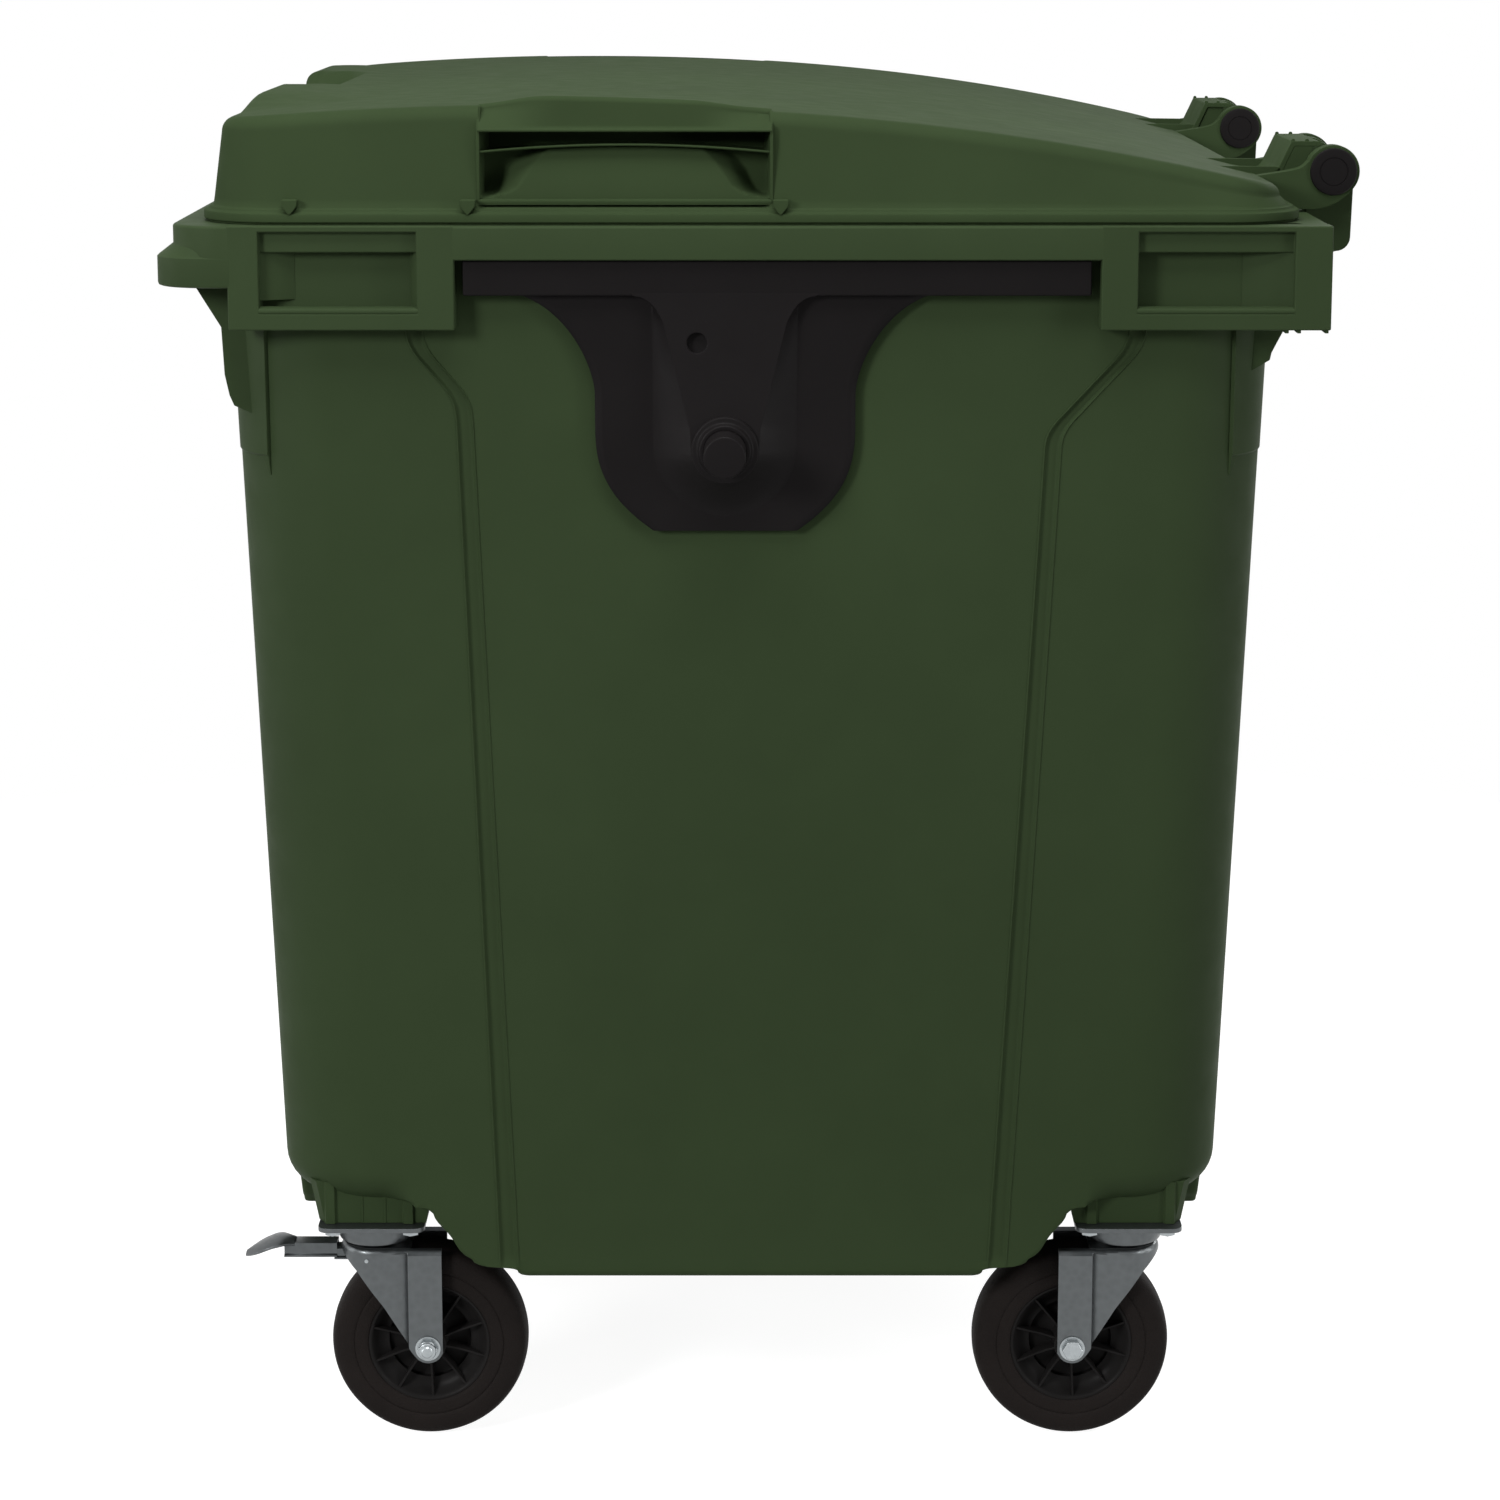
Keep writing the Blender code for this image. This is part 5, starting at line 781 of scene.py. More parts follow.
def comb_bar():
    """The lifting lip: a section swept round the rim's front. It steps out by a ledge times the square of the
    normal's share along Y, so that the ledge dies away round the corners."""
    turn = np.linspace(0.0, -pi / 2, 18)
    radius = RIM_CORNER_R[1]
    bend = arc((RIM_HALF_X - radius, radius - RIM_HALF_Y), radius, 0.0, -pi / 2, 18)
    quarter = np.column_stack((bend, np.cos(turn), np.sin(turn)))
    path = np.concatenate(([(RIM_HALF_X, COMB_START_Y, 1.0, 0.0)], quarter))
    path = np.concatenate((path, path[::-1] * np.array((-1.0, 1.0, -1.0, 1.0))))
    out = COMB_OUT * path[:, 3] ** 2 + 0.0002
    zero = np.zeros_like(out)
    section = [
        (zero - 0.002, 1.2282), (out - 0.002, 1.2162), (out, 1.2142), (out, 1.1895), (out - 0.0008, 1.1873),
        (out - 0.003, 1.1865), (out - 0.0055, 1.1865), (out - 0.0060, 1.1875), (out - 0.0060, 1.2125),
        (zero - 0.005, 1.2240),
    ]
    rings = [
        np.stack((path[:, 0] + path[:, 2] * s, path[:, 1] + path[:, 3] * s, np.full_like(s, z)), axis=-1)
        for s, z in section
    ]
    return loft(np.stack(rings, axis=1))


def comb_rib(x):
    """A rib under the comb bar. The outermost ones reach further in, because the corner curves away there."""
    def wall(z):
        return -half_y_at(z) + (CORNER_REACH if abs(x) > 0.55 else WALL * 0.5)

    outline = (
        (wall(1.241), 1.241), (-0.544, 1.241), (-0.544, 1.1925), (-0.5315, 1.1850), (-0.5062, 1.1436),
        (-0.5040, 1.098), (-0.4998, 1.078), (-0.4955, 1.068), (wall(1.066), 1.060),
    )
    return prism(outline, "x", x - COMB_RIB_THICK / 2, x + COMB_RIB_THICK / 2)


def corner_post(sign_x, sign_y):
    """The thickened wall round a corner, drawn up the leaning wall. Its radius falls evenly with the angle,
    so that it steps out from the side wall and dies away at the end wall."""
    rings = []
    for z in (POST_FOOT_Z, POST_FOOT_Z + 0.002, POST_TOP_Z):
        half_x, half_y = half_x_at(z), half_y_at(z)
        centre = (half_x - CORNER_R, half_y - CORNER_R)
        proud = POST_PROUD * (0.5 if z == POST_FOOT_Z else 1.0)
        inner_r = CORNER_R - WALL * 0.5
        start = np.arcsin((POST_START_Y - centre[1]) / CORNER_R)
        turn = np.linspace(start, pi / 2, 22)
        outer_r = CORNER_R + proud * (1.0 - 0.85 * (turn - start) / (pi / 2 - start))
        outer = np.stack((centre[0] + outer_r * np.cos(turn), centre[1] + outer_r * np.sin(turn)), axis=-1)
        outline = np.concatenate((outer, arc(centre, inner_r, pi / 2, start, 22)))
        rings.append(placed_ring(outline, sign_x, sign_y, z))
    return loft(rings)


def post_tail(sign_x, sign_y):
    """A short tapering end under the edge of a corner post, lying on the wall's corner."""
    rings = []
    for z, width, proud in ((1.023, 0.0090, 0.0035), (1.012, 0.0060, 0.0025), (1.002, 0.0030, 0.0008)):
        centre = (half_x_at(z) - CORNER_R, half_y_at(z) - CORNER_R)
        start = np.arcsin((POST_START_Y - centre[1]) / CORNER_R)
        outer = arc(centre, CORNER_R + proud, start, start + width / CORNER_R, 6)
        inner = arc(centre, CORNER_R - WALL * 0.5, start + width / CORNER_R, start, 6)
        outline = np.concatenate((outer, inner))
        rings.append(placed_ring(outline, sign_x, sign_y, z))
    return loft(rings)


def rear_gusset(sign):
    """A curved gusset under each rear block, on the end wall."""
    def wall(z):
        return half_y_at(z) - CORNER_REACH

    outline = (
        (wall(1.150), 1.150), (0.5150, 1.150), (0.5118, 1.1420), (0.5050, 1.1290), (0.5000, 1.1190),
        (0.4985, 1.112), (wall(1.100), 1.100),
    )
    return prism(outline, "x", *sorted((sign * 0.5575, sign * 0.5625)))


def block_nubs(sign):
    """Three small moulding nubs under a rear block."""
    inner, outer, half = 0.598 * sign, 0.6195 * sign, 0.0018
    return [box((inner, y - half, 1.1440), (outer, y + half, 1.1480)) for y in (0.5060, 0.5175, 0.5435)]


def side_block(sign, span, opening):
    """A block with its opening: an upper band stepped back a little, and a deep pocket below it."""
    lines_y = (span[0], opening[0], opening[1], span[1])
    solid = (0.0, 0.0, 0.0)
    depths = (solid, (0.0, OPENING_DEPTH, 0.0), (0.0, BAND_DEPTH, 0.0), solid)
    return stepped_panel(lines_y, BLOCK_LINES_Z, depths, RIM_HALF_X + 0.0001, BLOCK_BACK_X, sign)


def pocket_lip(sign, opening):
    """The sloping sill at the foot of an opening, with a rounded front edge."""
    corners = ((0.596, 1.1672), (0.614, 1.1692), (0.6222, 1.1676), (0.6222, 1.1620), (0.596, 1.1620))
    outline = rounded(corners, 0.0030, 6)
    outline[:, 0] *= sign
    return prism(outline, "y", opening[0] - 0.001, opening[1] + 0.001)


def pocket_wedge(sign, y, inner, low):
    """A slanting wall inside one end of an opening, from the face at the opening's end y in to the back."""
    outline = ((0.5990, y), (0.6138, y), (0.6128, y + (inner - y) * 0.1), (0.6000, inner), (0.5990, inner))
    return prism([(sign * x, across) for x, across in outline], "z", low, BLOCK_LINES_Z[2])


def caster_housing(sign_x, sign_y):
    """The drafted box over a caster plate, a loft of two outlines with two upright ribs on the outer face."""
    face, proud = 0.0500, 0.0536
    rings = []
    for z, grow in ((CASTER_Z + 0.0003, 0.0), (CEILING_Z + 0.021, 0.0086)):
        half_y = 0.0543 + grow
        outline = [(-proud, -half_y), (face, -half_y)]
        for middle in (-0.0369, 0.0415):
            outline += [(face, middle - 0.0062), (proud, middle - 0.0044)]
            outline += [(proud, middle + 0.0044), (face, middle + 0.0062)]
        outline += [(face, half_y - 0.0075), (face - 0.0120, half_y), (-proud, half_y)]
        rings.append(placed_ring(np.array(outline) + (SWIVEL_X, SWIVEL_Y), sign_x, sign_y, z))
    return loft(rings)


def slot_frame(sign_x):
    """The dark slot of a front housing: a recess lined on all sides, standing just proud of the panel."""
    y = -SWIVEL_Y + 0.002
    lines_y = (y - 0.0125, y - 0.0105, y + 0.0105, y + 0.0125)
    lines_z = (CASTER_Z + 0.0004, CASTER_Z + 0.0012, 0.268, 0.272)
    depths = ((0.0, 0.0, 0.0), (0.0, 0.030, 0.0), (0.0, 0.0, 0.0))
    return stepped_panel(lines_y, lines_z, depths, SWIVEL_X + 0.0507, SWIVEL_X + 0.020, sign_x)


def hinge_lug(low, high):
    """A plate behind the rim with a round eye about the pin and a rounded foot."""
    eye = arc((HINGE_Y, HINGE_Z), 0.0235, radians(-8), pi, 26)
    foot = arc((0.594 - 0.016, 1.207 + 0.012), 0.014, -pi / 2, 0.0, 8)
    outline = np.concatenate(([(0.544, 1.195)], foot, eye, [(0.547, 1.243), (0.544, 1.240)]))
    return prism(outline, "x", low, high)


def rear_ledge(sign):
    """The rounded ledge that stands behind the rim beside the hinge lugs."""
    corners = ((0.540, 1.210), (0.576, 1.210), (0.583, 1.218), (0.583, 1.2350), (0.540, 1.2350))
    return prism(rounded(corners, 0.006), "x", *sorted((sign * LUG_SPANS[1][1], sign * LUG_SPANS[0][0])))


def drain_seat():
    """The raised ring round the drain, turned about the drain's axis."""
    profile = ((0.0264, 0.005), (0.0264, 0.017), (0.0300, 0.017), (0.0340, 0.014), (0.0340, 0.005))
    return turned(profile, "z", (0.0, DRAIN_Y, BELLY_Z), 48, closed=True)


class CONTAINER_OT_tub(bpy.types.Operator):
    """Builds the tub: its skin, comb bar, ribs, side blocks, corner posts, housings and hinge lugs"""

    bl_idname = "container.tub"
    bl_label = "Tub"

    def execute(self, context):
        sizes = context.scene.tub_sizes
        tub_piece("tub_skin", [tub_shell()], sharp=38)
        tub_piece("comb_bar", [comb_bar()])
        ribs = [comb_rib(COMB_FIRST_X + COMB_RIB_PITCH * k) for k in range(COMB_RIB_COUNT)]
        tub_piece("comb_ribs", ribs, bevel=0.001)
        for side, sign in SIDES:
            front, rear = OPENING_SPANS
            blocks = [side_block(sign, *spans) for spans in zip(BLOCK_SPANS, OPENING_SPANS)]
            tub_piece(f"side_blocks_{side}", blocks, bevel=sizes.block_edge, segments=3)
            wedges = ((front[0], -0.430, 1.1745), (rear[1], 0.465, 1.1650), (front[1], -0.321, 1.1650))
            extras = [pocket_lip(sign, opening) for opening in OPENING_SPANS]
            extras += [pocket_wedge(sign, *wedge) for wedge in wedges]
            tub_piece(f"pocket_sills_{side}", extras)
            posts = [corner_post(sign, end) for _, end in ENDS] + [post_tail(sign, end) for _, end in ENDS]
            posts += [rear_gusset(sign), *block_nubs(sign)]
            tub_piece(f"corner_posts_{side}", posts, bevel=0.0012)
            housings = [caster_housing(sign, end) for _, end in ENDS]
            tub_piece(f"caster_housings_{side}", housings, bevel=0.001)
            tub_piece(f"housing_slot_{side}", [slot_frame(sign)], bevel=0.0004)
            lugs = [hinge_lug(*sorted((sign * a, sign * b))) for a, b in LUG_SPANS]
            lugs.append(rear_ledge(sign))
            tub_piece(f"hinge_lugs_{side}", lugs, bevel=0.0012)
        tub_piece("drain_seat", [drain_seat()])
        return {"FINISHED"}


# Lid

LID_HALF_X = 0.612
LID_FRONT_Y = -0.523
LID_REAR_Y = 0.526
LID_SEAT_Z = RIM_TOP + 0.0004
LID_THICK = 0.0045
LID_CORNER_R = 0.078
LID_BASE_Z = LID_SEAT_Z + 0.014
LID_WALL_INSET = 0.0095
LID_LEAN = tan(radians(10.5))
TOP_STATIONS = (-0.505, -0.406, -0.300, -0.194, -0.100, 0.0, 0.100, 0.200, 0.300, 0.400, 0.487)
TOP_HEIGHTS = (1.342, 1.350, 1.354, 1.356, 1.355, 1.3515, 1.344, 1.333, 1.319, 1.3015, 1.282)
TOP_FIT = np.polyfit(TOP_STATIONS, TOP_HEIGHTS, 5)
# The front recess, and the brow, which fades over these lengths from the front edge and from its half width
RECESS_HALF_X = 0.145
RECESS_REAR_Y = -0.436
RECESS_FRONT_Y = -0.512
BROW_HALF_X = 0.300
BROW_FADE_X = 0.170
BROW_FADE_Y = 0.150
# Insets and heights over the seat, up the flange: a foot over a fine dark gap, a round edge and a ledge
FLANGE_STEPS = (
    (0.0034, 0.0), (0.0030, 0.0016), (0.0007, 0.0019), (0.0, 0.0027), (0.0, 0.0085), (0.0006, 0.0100),
    (0.0020, 0.0107), (0.0042, 0.0112), (0.0052, 0.0120), (0.0058, 0.0134),
)
LID_TOP_COLUMNS = 65
ARM_SPANS = ((0.440, 0.458), (0.258, 0.276))
LEAN_TOP_Z = 1.31
GRIP_SPAN = (-0.2555, 0.0205)
GRIP_HOLLOW_X = 0.541
# The hood's crest along the tub, and half widths of the pan's ramp and of its flanks at shares of its height
GRIP_CREST_Y = (-0.2555, -0.240, -0.222, -0.208, -0.195, -0.180, -0.110, -0.050, -0.030, -0.0125, 0.0205)
GRIP_CREST_Z = (1.3562, 1.3580, 1.3612, 1.3637, 1.3648, 1.3650, 1.3632, 1.3610, 1.3580, 1.3550, 1.3518)
RAMP_SHARES = (0.00, 0.06, 0.12, 0.22, 0.36, 0.58, 0.80, 1.00)
RAMP_HALF = (0.1300, 0.1190, 0.1090, 0.1010, 0.0965, 0.0895, 0.0815, 0.0725)
FLANK_SHARES = (0.00, 0.10, 0.30, 0.55, 0.78, 0.92, 1.00)
FLANK_HALF = (0.1345, 0.1235, 0.1190, 0.1140, 0.1060, 0.0965, 0.0880)


def lid_top(x, y):
    """Height of the lid's top: a smooth line in y, plus the brow, which rises at the front and fades towards
    the corners and the back, less the front recess with its eased sides."""
    sizes = bpy.context.scene.lid_sizes
    z = np.polyval(TOP_FIT, np.clip(y, -0.515, 0.50))
    along = smooth(1.0 - np.maximum(0.0, y - TOP_STATIONS[0]) / BROW_FADE_Y)
    across = smooth(1.0 - np.maximum(0.0, np.abs(x) - BROW_HALF_X) / BROW_FADE_X)
    z = z + sizes.brow_rise * along * across
    inside = smooth((RECESS_HALF_X - np.abs(x)) / 0.015)
    inside = inside * smooth((RECESS_REAR_Y - y) / 0.020) * smooth((y - RECESS_FRONT_Y) / 0.006)
    return z - sizes.recess_depth * inside


def lid_outline(inset):
    """The lid's outline at an inset: x and y round it, with finer spacing beside the grips, and the count of
    points along the right half."""
    half_x = LID_HALF_X - inset
    front = LID_FRONT_Y + inset
    rear = LID_REAR_Y - inset
    radius = max(LID_CORNER_R - inset, 0.004)
    first = arc((half_x - radius, front + radius), radius, -pi / 2, 0.0, 16)
    last = arc((half_x - radius, rear - radius), radius, 0.0, pi / 2, 16)
    low, high = front + radius, rear - radius
    edges = np.array([end + way * 0.012 for end in GRIP_SPAN for way in (-1, 1)])
    lines = np.concatenate(((low,), edges, (high,)))
    spans = [np.linspace(a, b, n, endpoint=False) for a, b, n in zip(lines, lines[1:], (16, 10, 40, 10, 36))]
    middle = np.concatenate(spans)[1:]
    right = np.concatenate((first, np.stack((np.full_like(middle, half_x), middle), axis=-1), last))
    shares = np.linspace(-1.0, 1.0, LID_TOP_COLUMNS)[1:-1]
    width = right[0, 0]
    front_row = np.stack((shares * width, np.full_like(shares, front)), axis=-1)
    rear_row = np.stack((-shares * width, np.full_like(shares, rear)), axis=-1)
    left = right[::-1] * np.array((-1.0, 1.0))
    return np.concatenate((front_row, right, rear_row, left)), right


def grip_hollow(points):
    """Draws the lid's side wall in behind the side grips, where their own pieces stand."""
    x, y, z = points[:, 0], points[:, 1], points[:, 2]
    inside = smooth((y - GRIP_SPAN[0] - 0.001) / 0.006) * smooth((GRIP_SPAN[1] - 0.001 - y) / 0.006)
    inside = inside * smooth((z - 1.2635) / 0.003) * (np.abs(x) > 0.50)
    target = np.minimum(np.abs(x), GRIP_HOLLOW_X)
    moved = np.abs(x) + (target - np.abs(x)) * inside
    return np.stack((np.sign(x) * moved, y, z), axis=-1)


def lid_shell():
    """The lid as one closed skin: inner top, inner wall, flange foot, flange, ledge, wall that leans in, a
    quarter-round edge and the top, whose rows join the outline's right and left halves."""
    radius = bpy.context.scene.lid_sizes.edge_radius

    def ring(inset, z):
        points, _ = lid_outline(inset)
        return np.column_stack((points, np.broadcast_to(z, len(points))))

    def side_rings(thick):
        base = LID_BASE_Z - thick
        top_inset = LID_WALL_INSET + thick + (LEAN_TOP_Z - base) * LID_LEAN
        crest, _ = lid_outline(top_inset + radius)
        top = lid_top(crest[:, 0], crest[:, 1]) - thick
        low = np.minimum(radius, (top - base) * 0.6)
        made = []
        for share in np.linspace(0.0, 1.0, 9)[1:-1]:
            z = base + (top - low - base) * share
            points, _ = lid_outline(LID_WALL_INSET + thick + (top_inset - LID_WALL_INSET - thick) * share)
            made.append(np.column_stack((points, z)))
        for turn in np.linspace(0.0, pi / 2, 9):
            points, _ = lid_outline(top_inset + radius * (1 - cos(turn)))
            made.append(np.column_stack((points, top - low * (1 - sin(turn)))))
        return base, made

    outer_base, outer = side_rings(0.0)
    inner_base, inner = side_rings(LID_THICK)
    rings = inner[::-1]
    rings += [ring(LID_WALL_INSET + LID_THICK, z) for z in (inner_base, LID_SEAT_Z)]
    rings += [ring(inset, LID_SEAT_Z + rise) for inset, rise in FLANGE_STEPS]
    rings.append(ring(0.0070, outer_base))
    rings.append(ring(0.0085, outer_base + 0.0004))
    rings.append(ring(LID_WALL_INSET, outer_base + 0.0016))
    rings += outer
    rings = [grip_hollow(r) for r in rings]
    points, faces = loft(rings, caps=False)
    columns = LID_TOP_COLUMNS
    count = len(rings[0])
    total = len(points)
    shares = np.linspace(-1.0, 1.0, columns)
    all_points = [points]
    for thick, first in ((0.0, (len(rings) - 1) * count), (LID_THICK, 0)):
        inset = LID_WALL_INSET + thick + (LEAN_TOP_Z - LID_BASE_Z + thick) * LID_LEAN + radius
        _, right = lid_outline(inset)
        rows = len(right)
        x = right[1:-1, :1] * shares[None, 1:-1]
        y = np.broadcast_to(right[1:-1, 1:], x.shape)
        inner_points = np.stack((x, y, lid_top(x, y) - thick), axis=-1)
        net = np.empty((rows, columns), int)
        net[1:-1, 1:-1] = total + np.arange((rows - 2) * (columns - 2)).reshape(rows - 2, columns - 2)
        total += (rows - 2) * (columns - 2)
        middle = columns - 2
        ring_index = first + np.arange(count)
        net[0, 1:-1] = ring_index[:middle]
        net[:, -1] = ring_index[middle:middle + rows]
        net[-1, 1:-1] = ring_index[middle + rows:2 * middle + rows][::-1]
        net[:, 0] = ring_index[2 * middle + rows:][::-1]
        all_points.append(inner_points.reshape(-1, 3))
        faces += net_faces(net)
    return np.concatenate(all_points), faces


def grip_crest(sign, y):
    """Height of a grip's hood along y, through soft stations. The left hood is level with the lid's top."""
    crest = np.interp(y, GRIP_CREST_Y, GRIP_CREST_Z)
    kernel = np.ones(9) / 9
    crest = np.convolve(np.pad(crest, 4, mode="edge"), kernel, mode="valid")
    if sign < 0:
        crest = np.minimum(crest, lid_top(np.full_like(y, 0.548), y) - 0.0015)
    return crest


def side_grip(sign):
    """A side grip as a sheet: at each y a section from the hood's back over its crest, down its bowed face to
    the straight lip, into the finger slot, out along the arched shelf, into the pan and down to the sill. In
    the pan a ramp stands out between two sloping flanks whose edges are curves of the height."""
    depth = bpy.context.scene.lid_sizes.grip_depth
    low, high = GRIP_SPAN
    inner = np.linspace(low + 0.004, high - 0.004, 150)
    first, last = (low, low + 0.0012, low + 0.0028), (high - 0.0028, high - 0.0012, high)
    y = np.concatenate((first, inner, last))[:, None]
    middle = (low + high) * 0.5
    crest = grip_crest(sign, y[:, 0])[:, None]
    end = np.minimum(y - low, high - y)
    face = 0.6015
    top_x = 0.5935 - 0.0190 * (1 - smooth(end / 0.085)) ** 1.3
    lip_z = 1.3333
    shelf = 1.3208 - 0.0070 * np.abs((y - middle) / ((high - low) * 0.5)) ** 2.0
    back = face - depth
    slot_back = 0.5450
    sink = smooth((end - 0.0012) / 0.0030)

    def column(x, z, hollow=False):
        x = np.broadcast_to(x, y.shape)
        if hollow:
            x = face + (x - face) * sink
        return np.concatenate((x, y, np.broadcast_to(z, y.shape)), axis=1)

    top_back = lid_top(np.full_like(y, 0.548), y) - 0.002
    columns = [column(0.5395, top_back + 0.0006), column(0.5440, top_back)]
    for x, fall in ((0.552, 0.0030), (0.560, 0.0010)):
        columns.append(column(x, np.maximum(top_back, crest - fall)))
    columns += [column(top_x - 0.006, crest), column(top_x, crest)]
    edge = 0.0052
    for turn in np.linspace(0.0, pi / 2, 8)[1:]:
        columns.append(column(top_x + edge * sin(turn), crest - edge * (1 - cos(turn))))
    foot = lip_z + 0.0030
    for share in (0.2, 0.4, 0.6, 0.8, 0.93):
        x = top_x + edge + (0.6000 - top_x - edge) * share
        columns.append(column(x, crest - edge + (foot - crest + edge) * share))
    columns.append(column(0.6001, foot))
    for turn in np.linspace(radians(70), radians(-110), 9):
        columns.append(column(0.6010 + 0.0014 * cos(turn), lip_z - 0.0003 + 0.0014 * sin(turn)))
    for x, rise in ((0.5985, -0.0018), (0.585, -0.0016), (slot_back + 0.003, -0.0014), (slot_back, -0.0030)):
        columns.append(column(x, lip_z + rise, True))
    columns.append(column(slot_back, shelf - 0.0010, True))
    columns.append(column(slot_back + 0.003, shelf - 0.0030, True))
    columns.append(column(0.590, shelf - 0.0006, True))
    for turn in np.linspace(radians(100), radians(-90), 7):
        columns.append(column(0.5990 + 0.0011 * cos(turn), shelf - 0.0011 + 0.0011 * sin(turn)))
    columns.append(column(0.592, shelf - 0.0030, True))
    columns.append(column(back + 0.004, shelf - 0.0036, True))
    sill = 1.2700
    for share in np.linspace(0.0, 1.0, 30):
        z = shelf - 0.0040 + (sill - shelf + 0.0040) * share
        height = np.clip((z - sill) / (1.3155 - sill), 0.0, 1.0)
        ramp = 0.5985 - 0.0020 * height - 0.0080 * height**1.6
        ramp_half = np.interp(height, RAMP_SHARES, RAMP_HALF)
        flank_half = np.interp(height, FLANK_SHARES, FLANK_HALF)
        across = np.abs(y - middle)
        out = np.clip((flank_half - across) / np.maximum(flank_half - ramp_half, 0.001), 0.0, 1.0)
        out = out * 0.86 + 0.14 * smooth(out)
        foot_x = back + 0.003 + (0.5985 - back - 0.003) * smooth((0.07 - height) / 0.07)
        columns.append(column(foot_x + (ramp - foot_x) * out, z, True))
    for turn in np.linspace(radians(120), radians(-20), 6):
        columns.append(column(0.6000 + 0.0026 * cos(turn), 1.2665 + 0.0026 * sin(turn)))
    columns.append(column(0.6020, 1.2635))
    columns.append(column(0.5990, 1.2630))
    grid = np.stack(columns, axis=0)
    grid[..., 0] *= sign
    return loft(grid, caps=False, wrap=False)


def grip_cheek(sign):
    """The two end cheeks that close a grip's hood and pan against the lid's wall."""
    parts = []
    for y in GRIP_SPAN:
        crest = float(grip_crest(sign, np.full(9, y))[4])
        outline = rounded((
            (0.550, 1.262), (0.6022, 1.2625), (0.6018, 1.328), (0.5880, crest - 0.005),
            (0.579, crest - 0.001), (0.550, crest - 0.004)), 0.004)
        outline[:, 0] *= sign
        parts.append(prism(outline, "y", y - 0.0016, y + 0.0016))
    return parts


def flange_nub(sign, y):
    """A nub on the flange: a small block with a flat top whose foot is drawn to a point."""
    outline = rounded((
        (y - 0.0074, 1.2688), (y + 0.0074, 1.2688), (y + 0.0070, 1.2625), (y + 0.0008, 1.2548),
        (y - 0.0008, 1.2548), (y - 0.0070, 1.2625)), 0.0012)
    return prism(outline, "x", *sorted((sign * 0.598, sign * 0.6132)))


def hinge_arm(low, high):
    """A lid arm: an eye round the pin, a top edge that sweeps down to the lid and a belly behind the rim."""
    eye = arc((HINGE_Y, HINGE_Z), 0.0258, radians(-52), radians(158), 40)
    corners = ((0.5459, 1.2944), (0.5400, 1.2880), (0.5250, 1.2848), (0.4860, 1.2790))
    sweep = rounded(corners, 0.010, 6, closed=False)
    corners = (
        (0.470, 1.262), (0.500, 1.2500), (0.5460, 1.2478), (0.5540, 1.2475), (0.5720, 1.2520),
        (0.5868, 1.2636)
    )
    belly = rounded(corners, 0.008, 5, closed=False)
    return prism(np.concatenate((eye, sweep, belly)), "x", low, high)


def hinge_hood(sign):
    """The bent plate over the pin between the tub's lugs, with its slanting front and two nubs."""
    outline = rounded((
        (0.505, 1.2660), (0.5225, 1.2860), (0.5345, 1.3118), (0.5610, 1.3118), (0.5660, 1.3095),
        (0.5640, 1.3065), (0.5375, 1.3070), (0.5270, 1.2840), (0.5240, 1.2500), (0.505, 1.2500)), 0.0015, 3)
    low, high = sorted((sign * 0.2970, sign * 0.4190))
    parts = [prism(outline, "x", low, high)]
    for x in (0.2990, 0.4150):
        for y in (0.5362, 0.5500):
            left = ((y - 0.002, 1.308), (y - 0.0018, 1.3135), (y, 1.3142))
            right = ((y + 0.0018, 1.3135), (y + 0.002, 1.308))
            nub = rounded((*left, *right), 0.0008, 3)
            parts.append(prism(nub, "x", *sorted((sign * x, sign * (x + 0.003)))))
        cheek = (
            (0.5225, 1.2860), (0.5345, 1.3112), (0.5570, 1.3112), (0.5545, 1.2960), (0.5545, 1.2600),
            (0.5240, 1.2600),
        )
        parts.append(prism(cheek, "x", *sorted((sign * (x + 0.0003), sign * (x + 0.0036)))))
        rail = (
            (0.455, 1.2760), (0.4640, 1.2875), (0.5180, 1.2868), (0.5240, 1.2860), (0.5240, 1.2600),
            (0.455, 1.2600),
        )
        parts.append(prism(rail, "x", *sorted((sign * x, sign * (x + 0.004)))))
    return parts


class CONTAINER_OT_lid(bpy.types.Operator):
    """Builds the lid: its shell, side grips, flange nubs, hinge arms and hoods"""

    bl_idname = "container.lid"
    bl_label = "Lid"

    def execute(self, context):
        lid_piece("lid_shell", [lid_shell()], sharp=40)
        for side, sign in SIDES:
            lid_piece(f"lid_grip_{side}", [side_grip(sign)], sharp=50, weld=1e-7)
            lid_piece(f"lid_grip_cheeks_{side}", grip_cheek(sign), bevel=0.0007)
            nubs = [flange_nub(sign, y) for y in (-0.4325, -0.265, 0.029)]
            lid_piece(f"lid_nubs_{side}", nubs, bevel=0.0012, segments=3)
            arms = [hinge_arm(*sorted((sign * a, sign * b))) for a, b in ARM_SPANS]
            lid_piece(f"lid_arms_{side}", arms, bevel=0.0012, segments=3)
            lid_piece(f"lid_hood_{side}", hinge_hood(sign), bevel=0.0006)
        return {"FINISHED"}


def cap_profile():
    """A cap's section: a thin edge step, a slightly crowned face and a fine ring groove."""
    return np.array((
        (0.0075, -0.006), (0.0075, -0.0002), (0.0224, -0.0002), (0.0230, 0.0004), (0.0230, 0.0018),
        (0.0222, 0.0030), (0.0205, 0.0035), (0.0142, 0.0037), (0.0138, 0.0031), (0.0132, 0.0031),
        (0.0128, 0.0037), (0.004, 0.0039), (0.0004, 0.0039),
    ))


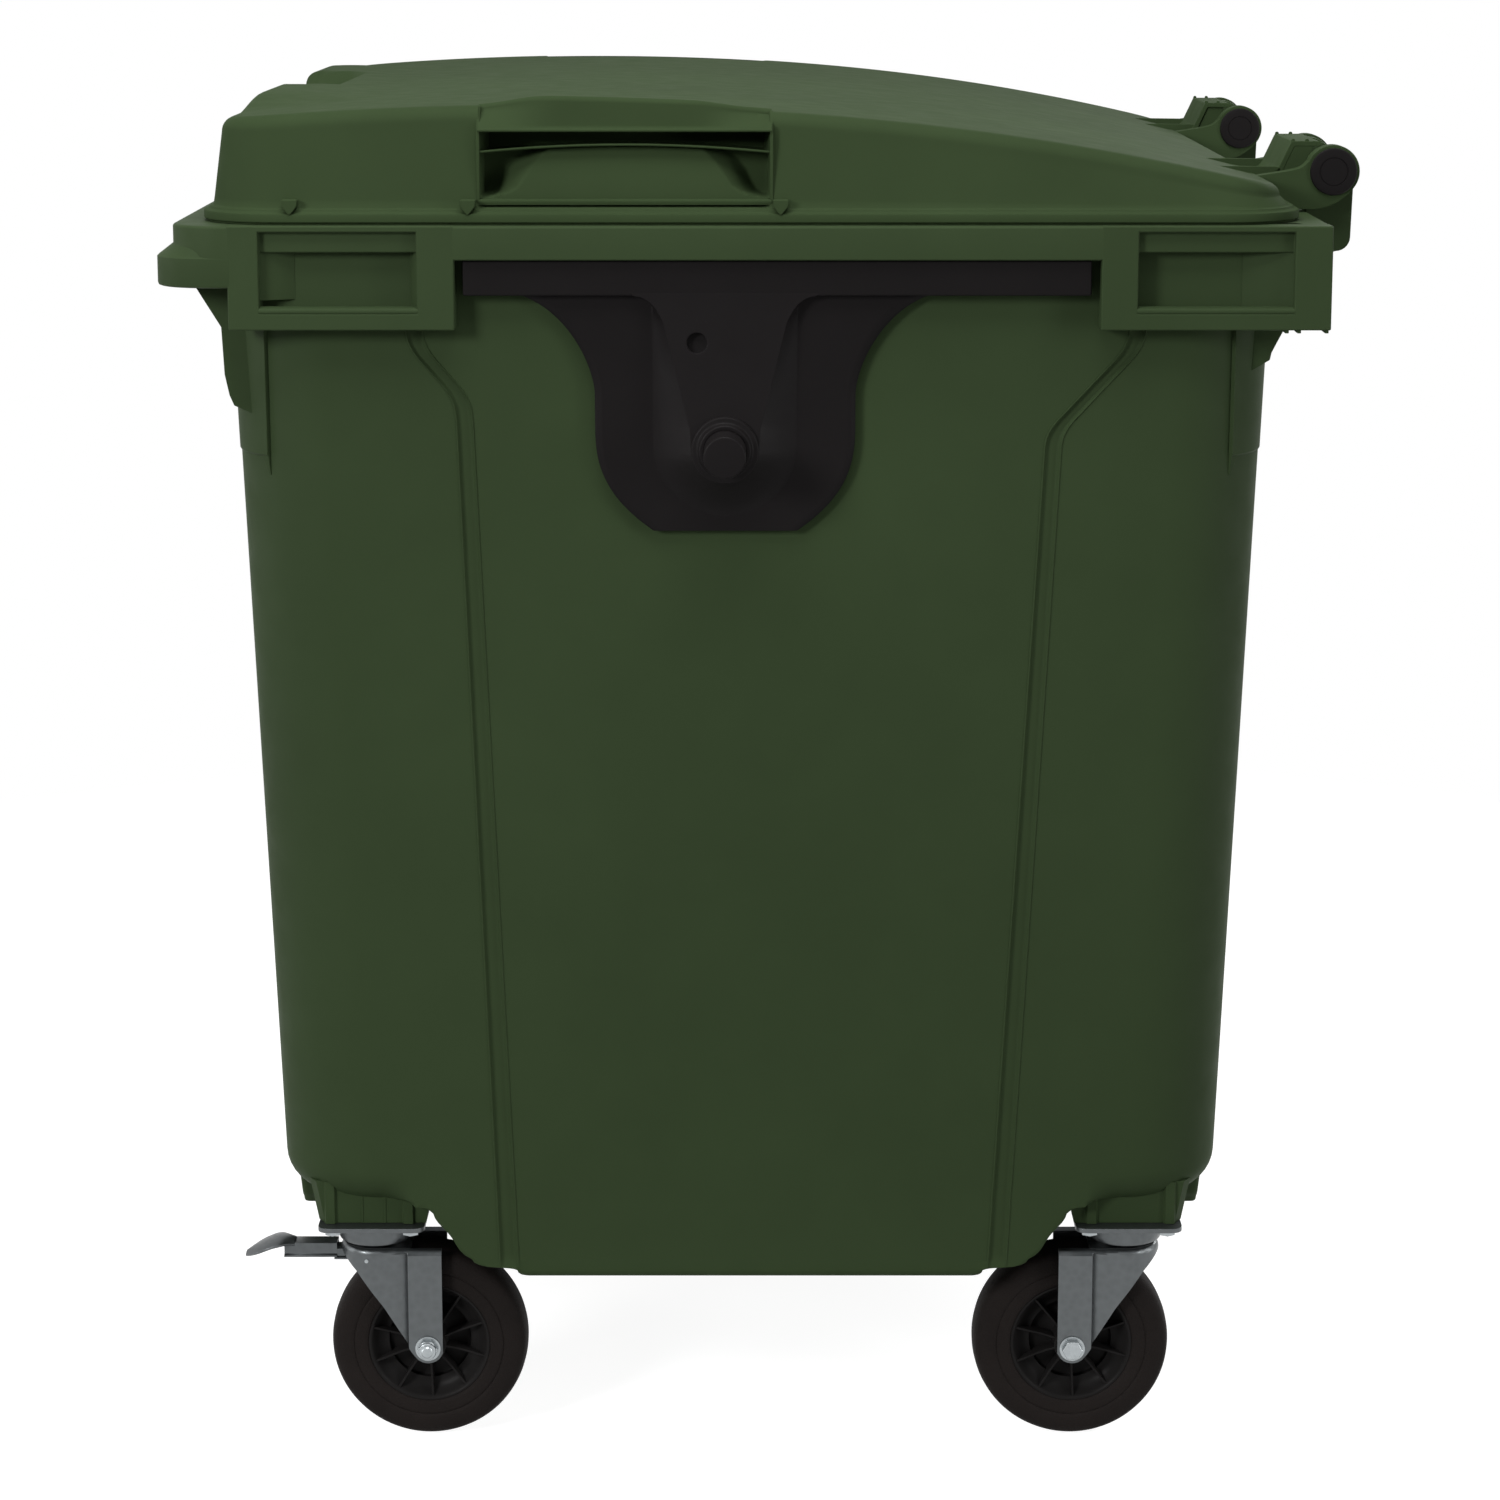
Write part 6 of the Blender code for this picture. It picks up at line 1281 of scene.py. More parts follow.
class CONTAINER_OT_hinges(bpy.types.Operator):
    """Builds the hinge pins and their four black caps"""

    bl_idname = "container.hinges"
    bl_label = "Hinge pins and caps"

    def execute(self, context):
        black = looks()["bracket black plastic"]
        for side, sign in SIDES:
            profile = ((0.0096, -0.0997), (0.0100, -0.0993), (0.0100, 0.0993), (0.0096, 0.0997))
            pin = turned(profile, "x", (sign * HINGE_X, HINGE_Y, HINGE_Z), 40)
            steel, node = looks()["bright steel"], f"hinge_pin_{side}"
            piece(f"pin_rod_{side}", [pin], steel, "container", "black_steel", (node,))
            for place, end in (("outer", sign), ("inner", -sign)):
                face = HINGE_X * sign + end * 0.1003
                profile = cap_profile() * np.array((1.0, end))
                cap = turned(profile, "x", (face, HINGE_Y, HINGE_Z), 64)
                name = f"hinge_cap_{side}_{place}"
                piece(f"cap_{side}_{place}", [cap], black, "container", "black_plastic", (name,), sharp=30)
        return {"FINISHED"}


# Trunnions


BELL_LOW = 0.952
BELL_TOP = 1.183
NECK_HALF = 0.1238
U_HALF = 0.0686
BOSS_R = 0.0318
BAR_FACE = 0.6150
EYE_Y = -0.0265
EYE_Z = 1.1350
EYE_PATCH_R = 0.0140
EYE_SINK = 0.012
BELL_FOOT = 0.1036
SHOULDER_Z = 1.085
SHOULDER_RISE = 0.098
FLARE_Z = 1.151
FLARE_RISE = 0.028


def bell_half(z):
    """Half width of the bell: a foot that swells as a power curve, a straight neck and shoulders that sweep
    out."""
    low = np.clip((z - BELL_LOW) / BELL_FOOT, 0.0, 1.0)
    high = np.clip((z - SHOULDER_Z) / SHOULDER_RISE, 0.0, 1.0)
    return 0.0685 + (NECK_HALF - 0.0685) * (1 - (1 - low) ** 2.7) + 0.0935 * (1 - np.sqrt(1 - high**1.6))


def tongue_half(z):
    """Half width of the raised tongue: straight flanks that widen upwards and flare in a quarter ellipse to
    the bar, and below the pin's centre the boss's circle."""
    straight = np.interp(z, (TRUNNION_Z, 1.0561, 1.163), (BOSS_R, 0.0336, 0.0605))
    flare = np.clip((z - FLARE_Z) / FLARE_RISE, 0.0, 1.0)
    below = np.clip((TRUNNION_Z - z) / BOSS_R, 0.0, 1.0)
    body = np.where(z < TRUNNION_Z, BOSS_R * np.sqrt(1 - below**2), straight)
    return body + 0.027 * (1 - np.sqrt(1 - flare**2))


def u_half(z):
    """Half width of the U-shaped foot line of the tongue's flanks: a half circle below the pin's centre."""
    below = np.clip((TRUNNION_Z - z) / U_HALF, 0.0, 1.0)
    return np.maximum(U_HALF * np.sqrt(1 - below**2), np.where(z > 1.1, tongue_half(z) + 0.0016, 0.0))


def bell_out(y, z):
    """How far the bell's front lies from the tub's middle: the plate follows the leaning wall, the tongue
    leans out from the bar to the boss, and between them the flanks and the cone below fall as a power of
    the share."""
    plate = half_x_at(z) + 0.0086
    drop = np.clip((1.181 - z) / (1.181 - 1.045), 0.0, 1.0)
    tongue = BAR_FACE + 0.0001 + 0.0185 * drop**1.15 - 0.0006 * smooth((z - 1.1812) / 0.0015)
    round_part = z < TRUNNION_Z
    radius = np.hypot(y, np.where(round_part, z - TRUNNION_Z, 0.0))
    inner = np.where(round_part, BOSS_R, tongue_half(z))
    outer = np.where(round_part, U_HALF, u_half(z))
    share = np.clip((radius - inner) / np.maximum(outer - inner, 1e-5), 0.0, 1.0)
    return plate + np.maximum(tongue - plate, 0.0) * (1 - share) ** 1.25


def bell_face(sign):
    """The bell's front as a net whose columns follow the tongue's edge, the U line and the plate's own
    edge."""
    turn = np.linspace(0.0, pi / 2, 20)
    boss = TRUNNION_Z - BOSS_R * np.cos(turn[::3])
    rows = np.concatenate((
        BELL_LOW + BELL_FOOT * (1 - np.cos(turn)), TRUNNION_Z - U_HALF * np.cos(turn), boss,
        SHOULDER_Z + SHOULDER_RISE * np.sin(turn), np.linspace(1.055, 1.114, 11),
        np.linspace(1.117, 1.153, 13), FLARE_Z + FLARE_RISE * np.sin(turn[::2]),
    ))
    rows = np.unique(np.round(rows[rows <= BELL_TOP], 5))
    tongue, foot, edge = tongue_half(rows), u_half(rows), bell_half(rows)
    foot = np.minimum(foot, edge - 0.001)
    tongue = np.minimum(tongue, foot)
    inner = np.concatenate((np.linspace(0.0, 0.95, 18), (0.985, 1.0)))[None, :]
    flank = np.array((0.025, 0.08, 0.18, 0.32, 0.48, 0.64, 0.80, 0.92, 0.98, 1.0))[None, :]
    plate = np.concatenate(((0.02, 0.06), np.linspace(0.15, 1.0, 7)))[None, :]
    right = np.concatenate((
        tongue[:, None] * inner, tongue[:, None] + (foot - tongue)[:, None] * flank,
        foot[:, None] + (edge - foot)[:, None] * plate), axis=1)
    y = np.concatenate((-right[:, ::-1], right[:, 1:]), axis=1)
    z = np.broadcast_to(rows[:, None], y.shape)
    sunk = EYE_SINK * (np.hypot(y - EYE_Y, z - EYE_Z) < EYE_PATCH_R)
    net = np.stack((sign * (bell_out(y, z) - sunk), y + TRUNNION_Y, z), axis=-1)
    return loft(net, caps=False, wrap=False)


def trunnion_bar(sign):
    """The bar above the bell, a prism along the tub whose back leans with the wall."""
    outline = ((0.5975, 1.179), (BAR_FACE, 1.179), (BAR_FACE, 1.2127), (0.5990, 1.2127))
    return prism([(sign * x, z) for x, z in outline], "y", -0.2705, 0.3220)


def trunnion_boss(sign):
    """The round boss and its collar, turned about the pin's axis with soft shoulders."""
    profile = rounded((
        (0.0320, 0.584), (0.0318, 0.637), (0.0262, 0.6375), (0.0242, 0.6430), (0.02015, 0.6430),
        (0.02015, 0.6290)), (0.0018, 0.0018, 0.0018, 0.0014, 0.0003, 0.0018), 5, closed=False)
    return turned(profile * np.array((1.0, sign)), "x", (0.0, TRUNNION_Y, TRUNNION_Z), 64)


def eye_patch(sign):
    """The tongue's face round its small eye, as rings about the eye's centre: they follow the face down to
    the eye's radius, turn in, end on a flat floor and come back behind it."""
    steps = np.array((
        (0.0222, 0.0), (0.0180, 0.0), (0.0140, 0.0), (0.0120, 0.0), (0.0104, 0.0), (0.0100, 0.0001),
        (0.0097, 0.0004), (0.0096, 0.0010), (0.0096, 0.0040), (0.0096, 0.0070), (0.0080, 0.0072),
        (0.0002, 0.0072), (0.0002, 0.0090), (0.0112, 0.0090), (0.0116, 0.0012), (0.0222, 0.0012),
    ))
    radii, deep = steps.T
    turn = np.linspace(0.0, 2 * pi, 48, endpoint=False)[None, :]
    y = EYE_Y + radii[:, None] * np.cos(turn)
    z = EYE_Z + radii[:, None] * np.sin(turn)
    x = bell_out(y, z) + 0.00006 - deep[:, None]
    return loft(np.stack((sign * x, y + TRUNNION_Y, z), axis=-1), closed=True)


class CONTAINER_OT_trunnions(bpy.types.Operator):
    """Builds the black trunnion brackets and their lifting pins"""

    bl_idname = "container.trunnions"
    bl_label = "Trunnions"

    def execute(self, context):
        black = looks()["bracket black plastic"]
        for side, sign in SIDES:
            bracket_piece(f"bell_plate_{side}", [bell_face(sign)], side, wall=0.0082,
                  offset=-sign * 1.0, closed=False, sharp=50)
            bracket_piece(f"bell_bar_{side}", [trunnion_bar(sign)], side, bevel=0.0018, segments=3)
            bracket_piece(f"bell_boss_{side}", [trunnion_boss(sign)], side)
            bracket_piece(f"bell_eye_{side}", [eye_patch(sign)], side, sharp=50)
            profile = rounded((
                (0.0080, 0.570), (0.0080, 0.6290), (0.0200, 0.6290), (0.0200, 0.6850), (0.0010, 0.6850)),
                0.0022, 5, closed=False)
            pin = turned(profile * np.array((1.0, sign)), "x", (0.0, TRUNNION_Y, TRUNNION_Z), 64)
            piece(f"lifting_pin_{side}", [pin], black, "container", "black_steel", (f"trunnion_pin_{side}",))
        return {"FINISHED"}


# Casters


def caster_names():
    """Name, signs and heel of each caster: the wheel trails towards the tub's middle."""
    for end, sign_y in ENDS:
        for side, sign_x in SIDES:
            yield f"{end}_{side}", sign_x, sign_y, -sign_y


def plate_parts(x, y):
    """The mounting plate with its swivel cup, and four bolt heads on washers under its corners."""
    signs = ((-1, -1), (1, -1), (1, 1), (-1, 1))
    plate = rounded([(x + a * PLATE_HALF_X, y + b * PLATE_HALF_Y) for a, b in signs], 0.013, 8)
    cup = rounded((
        (0.0445, -0.0002), (0.0402, -0.0030), (0.0396, -0.0190), (0.0380, -0.0250), (0.0335, -0.0250),
        (0.0335, -0.0040)), 0.002, 5)
    bolts = []
    for dx in (-0.0525, 0.0525):
        for dy in (-0.039, 0.039):
            centre = (x + dx, y + dy, PLATE_LOW_Z)
            bolts.append(turned(((0.0098, -0.0012), (0.0098, 0.0003)), "z", centre, 24))
            bolts.append(hexagon(0.0086, "z", centre, -0.0011, -0.0062))
    cup = turned(cup, "z", (x, y, PLATE_LOW_Z), 56, closed=True)
    return [prism(plate, "z", PLATE_LOW_Z, CASTER_Z), cup], bolts


PLATE_LOW_Z = 0.2335
PLATE_HALF_X = 0.0675
PLATE_HALF_Y = 0.0535
FORK_TOP_Z = 0.2045
# The lower edge of a fork's flank: ways along it from the swivel axis, and heights there
FORK_EDGE_Y = (-0.0407, -0.0182, 0.0095, 0.0353, 0.0404)
FORK_EDGE_Z = (0.2015, 0.1800, 0.1420, 0.0972, 0.0901)
FORK_FOOT_R = 0.016
AXLE_SEAT_X = 0.0382
PEDAL_TOP_Z = 0.2022
PEDAL_HALF = 0.0105
FIRST_FIN_TURN = radians(20.9)
# Columns close to the step where a fork's curved flank meets its flat leg
LEG_STEP = (0.0345, 0.0338, 0.0331, 0.0324, 0.0318, 0.0308)


def fork_sheet(x, y, heel):
    """The wrapped sheet of a fork as a net. Its plan is a half circle about the swivel axis whose flanks
    draw in as a square of the way to the straight legs, which stand out from them as flat panels. Its lower
    edge falls ever more steeply to a circle about the axle, and its top turns inwards."""
    half, end, bend = 0.0365, 0.068, 0.006
    leg = np.concatenate((np.linspace(end, 0.036, 10), LEG_STEP, np.linspace(0.029, 0.0, 12)[:-1]))
    turn = np.linspace(0.0, pi, 34)
    px = np.concatenate((np.full_like(leg, half), half * np.cos(turn), np.full_like(leg, -half)))
    py = np.concatenate((leg, -half * np.sin(turn), leg[::-1]))
    nx = np.concatenate((np.ones_like(leg), np.cos(turn), -np.ones_like(leg)))
    ny = np.concatenate((np.zeros_like(leg), -np.sin(turn), np.zeros_like(leg)))
    foot = WHEEL_R - np.sqrt(np.maximum(FORK_FOOT_R**2 - (py - TRAIL) ** 2, 0.0))
    low = np.where(py > FORK_EDGE_Y[-1], foot, np.interp(py, FORK_EDGE_Y, FORK_EDGE_Z))
    rows = []
    for share in np.linspace(0.0, 1.0, 30):
        z = low + (FORK_TOP_Z - bend - low) * share
        panel = smooth((py - 0.0318) / 0.0020) * smooth((FORK_TOP_Z - 0.001 - z) / 0.004)
        hollow = 0.0056 * (np.clip(py, 0.0, 0.0318) / 0.0318) ** 2 * smooth((0.0338 - py) / 0.0020)
        out = 0.0014 * panel - hollow
        rows.append(np.stack((px + nx * out, py + ny * out, z), axis=-1))
    for turn_up in np.linspace(0.0, pi / 2, 5)[1:]:
        inward = bend * (1 - cos(turn_up))
        z = np.full_like(px, FORK_TOP_Z - bend + bend * sin(turn_up))
        rows.append(np.stack((px - nx * inward, py - ny * inward, z), axis=-1))
    grid = np.stack(rows)
    grid[..., 1] = y + heel * grid[..., 1]
    grid[..., 0] += x
    return loft(grid, caps=False, wrap=False)


def fork_crown(x, y, heel):
    """The flat top of a fork with a dished neck up to the swivel cup."""
    legs = [(0.0325, 0.036)] + arc((0.0, 0.0), 0.0325, 0.0, -pi, 26).tolist() + [(-0.0325, 0.036)]
    outline = np.array(legs) * np.array((1.0, heel)) + np.array((x, y))
    neck = rounded((
        (0.0290, 0.2030), (0.0270, 0.2048), (0.0170, 0.2075), (0.0160, 0.2120), (0.0085, 0.2120),
        (0.0085, 0.2010)), 0.0015, 4)
    return [prism(outline, "z", 0.2006, 0.2043), turned(neck, "z", (x, y, 0.0), 40, closed=True)]


def fastener_parts(x, axle_y, sign_x, sign_y):
    """The axle: head and nut on washers outside the fork's legs, and the thread's end beyond the nut."""
    centre = (x, axle_y, WHEEL_R)
    out = -sign_x if sign_y < 0 else sign_x
    seat = AXLE_SEAT_X
    parts = [turned(((0.0060, -0.049), (0.0060, 0.044)), "x", centre, 24)]
    for way in (1, -1):
        washer = [(r, way * (seat + h)) for r, h in ((0.0128, -0.0003), (0.0128, 0.0012), (0.0062, 0.0012))]
        parts.append(turned(washer, "x", centre, 32))
    head = hexagon(0.0106, "x", centre, out * (seat + 0.0010), out * (seat + 0.0078))
    nut = hexagon(0.0106, "x", centre, -out * (seat + 0.0010), -out * (seat + 0.0075))
    thread_z = np.linspace(seat + 0.0075, seat + 0.0125, 14)
    thread = np.stack((0.0058 - 0.0004 * (np.arange(14) % 2), -out * thread_z), axis=-1)
    thread = np.concatenate((thread, [(0.0048, -out * (seat + 0.0132)), (0.0006, -out * (seat + 0.0132))]))
    corners = ((0.0090, 0.0070), (0.0086, 0.0095), (0.0062, 0.0098))
    collar = rounded([(r, -out * (seat + h)) for r, h in corners], 0.001, 4, closed=False)
    return parts, [head, nut], [turned(thread, "x", centre, 28), turned(collar, "x", centre, 32)]


def wheel_profile():
    """Half of a wheel centre's section: hub, web, stepped ring, dish and rim lip."""
    half = [
        (0.0104, 0.0318), (0.0168, 0.0318), (0.0175, 0.0311), (0.0178, 0.0120), (0.0195, 0.0040),
        (0.0230, 0.0030), (0.0395, 0.0030), (0.0412, 0.0042), (0.0420, 0.0088), (0.0440, 0.0092),
        (0.0475, 0.0098), (0.0530, 0.0140), (0.0572, 0.0190), (0.0590, 0.0222), (0.0604, 0.0228),
        (0.0616, 0.0225),
    ]
    return np.array(half + [(r, -h) for r, h in reversed(half)])


def tyre_profile():
    """Half of a tyre's section: a smooth inner band, a fine groove, a full side wall and a crowned tread."""
    half = [
        (0.0618, 0.0222), (0.0630, 0.0236), (0.0660, 0.0243), (0.0735, 0.0249), (0.0752, 0.0248),
        (0.0760, 0.0240), (0.0768, 0.0248), (0.0800, 0.0253), (0.0850, 0.0255), (0.0900, 0.0250),
        (0.0940, 0.0236), (0.0968, 0.0208), (0.0986, 0.0160), (0.0996, 0.0095), (WHEEL_R, 0.0),
    ]
    return np.array(half + [(r, -h) for r, h in reversed(half[:-1])])


def wheel_fin(centre, turn, thick):
    """A thin fin from the hub to the dish: its edge dips between them as a sine."""
    radius = np.linspace(0.0168, 0.0588, 12)
    share = (radius - radius[0]) / (radius[-1] - radius[0])
    half = 0.0215 - 0.0045 * np.sin(share * pi) * (1 - share) - 0.0010 * share
    out = np.stack((half, radius), axis=-1)
    back = np.stack((-half[::-1], radius[::-1]), axis=-1)
    outline = np.concatenate((out, back))
    rings = []
    for side in (-0.5, 0.5):
        across = side * thick
        y = outline[:, 1] * cos(turn) - across * sin(turn)
        z = outline[:, 1] * sin(turn) + across * cos(turn)
        rings.append(np.stack((outline[:, 0], y, z), axis=-1) + np.asarray(centre))
    return loft(rings)


def pedal_arm(x, y):
    """The pedal's channel arm: a flat top with a turned-down flange on each side that flares at its foot."""
    parts = []
    for top, deep, start, end in ((PEDAL_TOP_Z, 0.0140, -0.094, -0.0405), (0.1963, 0.0105, -0.043, -0.006)):
        half, foot = PEDAL_HALF, top - deep
        right = np.array((
            (half, top), (half + 0.0002, foot + 0.003), (half + 0.0035, foot + 0.002), (half + 0.0035, foot),
            (half - 0.0018, foot + 0.001), (half - 0.0025, top - 0.0022),
        ))
        outline = rounded(np.concatenate((right, right[::-1] * (-1.0, 1.0))), 0.0010, 3)
        outline[:, 0] += x
        parts.append(prism(outline, "y", y + start, y + end))
    return parts


def pedal_pad(x, y):
    """The foot pad: a spoon-shaped sheet. Its half width rises and falls as a rounded bell along Y, it dips
    towards the tip and its sides curl down."""
    along = np.linspace(0.0, 1.0, 22)[:, None]
    across = np.linspace(-1.0, 1.0, 13)[None, :]
    reach = -0.084 - 0.0485 * along
    half = PEDAL_HALF + 0.0100 * smooth(along * 2.6) - 0.0100 * along**5
    half = half * np.sqrt(np.clip(1.0 - np.clip(along - 0.62, 0, 1) ** 2 / 0.155, 0.04, 1.0))
    rise = 0.0045 * np.sin(np.clip(along * 2.2, 0, 1) * pi * 0.5)
    z = PEDAL_TOP_Z + rise - 0.018 * along**1.8 - 0.0035 * across**2
    grid = np.stack(np.broadcast_arrays(x + half * across, y + reach, z), axis=-1)
    return loft(grid, caps=False, wrap=False)


class CONTAINER_OT_casters(bpy.types.Operator):
    """Builds the four casters: plates, forks, axles, wheel centres and tyres"""

    bl_idname = "container.casters"
    bl_label = "Casters"

    def execute(self, context):
        sizes = context.scene.wheel_sizes
        for name, sign_x, sign_y, heel in caster_names():
            x, y = sign_x * SWIVEL_X, sign_y * SWIVEL_Y
            axle_y = y + heel * TRAIL
            centre = (x, axle_y, WHEEL_R)
            swivel, wheel = f"swivel_{name}", f"wheel_{name}"
            plate, bolts = plate_parts(x, y)
            metal_piece(f"mount_plate_{name}", plate, "zinc", "container", f"caster_plate_{name}",
                bevel=0.0008)
            metal_piece(f"mount_bolts_{name}", bolts, "steel", "container", f"caster_plate_{name}")
            sheet = [fork_sheet(x, y, heel)]
            metal_piece(f"fork_sheet_{name}", sheet, "zinc", swivel, f"fork_{name}", wall=0.0038,
                bevel=0.0007,
                        offset=heel * 1.0, closed=False)
            metal_piece(f"fork_crown_{name}", fork_crown(x, y, heel), "zinc", swivel, f"fork_{name}")
            rods, heads, thread = fastener_parts(x, axle_y, sign_x, sign_y)
            metal_piece(f"axle_{name}", rods + thread, "steel", swivel, f"axle_bolt_{name}")
            metal_piece(f"axle_heads_{name}", heads, "steel", swivel, f"axle_nut_{name}", f"axle_bolt_{name}",
                        bevel=0.0005)
            black, centre_node = looks()["wheel black plastic"], f"wheel_centre_{name}"
            rim = turned(wheel_profile(), "x", centre, sizes.segments, closed=True)
            turns = [2 * pi * k / sizes.fins + FIRST_FIN_TURN for k in range(sizes.fins)]
            fins = [wheel_fin(centre, turn, sizes.fin_thickness) for turn in turns]
            piece(f"wheel_rim_{name}", [rim], black, wheel, "wheel_plastic", (centre_node,), sharp=40)
            piece(f"wheel_fins_{name}", fins, black, wheel, "wheel_plastic", (centre_node,), bevel=0.0005)
            rubber = looks()["tyre rubber"]
            tyre = turned(tyre_profile(), "x", centre, sizes.segments * 2, closed=True)
            piece(f"solid_tyre_{name}", [tyre], rubber, wheel, "tyre", (f"tyre_{name}",), sharp=50)
        return {"FINISHED"}


class CONTAINER_OT_pedals(bpy.types.Operator):
    """Builds the two brake pedals on the front casters"""

    bl_idname = "container.pedals"
    bl_label = "Brake pedals"

    def execute(self, context):
        for side, sign in SIDES:
            name = f"front_{side}"
            x, y = sign * SWIVEL_X, -SWIVEL_Y
            body, node = f"pedal_{name}", f"brake_pedal_{name}"
            metal_piece(f"pedal_arm_{name}", pedal_arm(x, y), "zinc", body, node)
            metal_piece(f"pedal_pad_{name}", [pedal_pad(x, y)], "zinc", body, node, wall=0.0026, bevel=0.0006,
                        closed=False)
            shoe = box((x - 0.007, y - 0.031, 0.1885), (x + 0.007, y - 0.020, 0.1935))
            metal_piece(f"pedal_shoe_{name}", [shoe], "zinc", body, node, bevel=0.0006)
        return {"FINISHED"}


class CONTAINER_OT_finishes(bpy.types.Operator):
    """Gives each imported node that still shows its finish"""

    bl_idname = "container.finishes"
    bl_label = "Finishes of the remaining nodes"

    def execute(self, context):
        kinds = (
            ("swivel_bearing", "bright steel"), ("king_pin", "bright steel"), ("axle_bush", "bright steel"),
            ("brake_pin", "bright steel"), ("trunnion_nut", "zinc plate"), ("trunnion_screw", "zinc plate"),
            ("drain_plug", "bracket black plastic"),
        )
        for name, node in NODES.items():
            if node.hide_render:
                continue
            found = [look for start, look in kinds if name.startswith(start)]
            if not found:
                raise RuntimeError(f"node {name} has no finish")
            node.data.materials.clear()
            node.data.materials.append(looks()[found[0]])
        return {"FINISHED"}


# Stage

LIT_POINT = (0.0, 0.0, 0.7)
# Name, power's setting, place and size of each lamp that lights the object
LAMPS = (
    ("key light", "key_power", (3.8, -3.0, 2.5), (1.1, 1.1)),
    ("right light", "side_power", (2.6, 3.6, 1.7), (0.9, 2.0)),
    ("top light", "top_power", (1.2, -0.2, 3.6), (2.2, 2.2)),
    ("left light", "fill_power", (-0.4, -3.4, 1.4), (0.8, 2.4)),
    ("far light", "far_power", (-3.4, 2.6, 2.4), (1.6, 1.6)),
)
STRIP_X, STRIP_Y, STRIP_Z = 0.5, 3.2, 0.9
STRIP_SIZE = (0.5, 2.6)
FLOOR_SIZE = 60.0
FLOOR_CLEAR = (1.2, 2.6)
CAMERA_PLACE = (4.123, -0.01475, 1.5424)
CAMERA_TILT = radians(10.57)
CAMERA_SHIFT = (-0.0017, -0.10)


def area_light(name, place, size, power):
    """A rectangular lamp that faces the object's middle."""
    data = bpy.data.lights.new(name, "AREA")
    data.shape = "RECTANGLE"
    data.size, data.size_y = size
    data.energy = power
    made = bpy.data.objects.new(name, data)
    made.location = Vector(place)
    made.rotation_euler = (Vector(LIT_POINT) - Vector(place)).to_track_quat("-Z", "Y").to_euler()
    bpy.context.scene.collection.objects.link(made)
    return made


def math_node(tree, operation, first, second):
    """The result of an operation on two values, each a number or a socket."""
    node = tree.nodes.new("ShaderNodeMath")
    node.operation = operation
    for socket, value in zip(node.inputs, (first, second)):
        if isinstance(value, float):
            socket.default_value = value
        else:
            tree.links.new(value, socket)
    return node.outputs[0]


def seen_directly(tree):
    """One for rays that come from the camera, from a mirror-like surface or through a clear one."""
    path = tree.nodes.new("ShaderNodeLightPath")
    mirrored = math_node(tree, "MAXIMUM", path.outputs["Is Glossy Ray"], path.outputs["Is Transmission Ray"])
    return math_node(tree, "MAXIMUM", path.outputs["Is Camera Ray"], mirrored)


def pale_floor(colour, glow, clear_from, clear_to):
    """A floor that keeps the object's shadow. What is seen of it directly is lifted by a glow, and from one
    distance to another it turns into plain white, so that no horizon shows."""
    made, tree, shader = new_material("pale floor")
    shader.inputs["Base Color"].default_value = colour
    shader.inputs["Roughness"].default_value = 0.9
    shader.inputs["Specular IOR Level"].default_value = 0.1
    direct = seen_directly(tree)
    distance = tree.nodes.new("ShaderNodeVectorMath")
    distance.operation = "LENGTH"
    tree.links.new(object_place(tree), distance.inputs[0])
    far = spread(tree, distance.outputs["Value"], 0.0, 1.0, clear_from, clear_to)
    lift = tree.nodes.new("ShaderNodeEmission")
    tree.links.new(math_node(tree, "MULTIPLY", direct, glow), lift.inputs["Strength"])
    both = tree.nodes.new("ShaderNodeAddShader")
    tree.links.new(shader.outputs[0], both.inputs[0])
    tree.links.new(lift.outputs[0], both.inputs[1])
    white = tree.nodes.new("ShaderNodeEmission")
    mix = tree.nodes.new("ShaderNodeMixShader")
    tree.links.new(math_node(tree, "MULTIPLY", direct, far), mix.inputs[0])
    tree.links.new(both.outputs[0], mix.inputs[1])
    tree.links.new(white.outputs[0], mix.inputs[2])
    tree.links.new(mix.outputs[0], tree.nodes["Material Output"].inputs["Surface"])
    return made


def white_behind(strength):
    """An even sky that lights the object softly and looks white to the camera and in reflections."""
    world = bpy.data.worlds.new("studio sky")
    world.use_nodes = True
    tree = world.node_tree
    background = tree.nodes["Background"]
    background.inputs["Color"].default_value = (1.0, 1.0, 1.0, 1.0)
    power = spread(tree, seen_directly(tree), strength, 1.0, 0.0, 1.0)
    tree.links.new(power, background.inputs["Strength"])
    bpy.context.scene.world = world


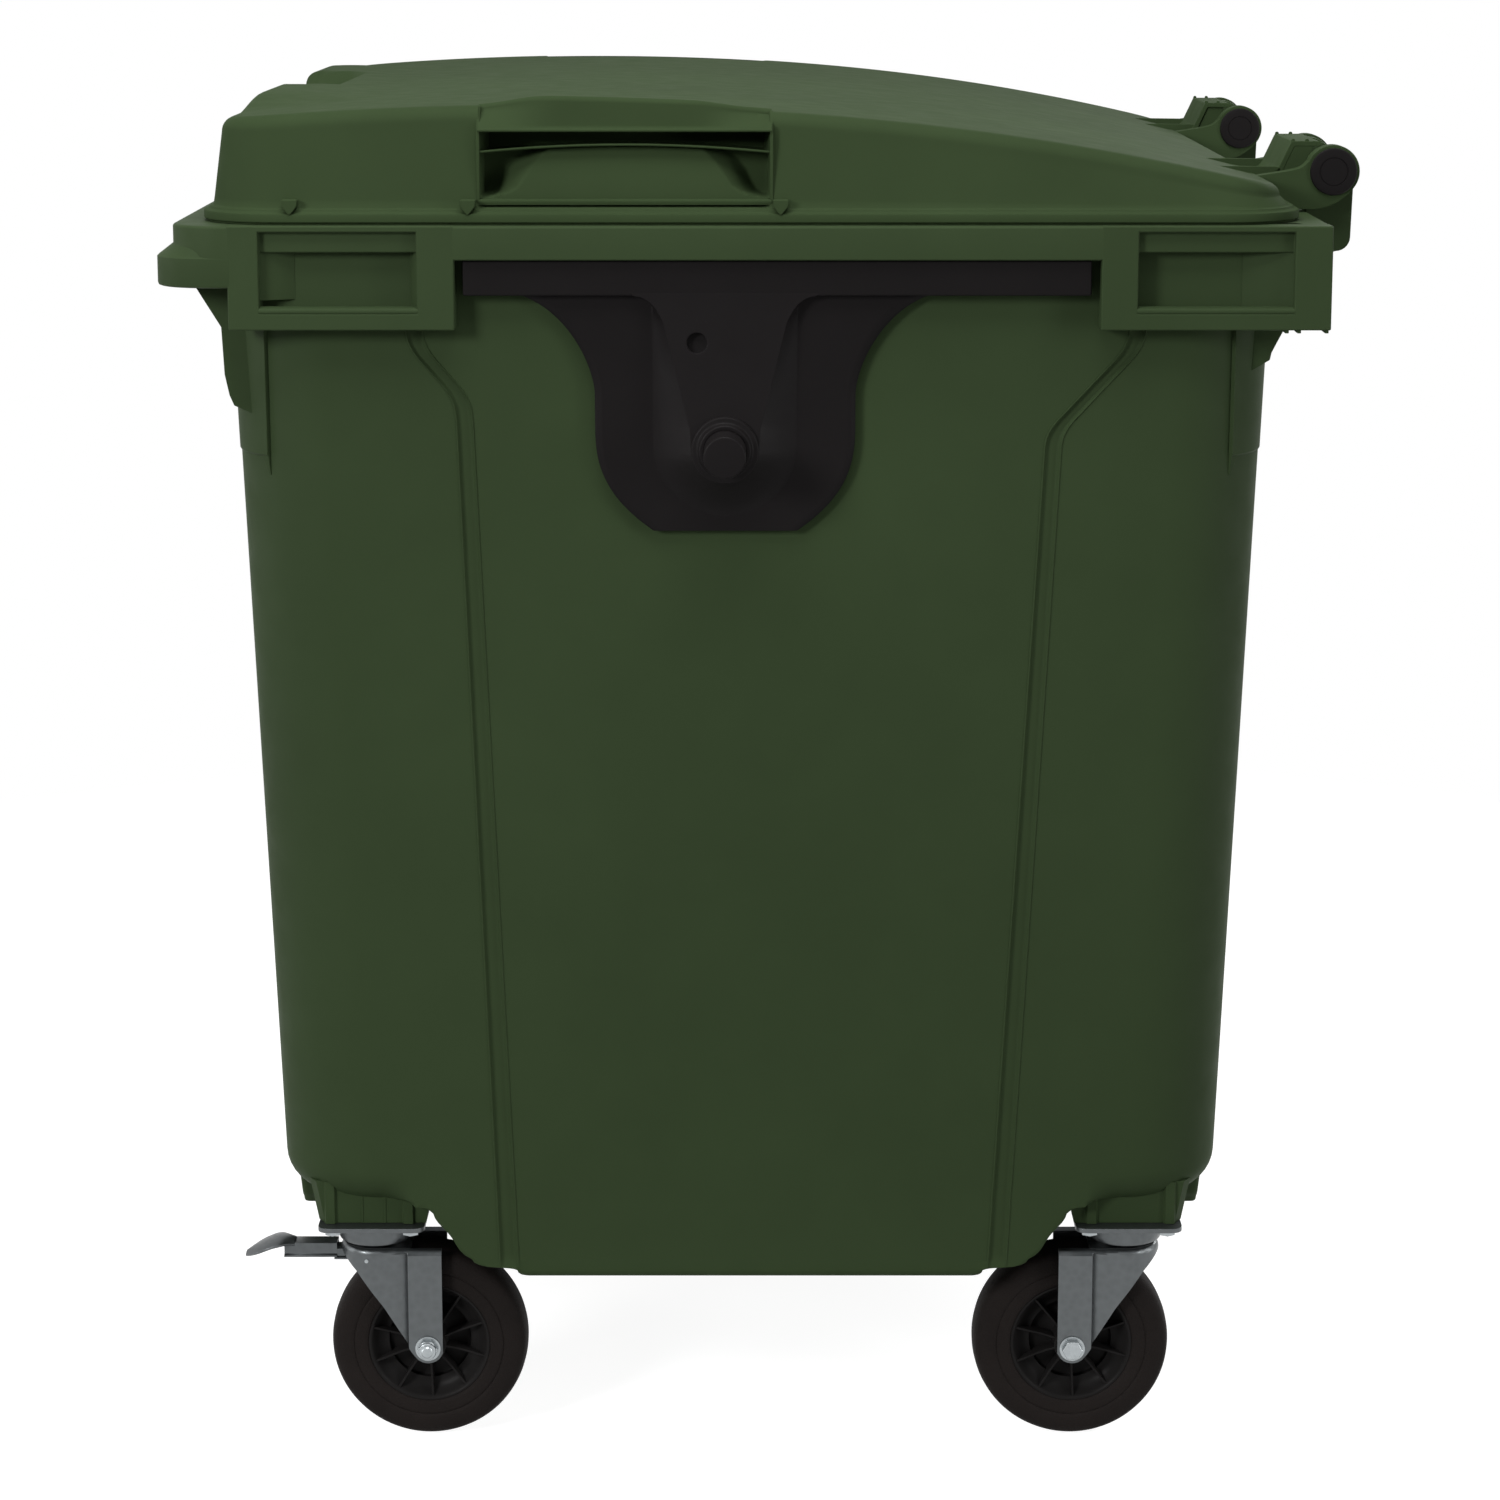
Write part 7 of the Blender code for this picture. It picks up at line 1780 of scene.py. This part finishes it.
class CONTAINER_OT_stage(bpy.types.Operator):
    """Builds the floor, the lights and the camera"""

    bl_idname = "container.stage"
    bl_label = "Stage"

    def execute(self, context):
        stage = context.scene.container_stage
        bpy.ops.mesh.primitive_plane_add(size=FLOOR_SIZE, location=(0.0, 0.0, -0.0002))
        floor = context.object
        floor.name = "floor"
        floor.data.materials.append(pale_floor(tuple(stage.floor), stage.floor_glow, *FLOOR_CLEAR))
        white_behind(stage.world_strength)
        for name, power, place, size in LAMPS:
            area_light(name, place, size, getattr(stage, power))
        for way in (-1, 1):
            place = (STRIP_X, way * STRIP_Y, STRIP_Z)
            strip = area_light(f"strip light {way}", place, STRIP_SIZE, stage.strip_power)
            strip.visible_diffuse = False
        data = bpy.data.cameras.new("camera")
        data.sensor_width = 36.0
        data.lens = stage.lens
        data.shift_x, data.shift_y = CAMERA_SHIFT
        camera = bpy.data.objects.new("camera", data)
        context.scene.collection.objects.link(camera)
        camera.location = CAMERA_PLACE
        look = Vector((-cos(CAMERA_TILT), 0.0, -sin(CAMERA_TILT)))
        camera.rotation_euler = look.to_track_quat("-Z", "Y").to_euler()
        data.clip_end = 200.0
        context.scene.camera = camera
        context.scene.view_settings.view_transform = "Standard"
        return {"FINISHED"}


class CONTAINER_PT_panel(bpy.types.Panel):
    bl_label = "Waste container"
    bl_idname = "CONTAINER_PT_panel"
    bl_space_type = "VIEW_3D"
    bl_region_type = "UI"
    bl_category = "Container"

    def draw(self, context):
        scene = context.scene
        for group in GROUPS:
            box_layout = self.layout.box()
            owner = getattr(scene, group)
            for key in owner.__annotations__:
                box_layout.prop(owner, key)
        for operator in OPERATORS:
            self.layout.operator(operator.bl_idname)


GROUPS = {
    "container_colours": ContainerColours,
    "tub_sizes": TubSizes,
    "lid_sizes": LidSizes,
    "wheel_sizes": WheelSizes,
    "container_stage": StageSettings,
}
OPERATORS = (
    CONTAINER_OT_stage, CONTAINER_OT_tub, CONTAINER_OT_lid, CONTAINER_OT_hinges, CONTAINER_OT_trunnions,
    CONTAINER_OT_casters, CONTAINER_OT_pedals, CONTAINER_OT_finishes,
)


def register():
    """Registers the settings, the operators and the panel."""
    for made in (*GROUPS.values(), *OPERATORS, CONTAINER_PT_panel):
        bpy.utils.register_class(made)
    for name, group in GROUPS.items():
        setattr(bpy.types.Scene, name, bpy.props.PointerProperty(type=group))


def unregister():
    """Takes back what register added."""
    for name in GROUPS:
        delattr(bpy.types.Scene, name)
    for made in (CONTAINER_PT_panel, *reversed(OPERATORS), *reversed(GROUPS.values())):
        bpy.utils.unregister_class(made)


def clear_startup():
    """Removes the objects of Blender's startup file."""
    for name in ("Cube", "Light", "Camera"):
        if name in bpy.data.objects:
            bpy.data.objects.remove(bpy.data.objects[name], do_unlink=True)


def main():
    """Builds the stage and every piece."""
    clear_startup()
    register()
    for operator in ("stage", "tub", "lid", "hinges", "trunnions", "casters", "pedals", "finishes"):
        getattr(bpy.ops.container, operator)()
    bpy.context.view_layer.update()


if __name__ == "__main__":
    main()
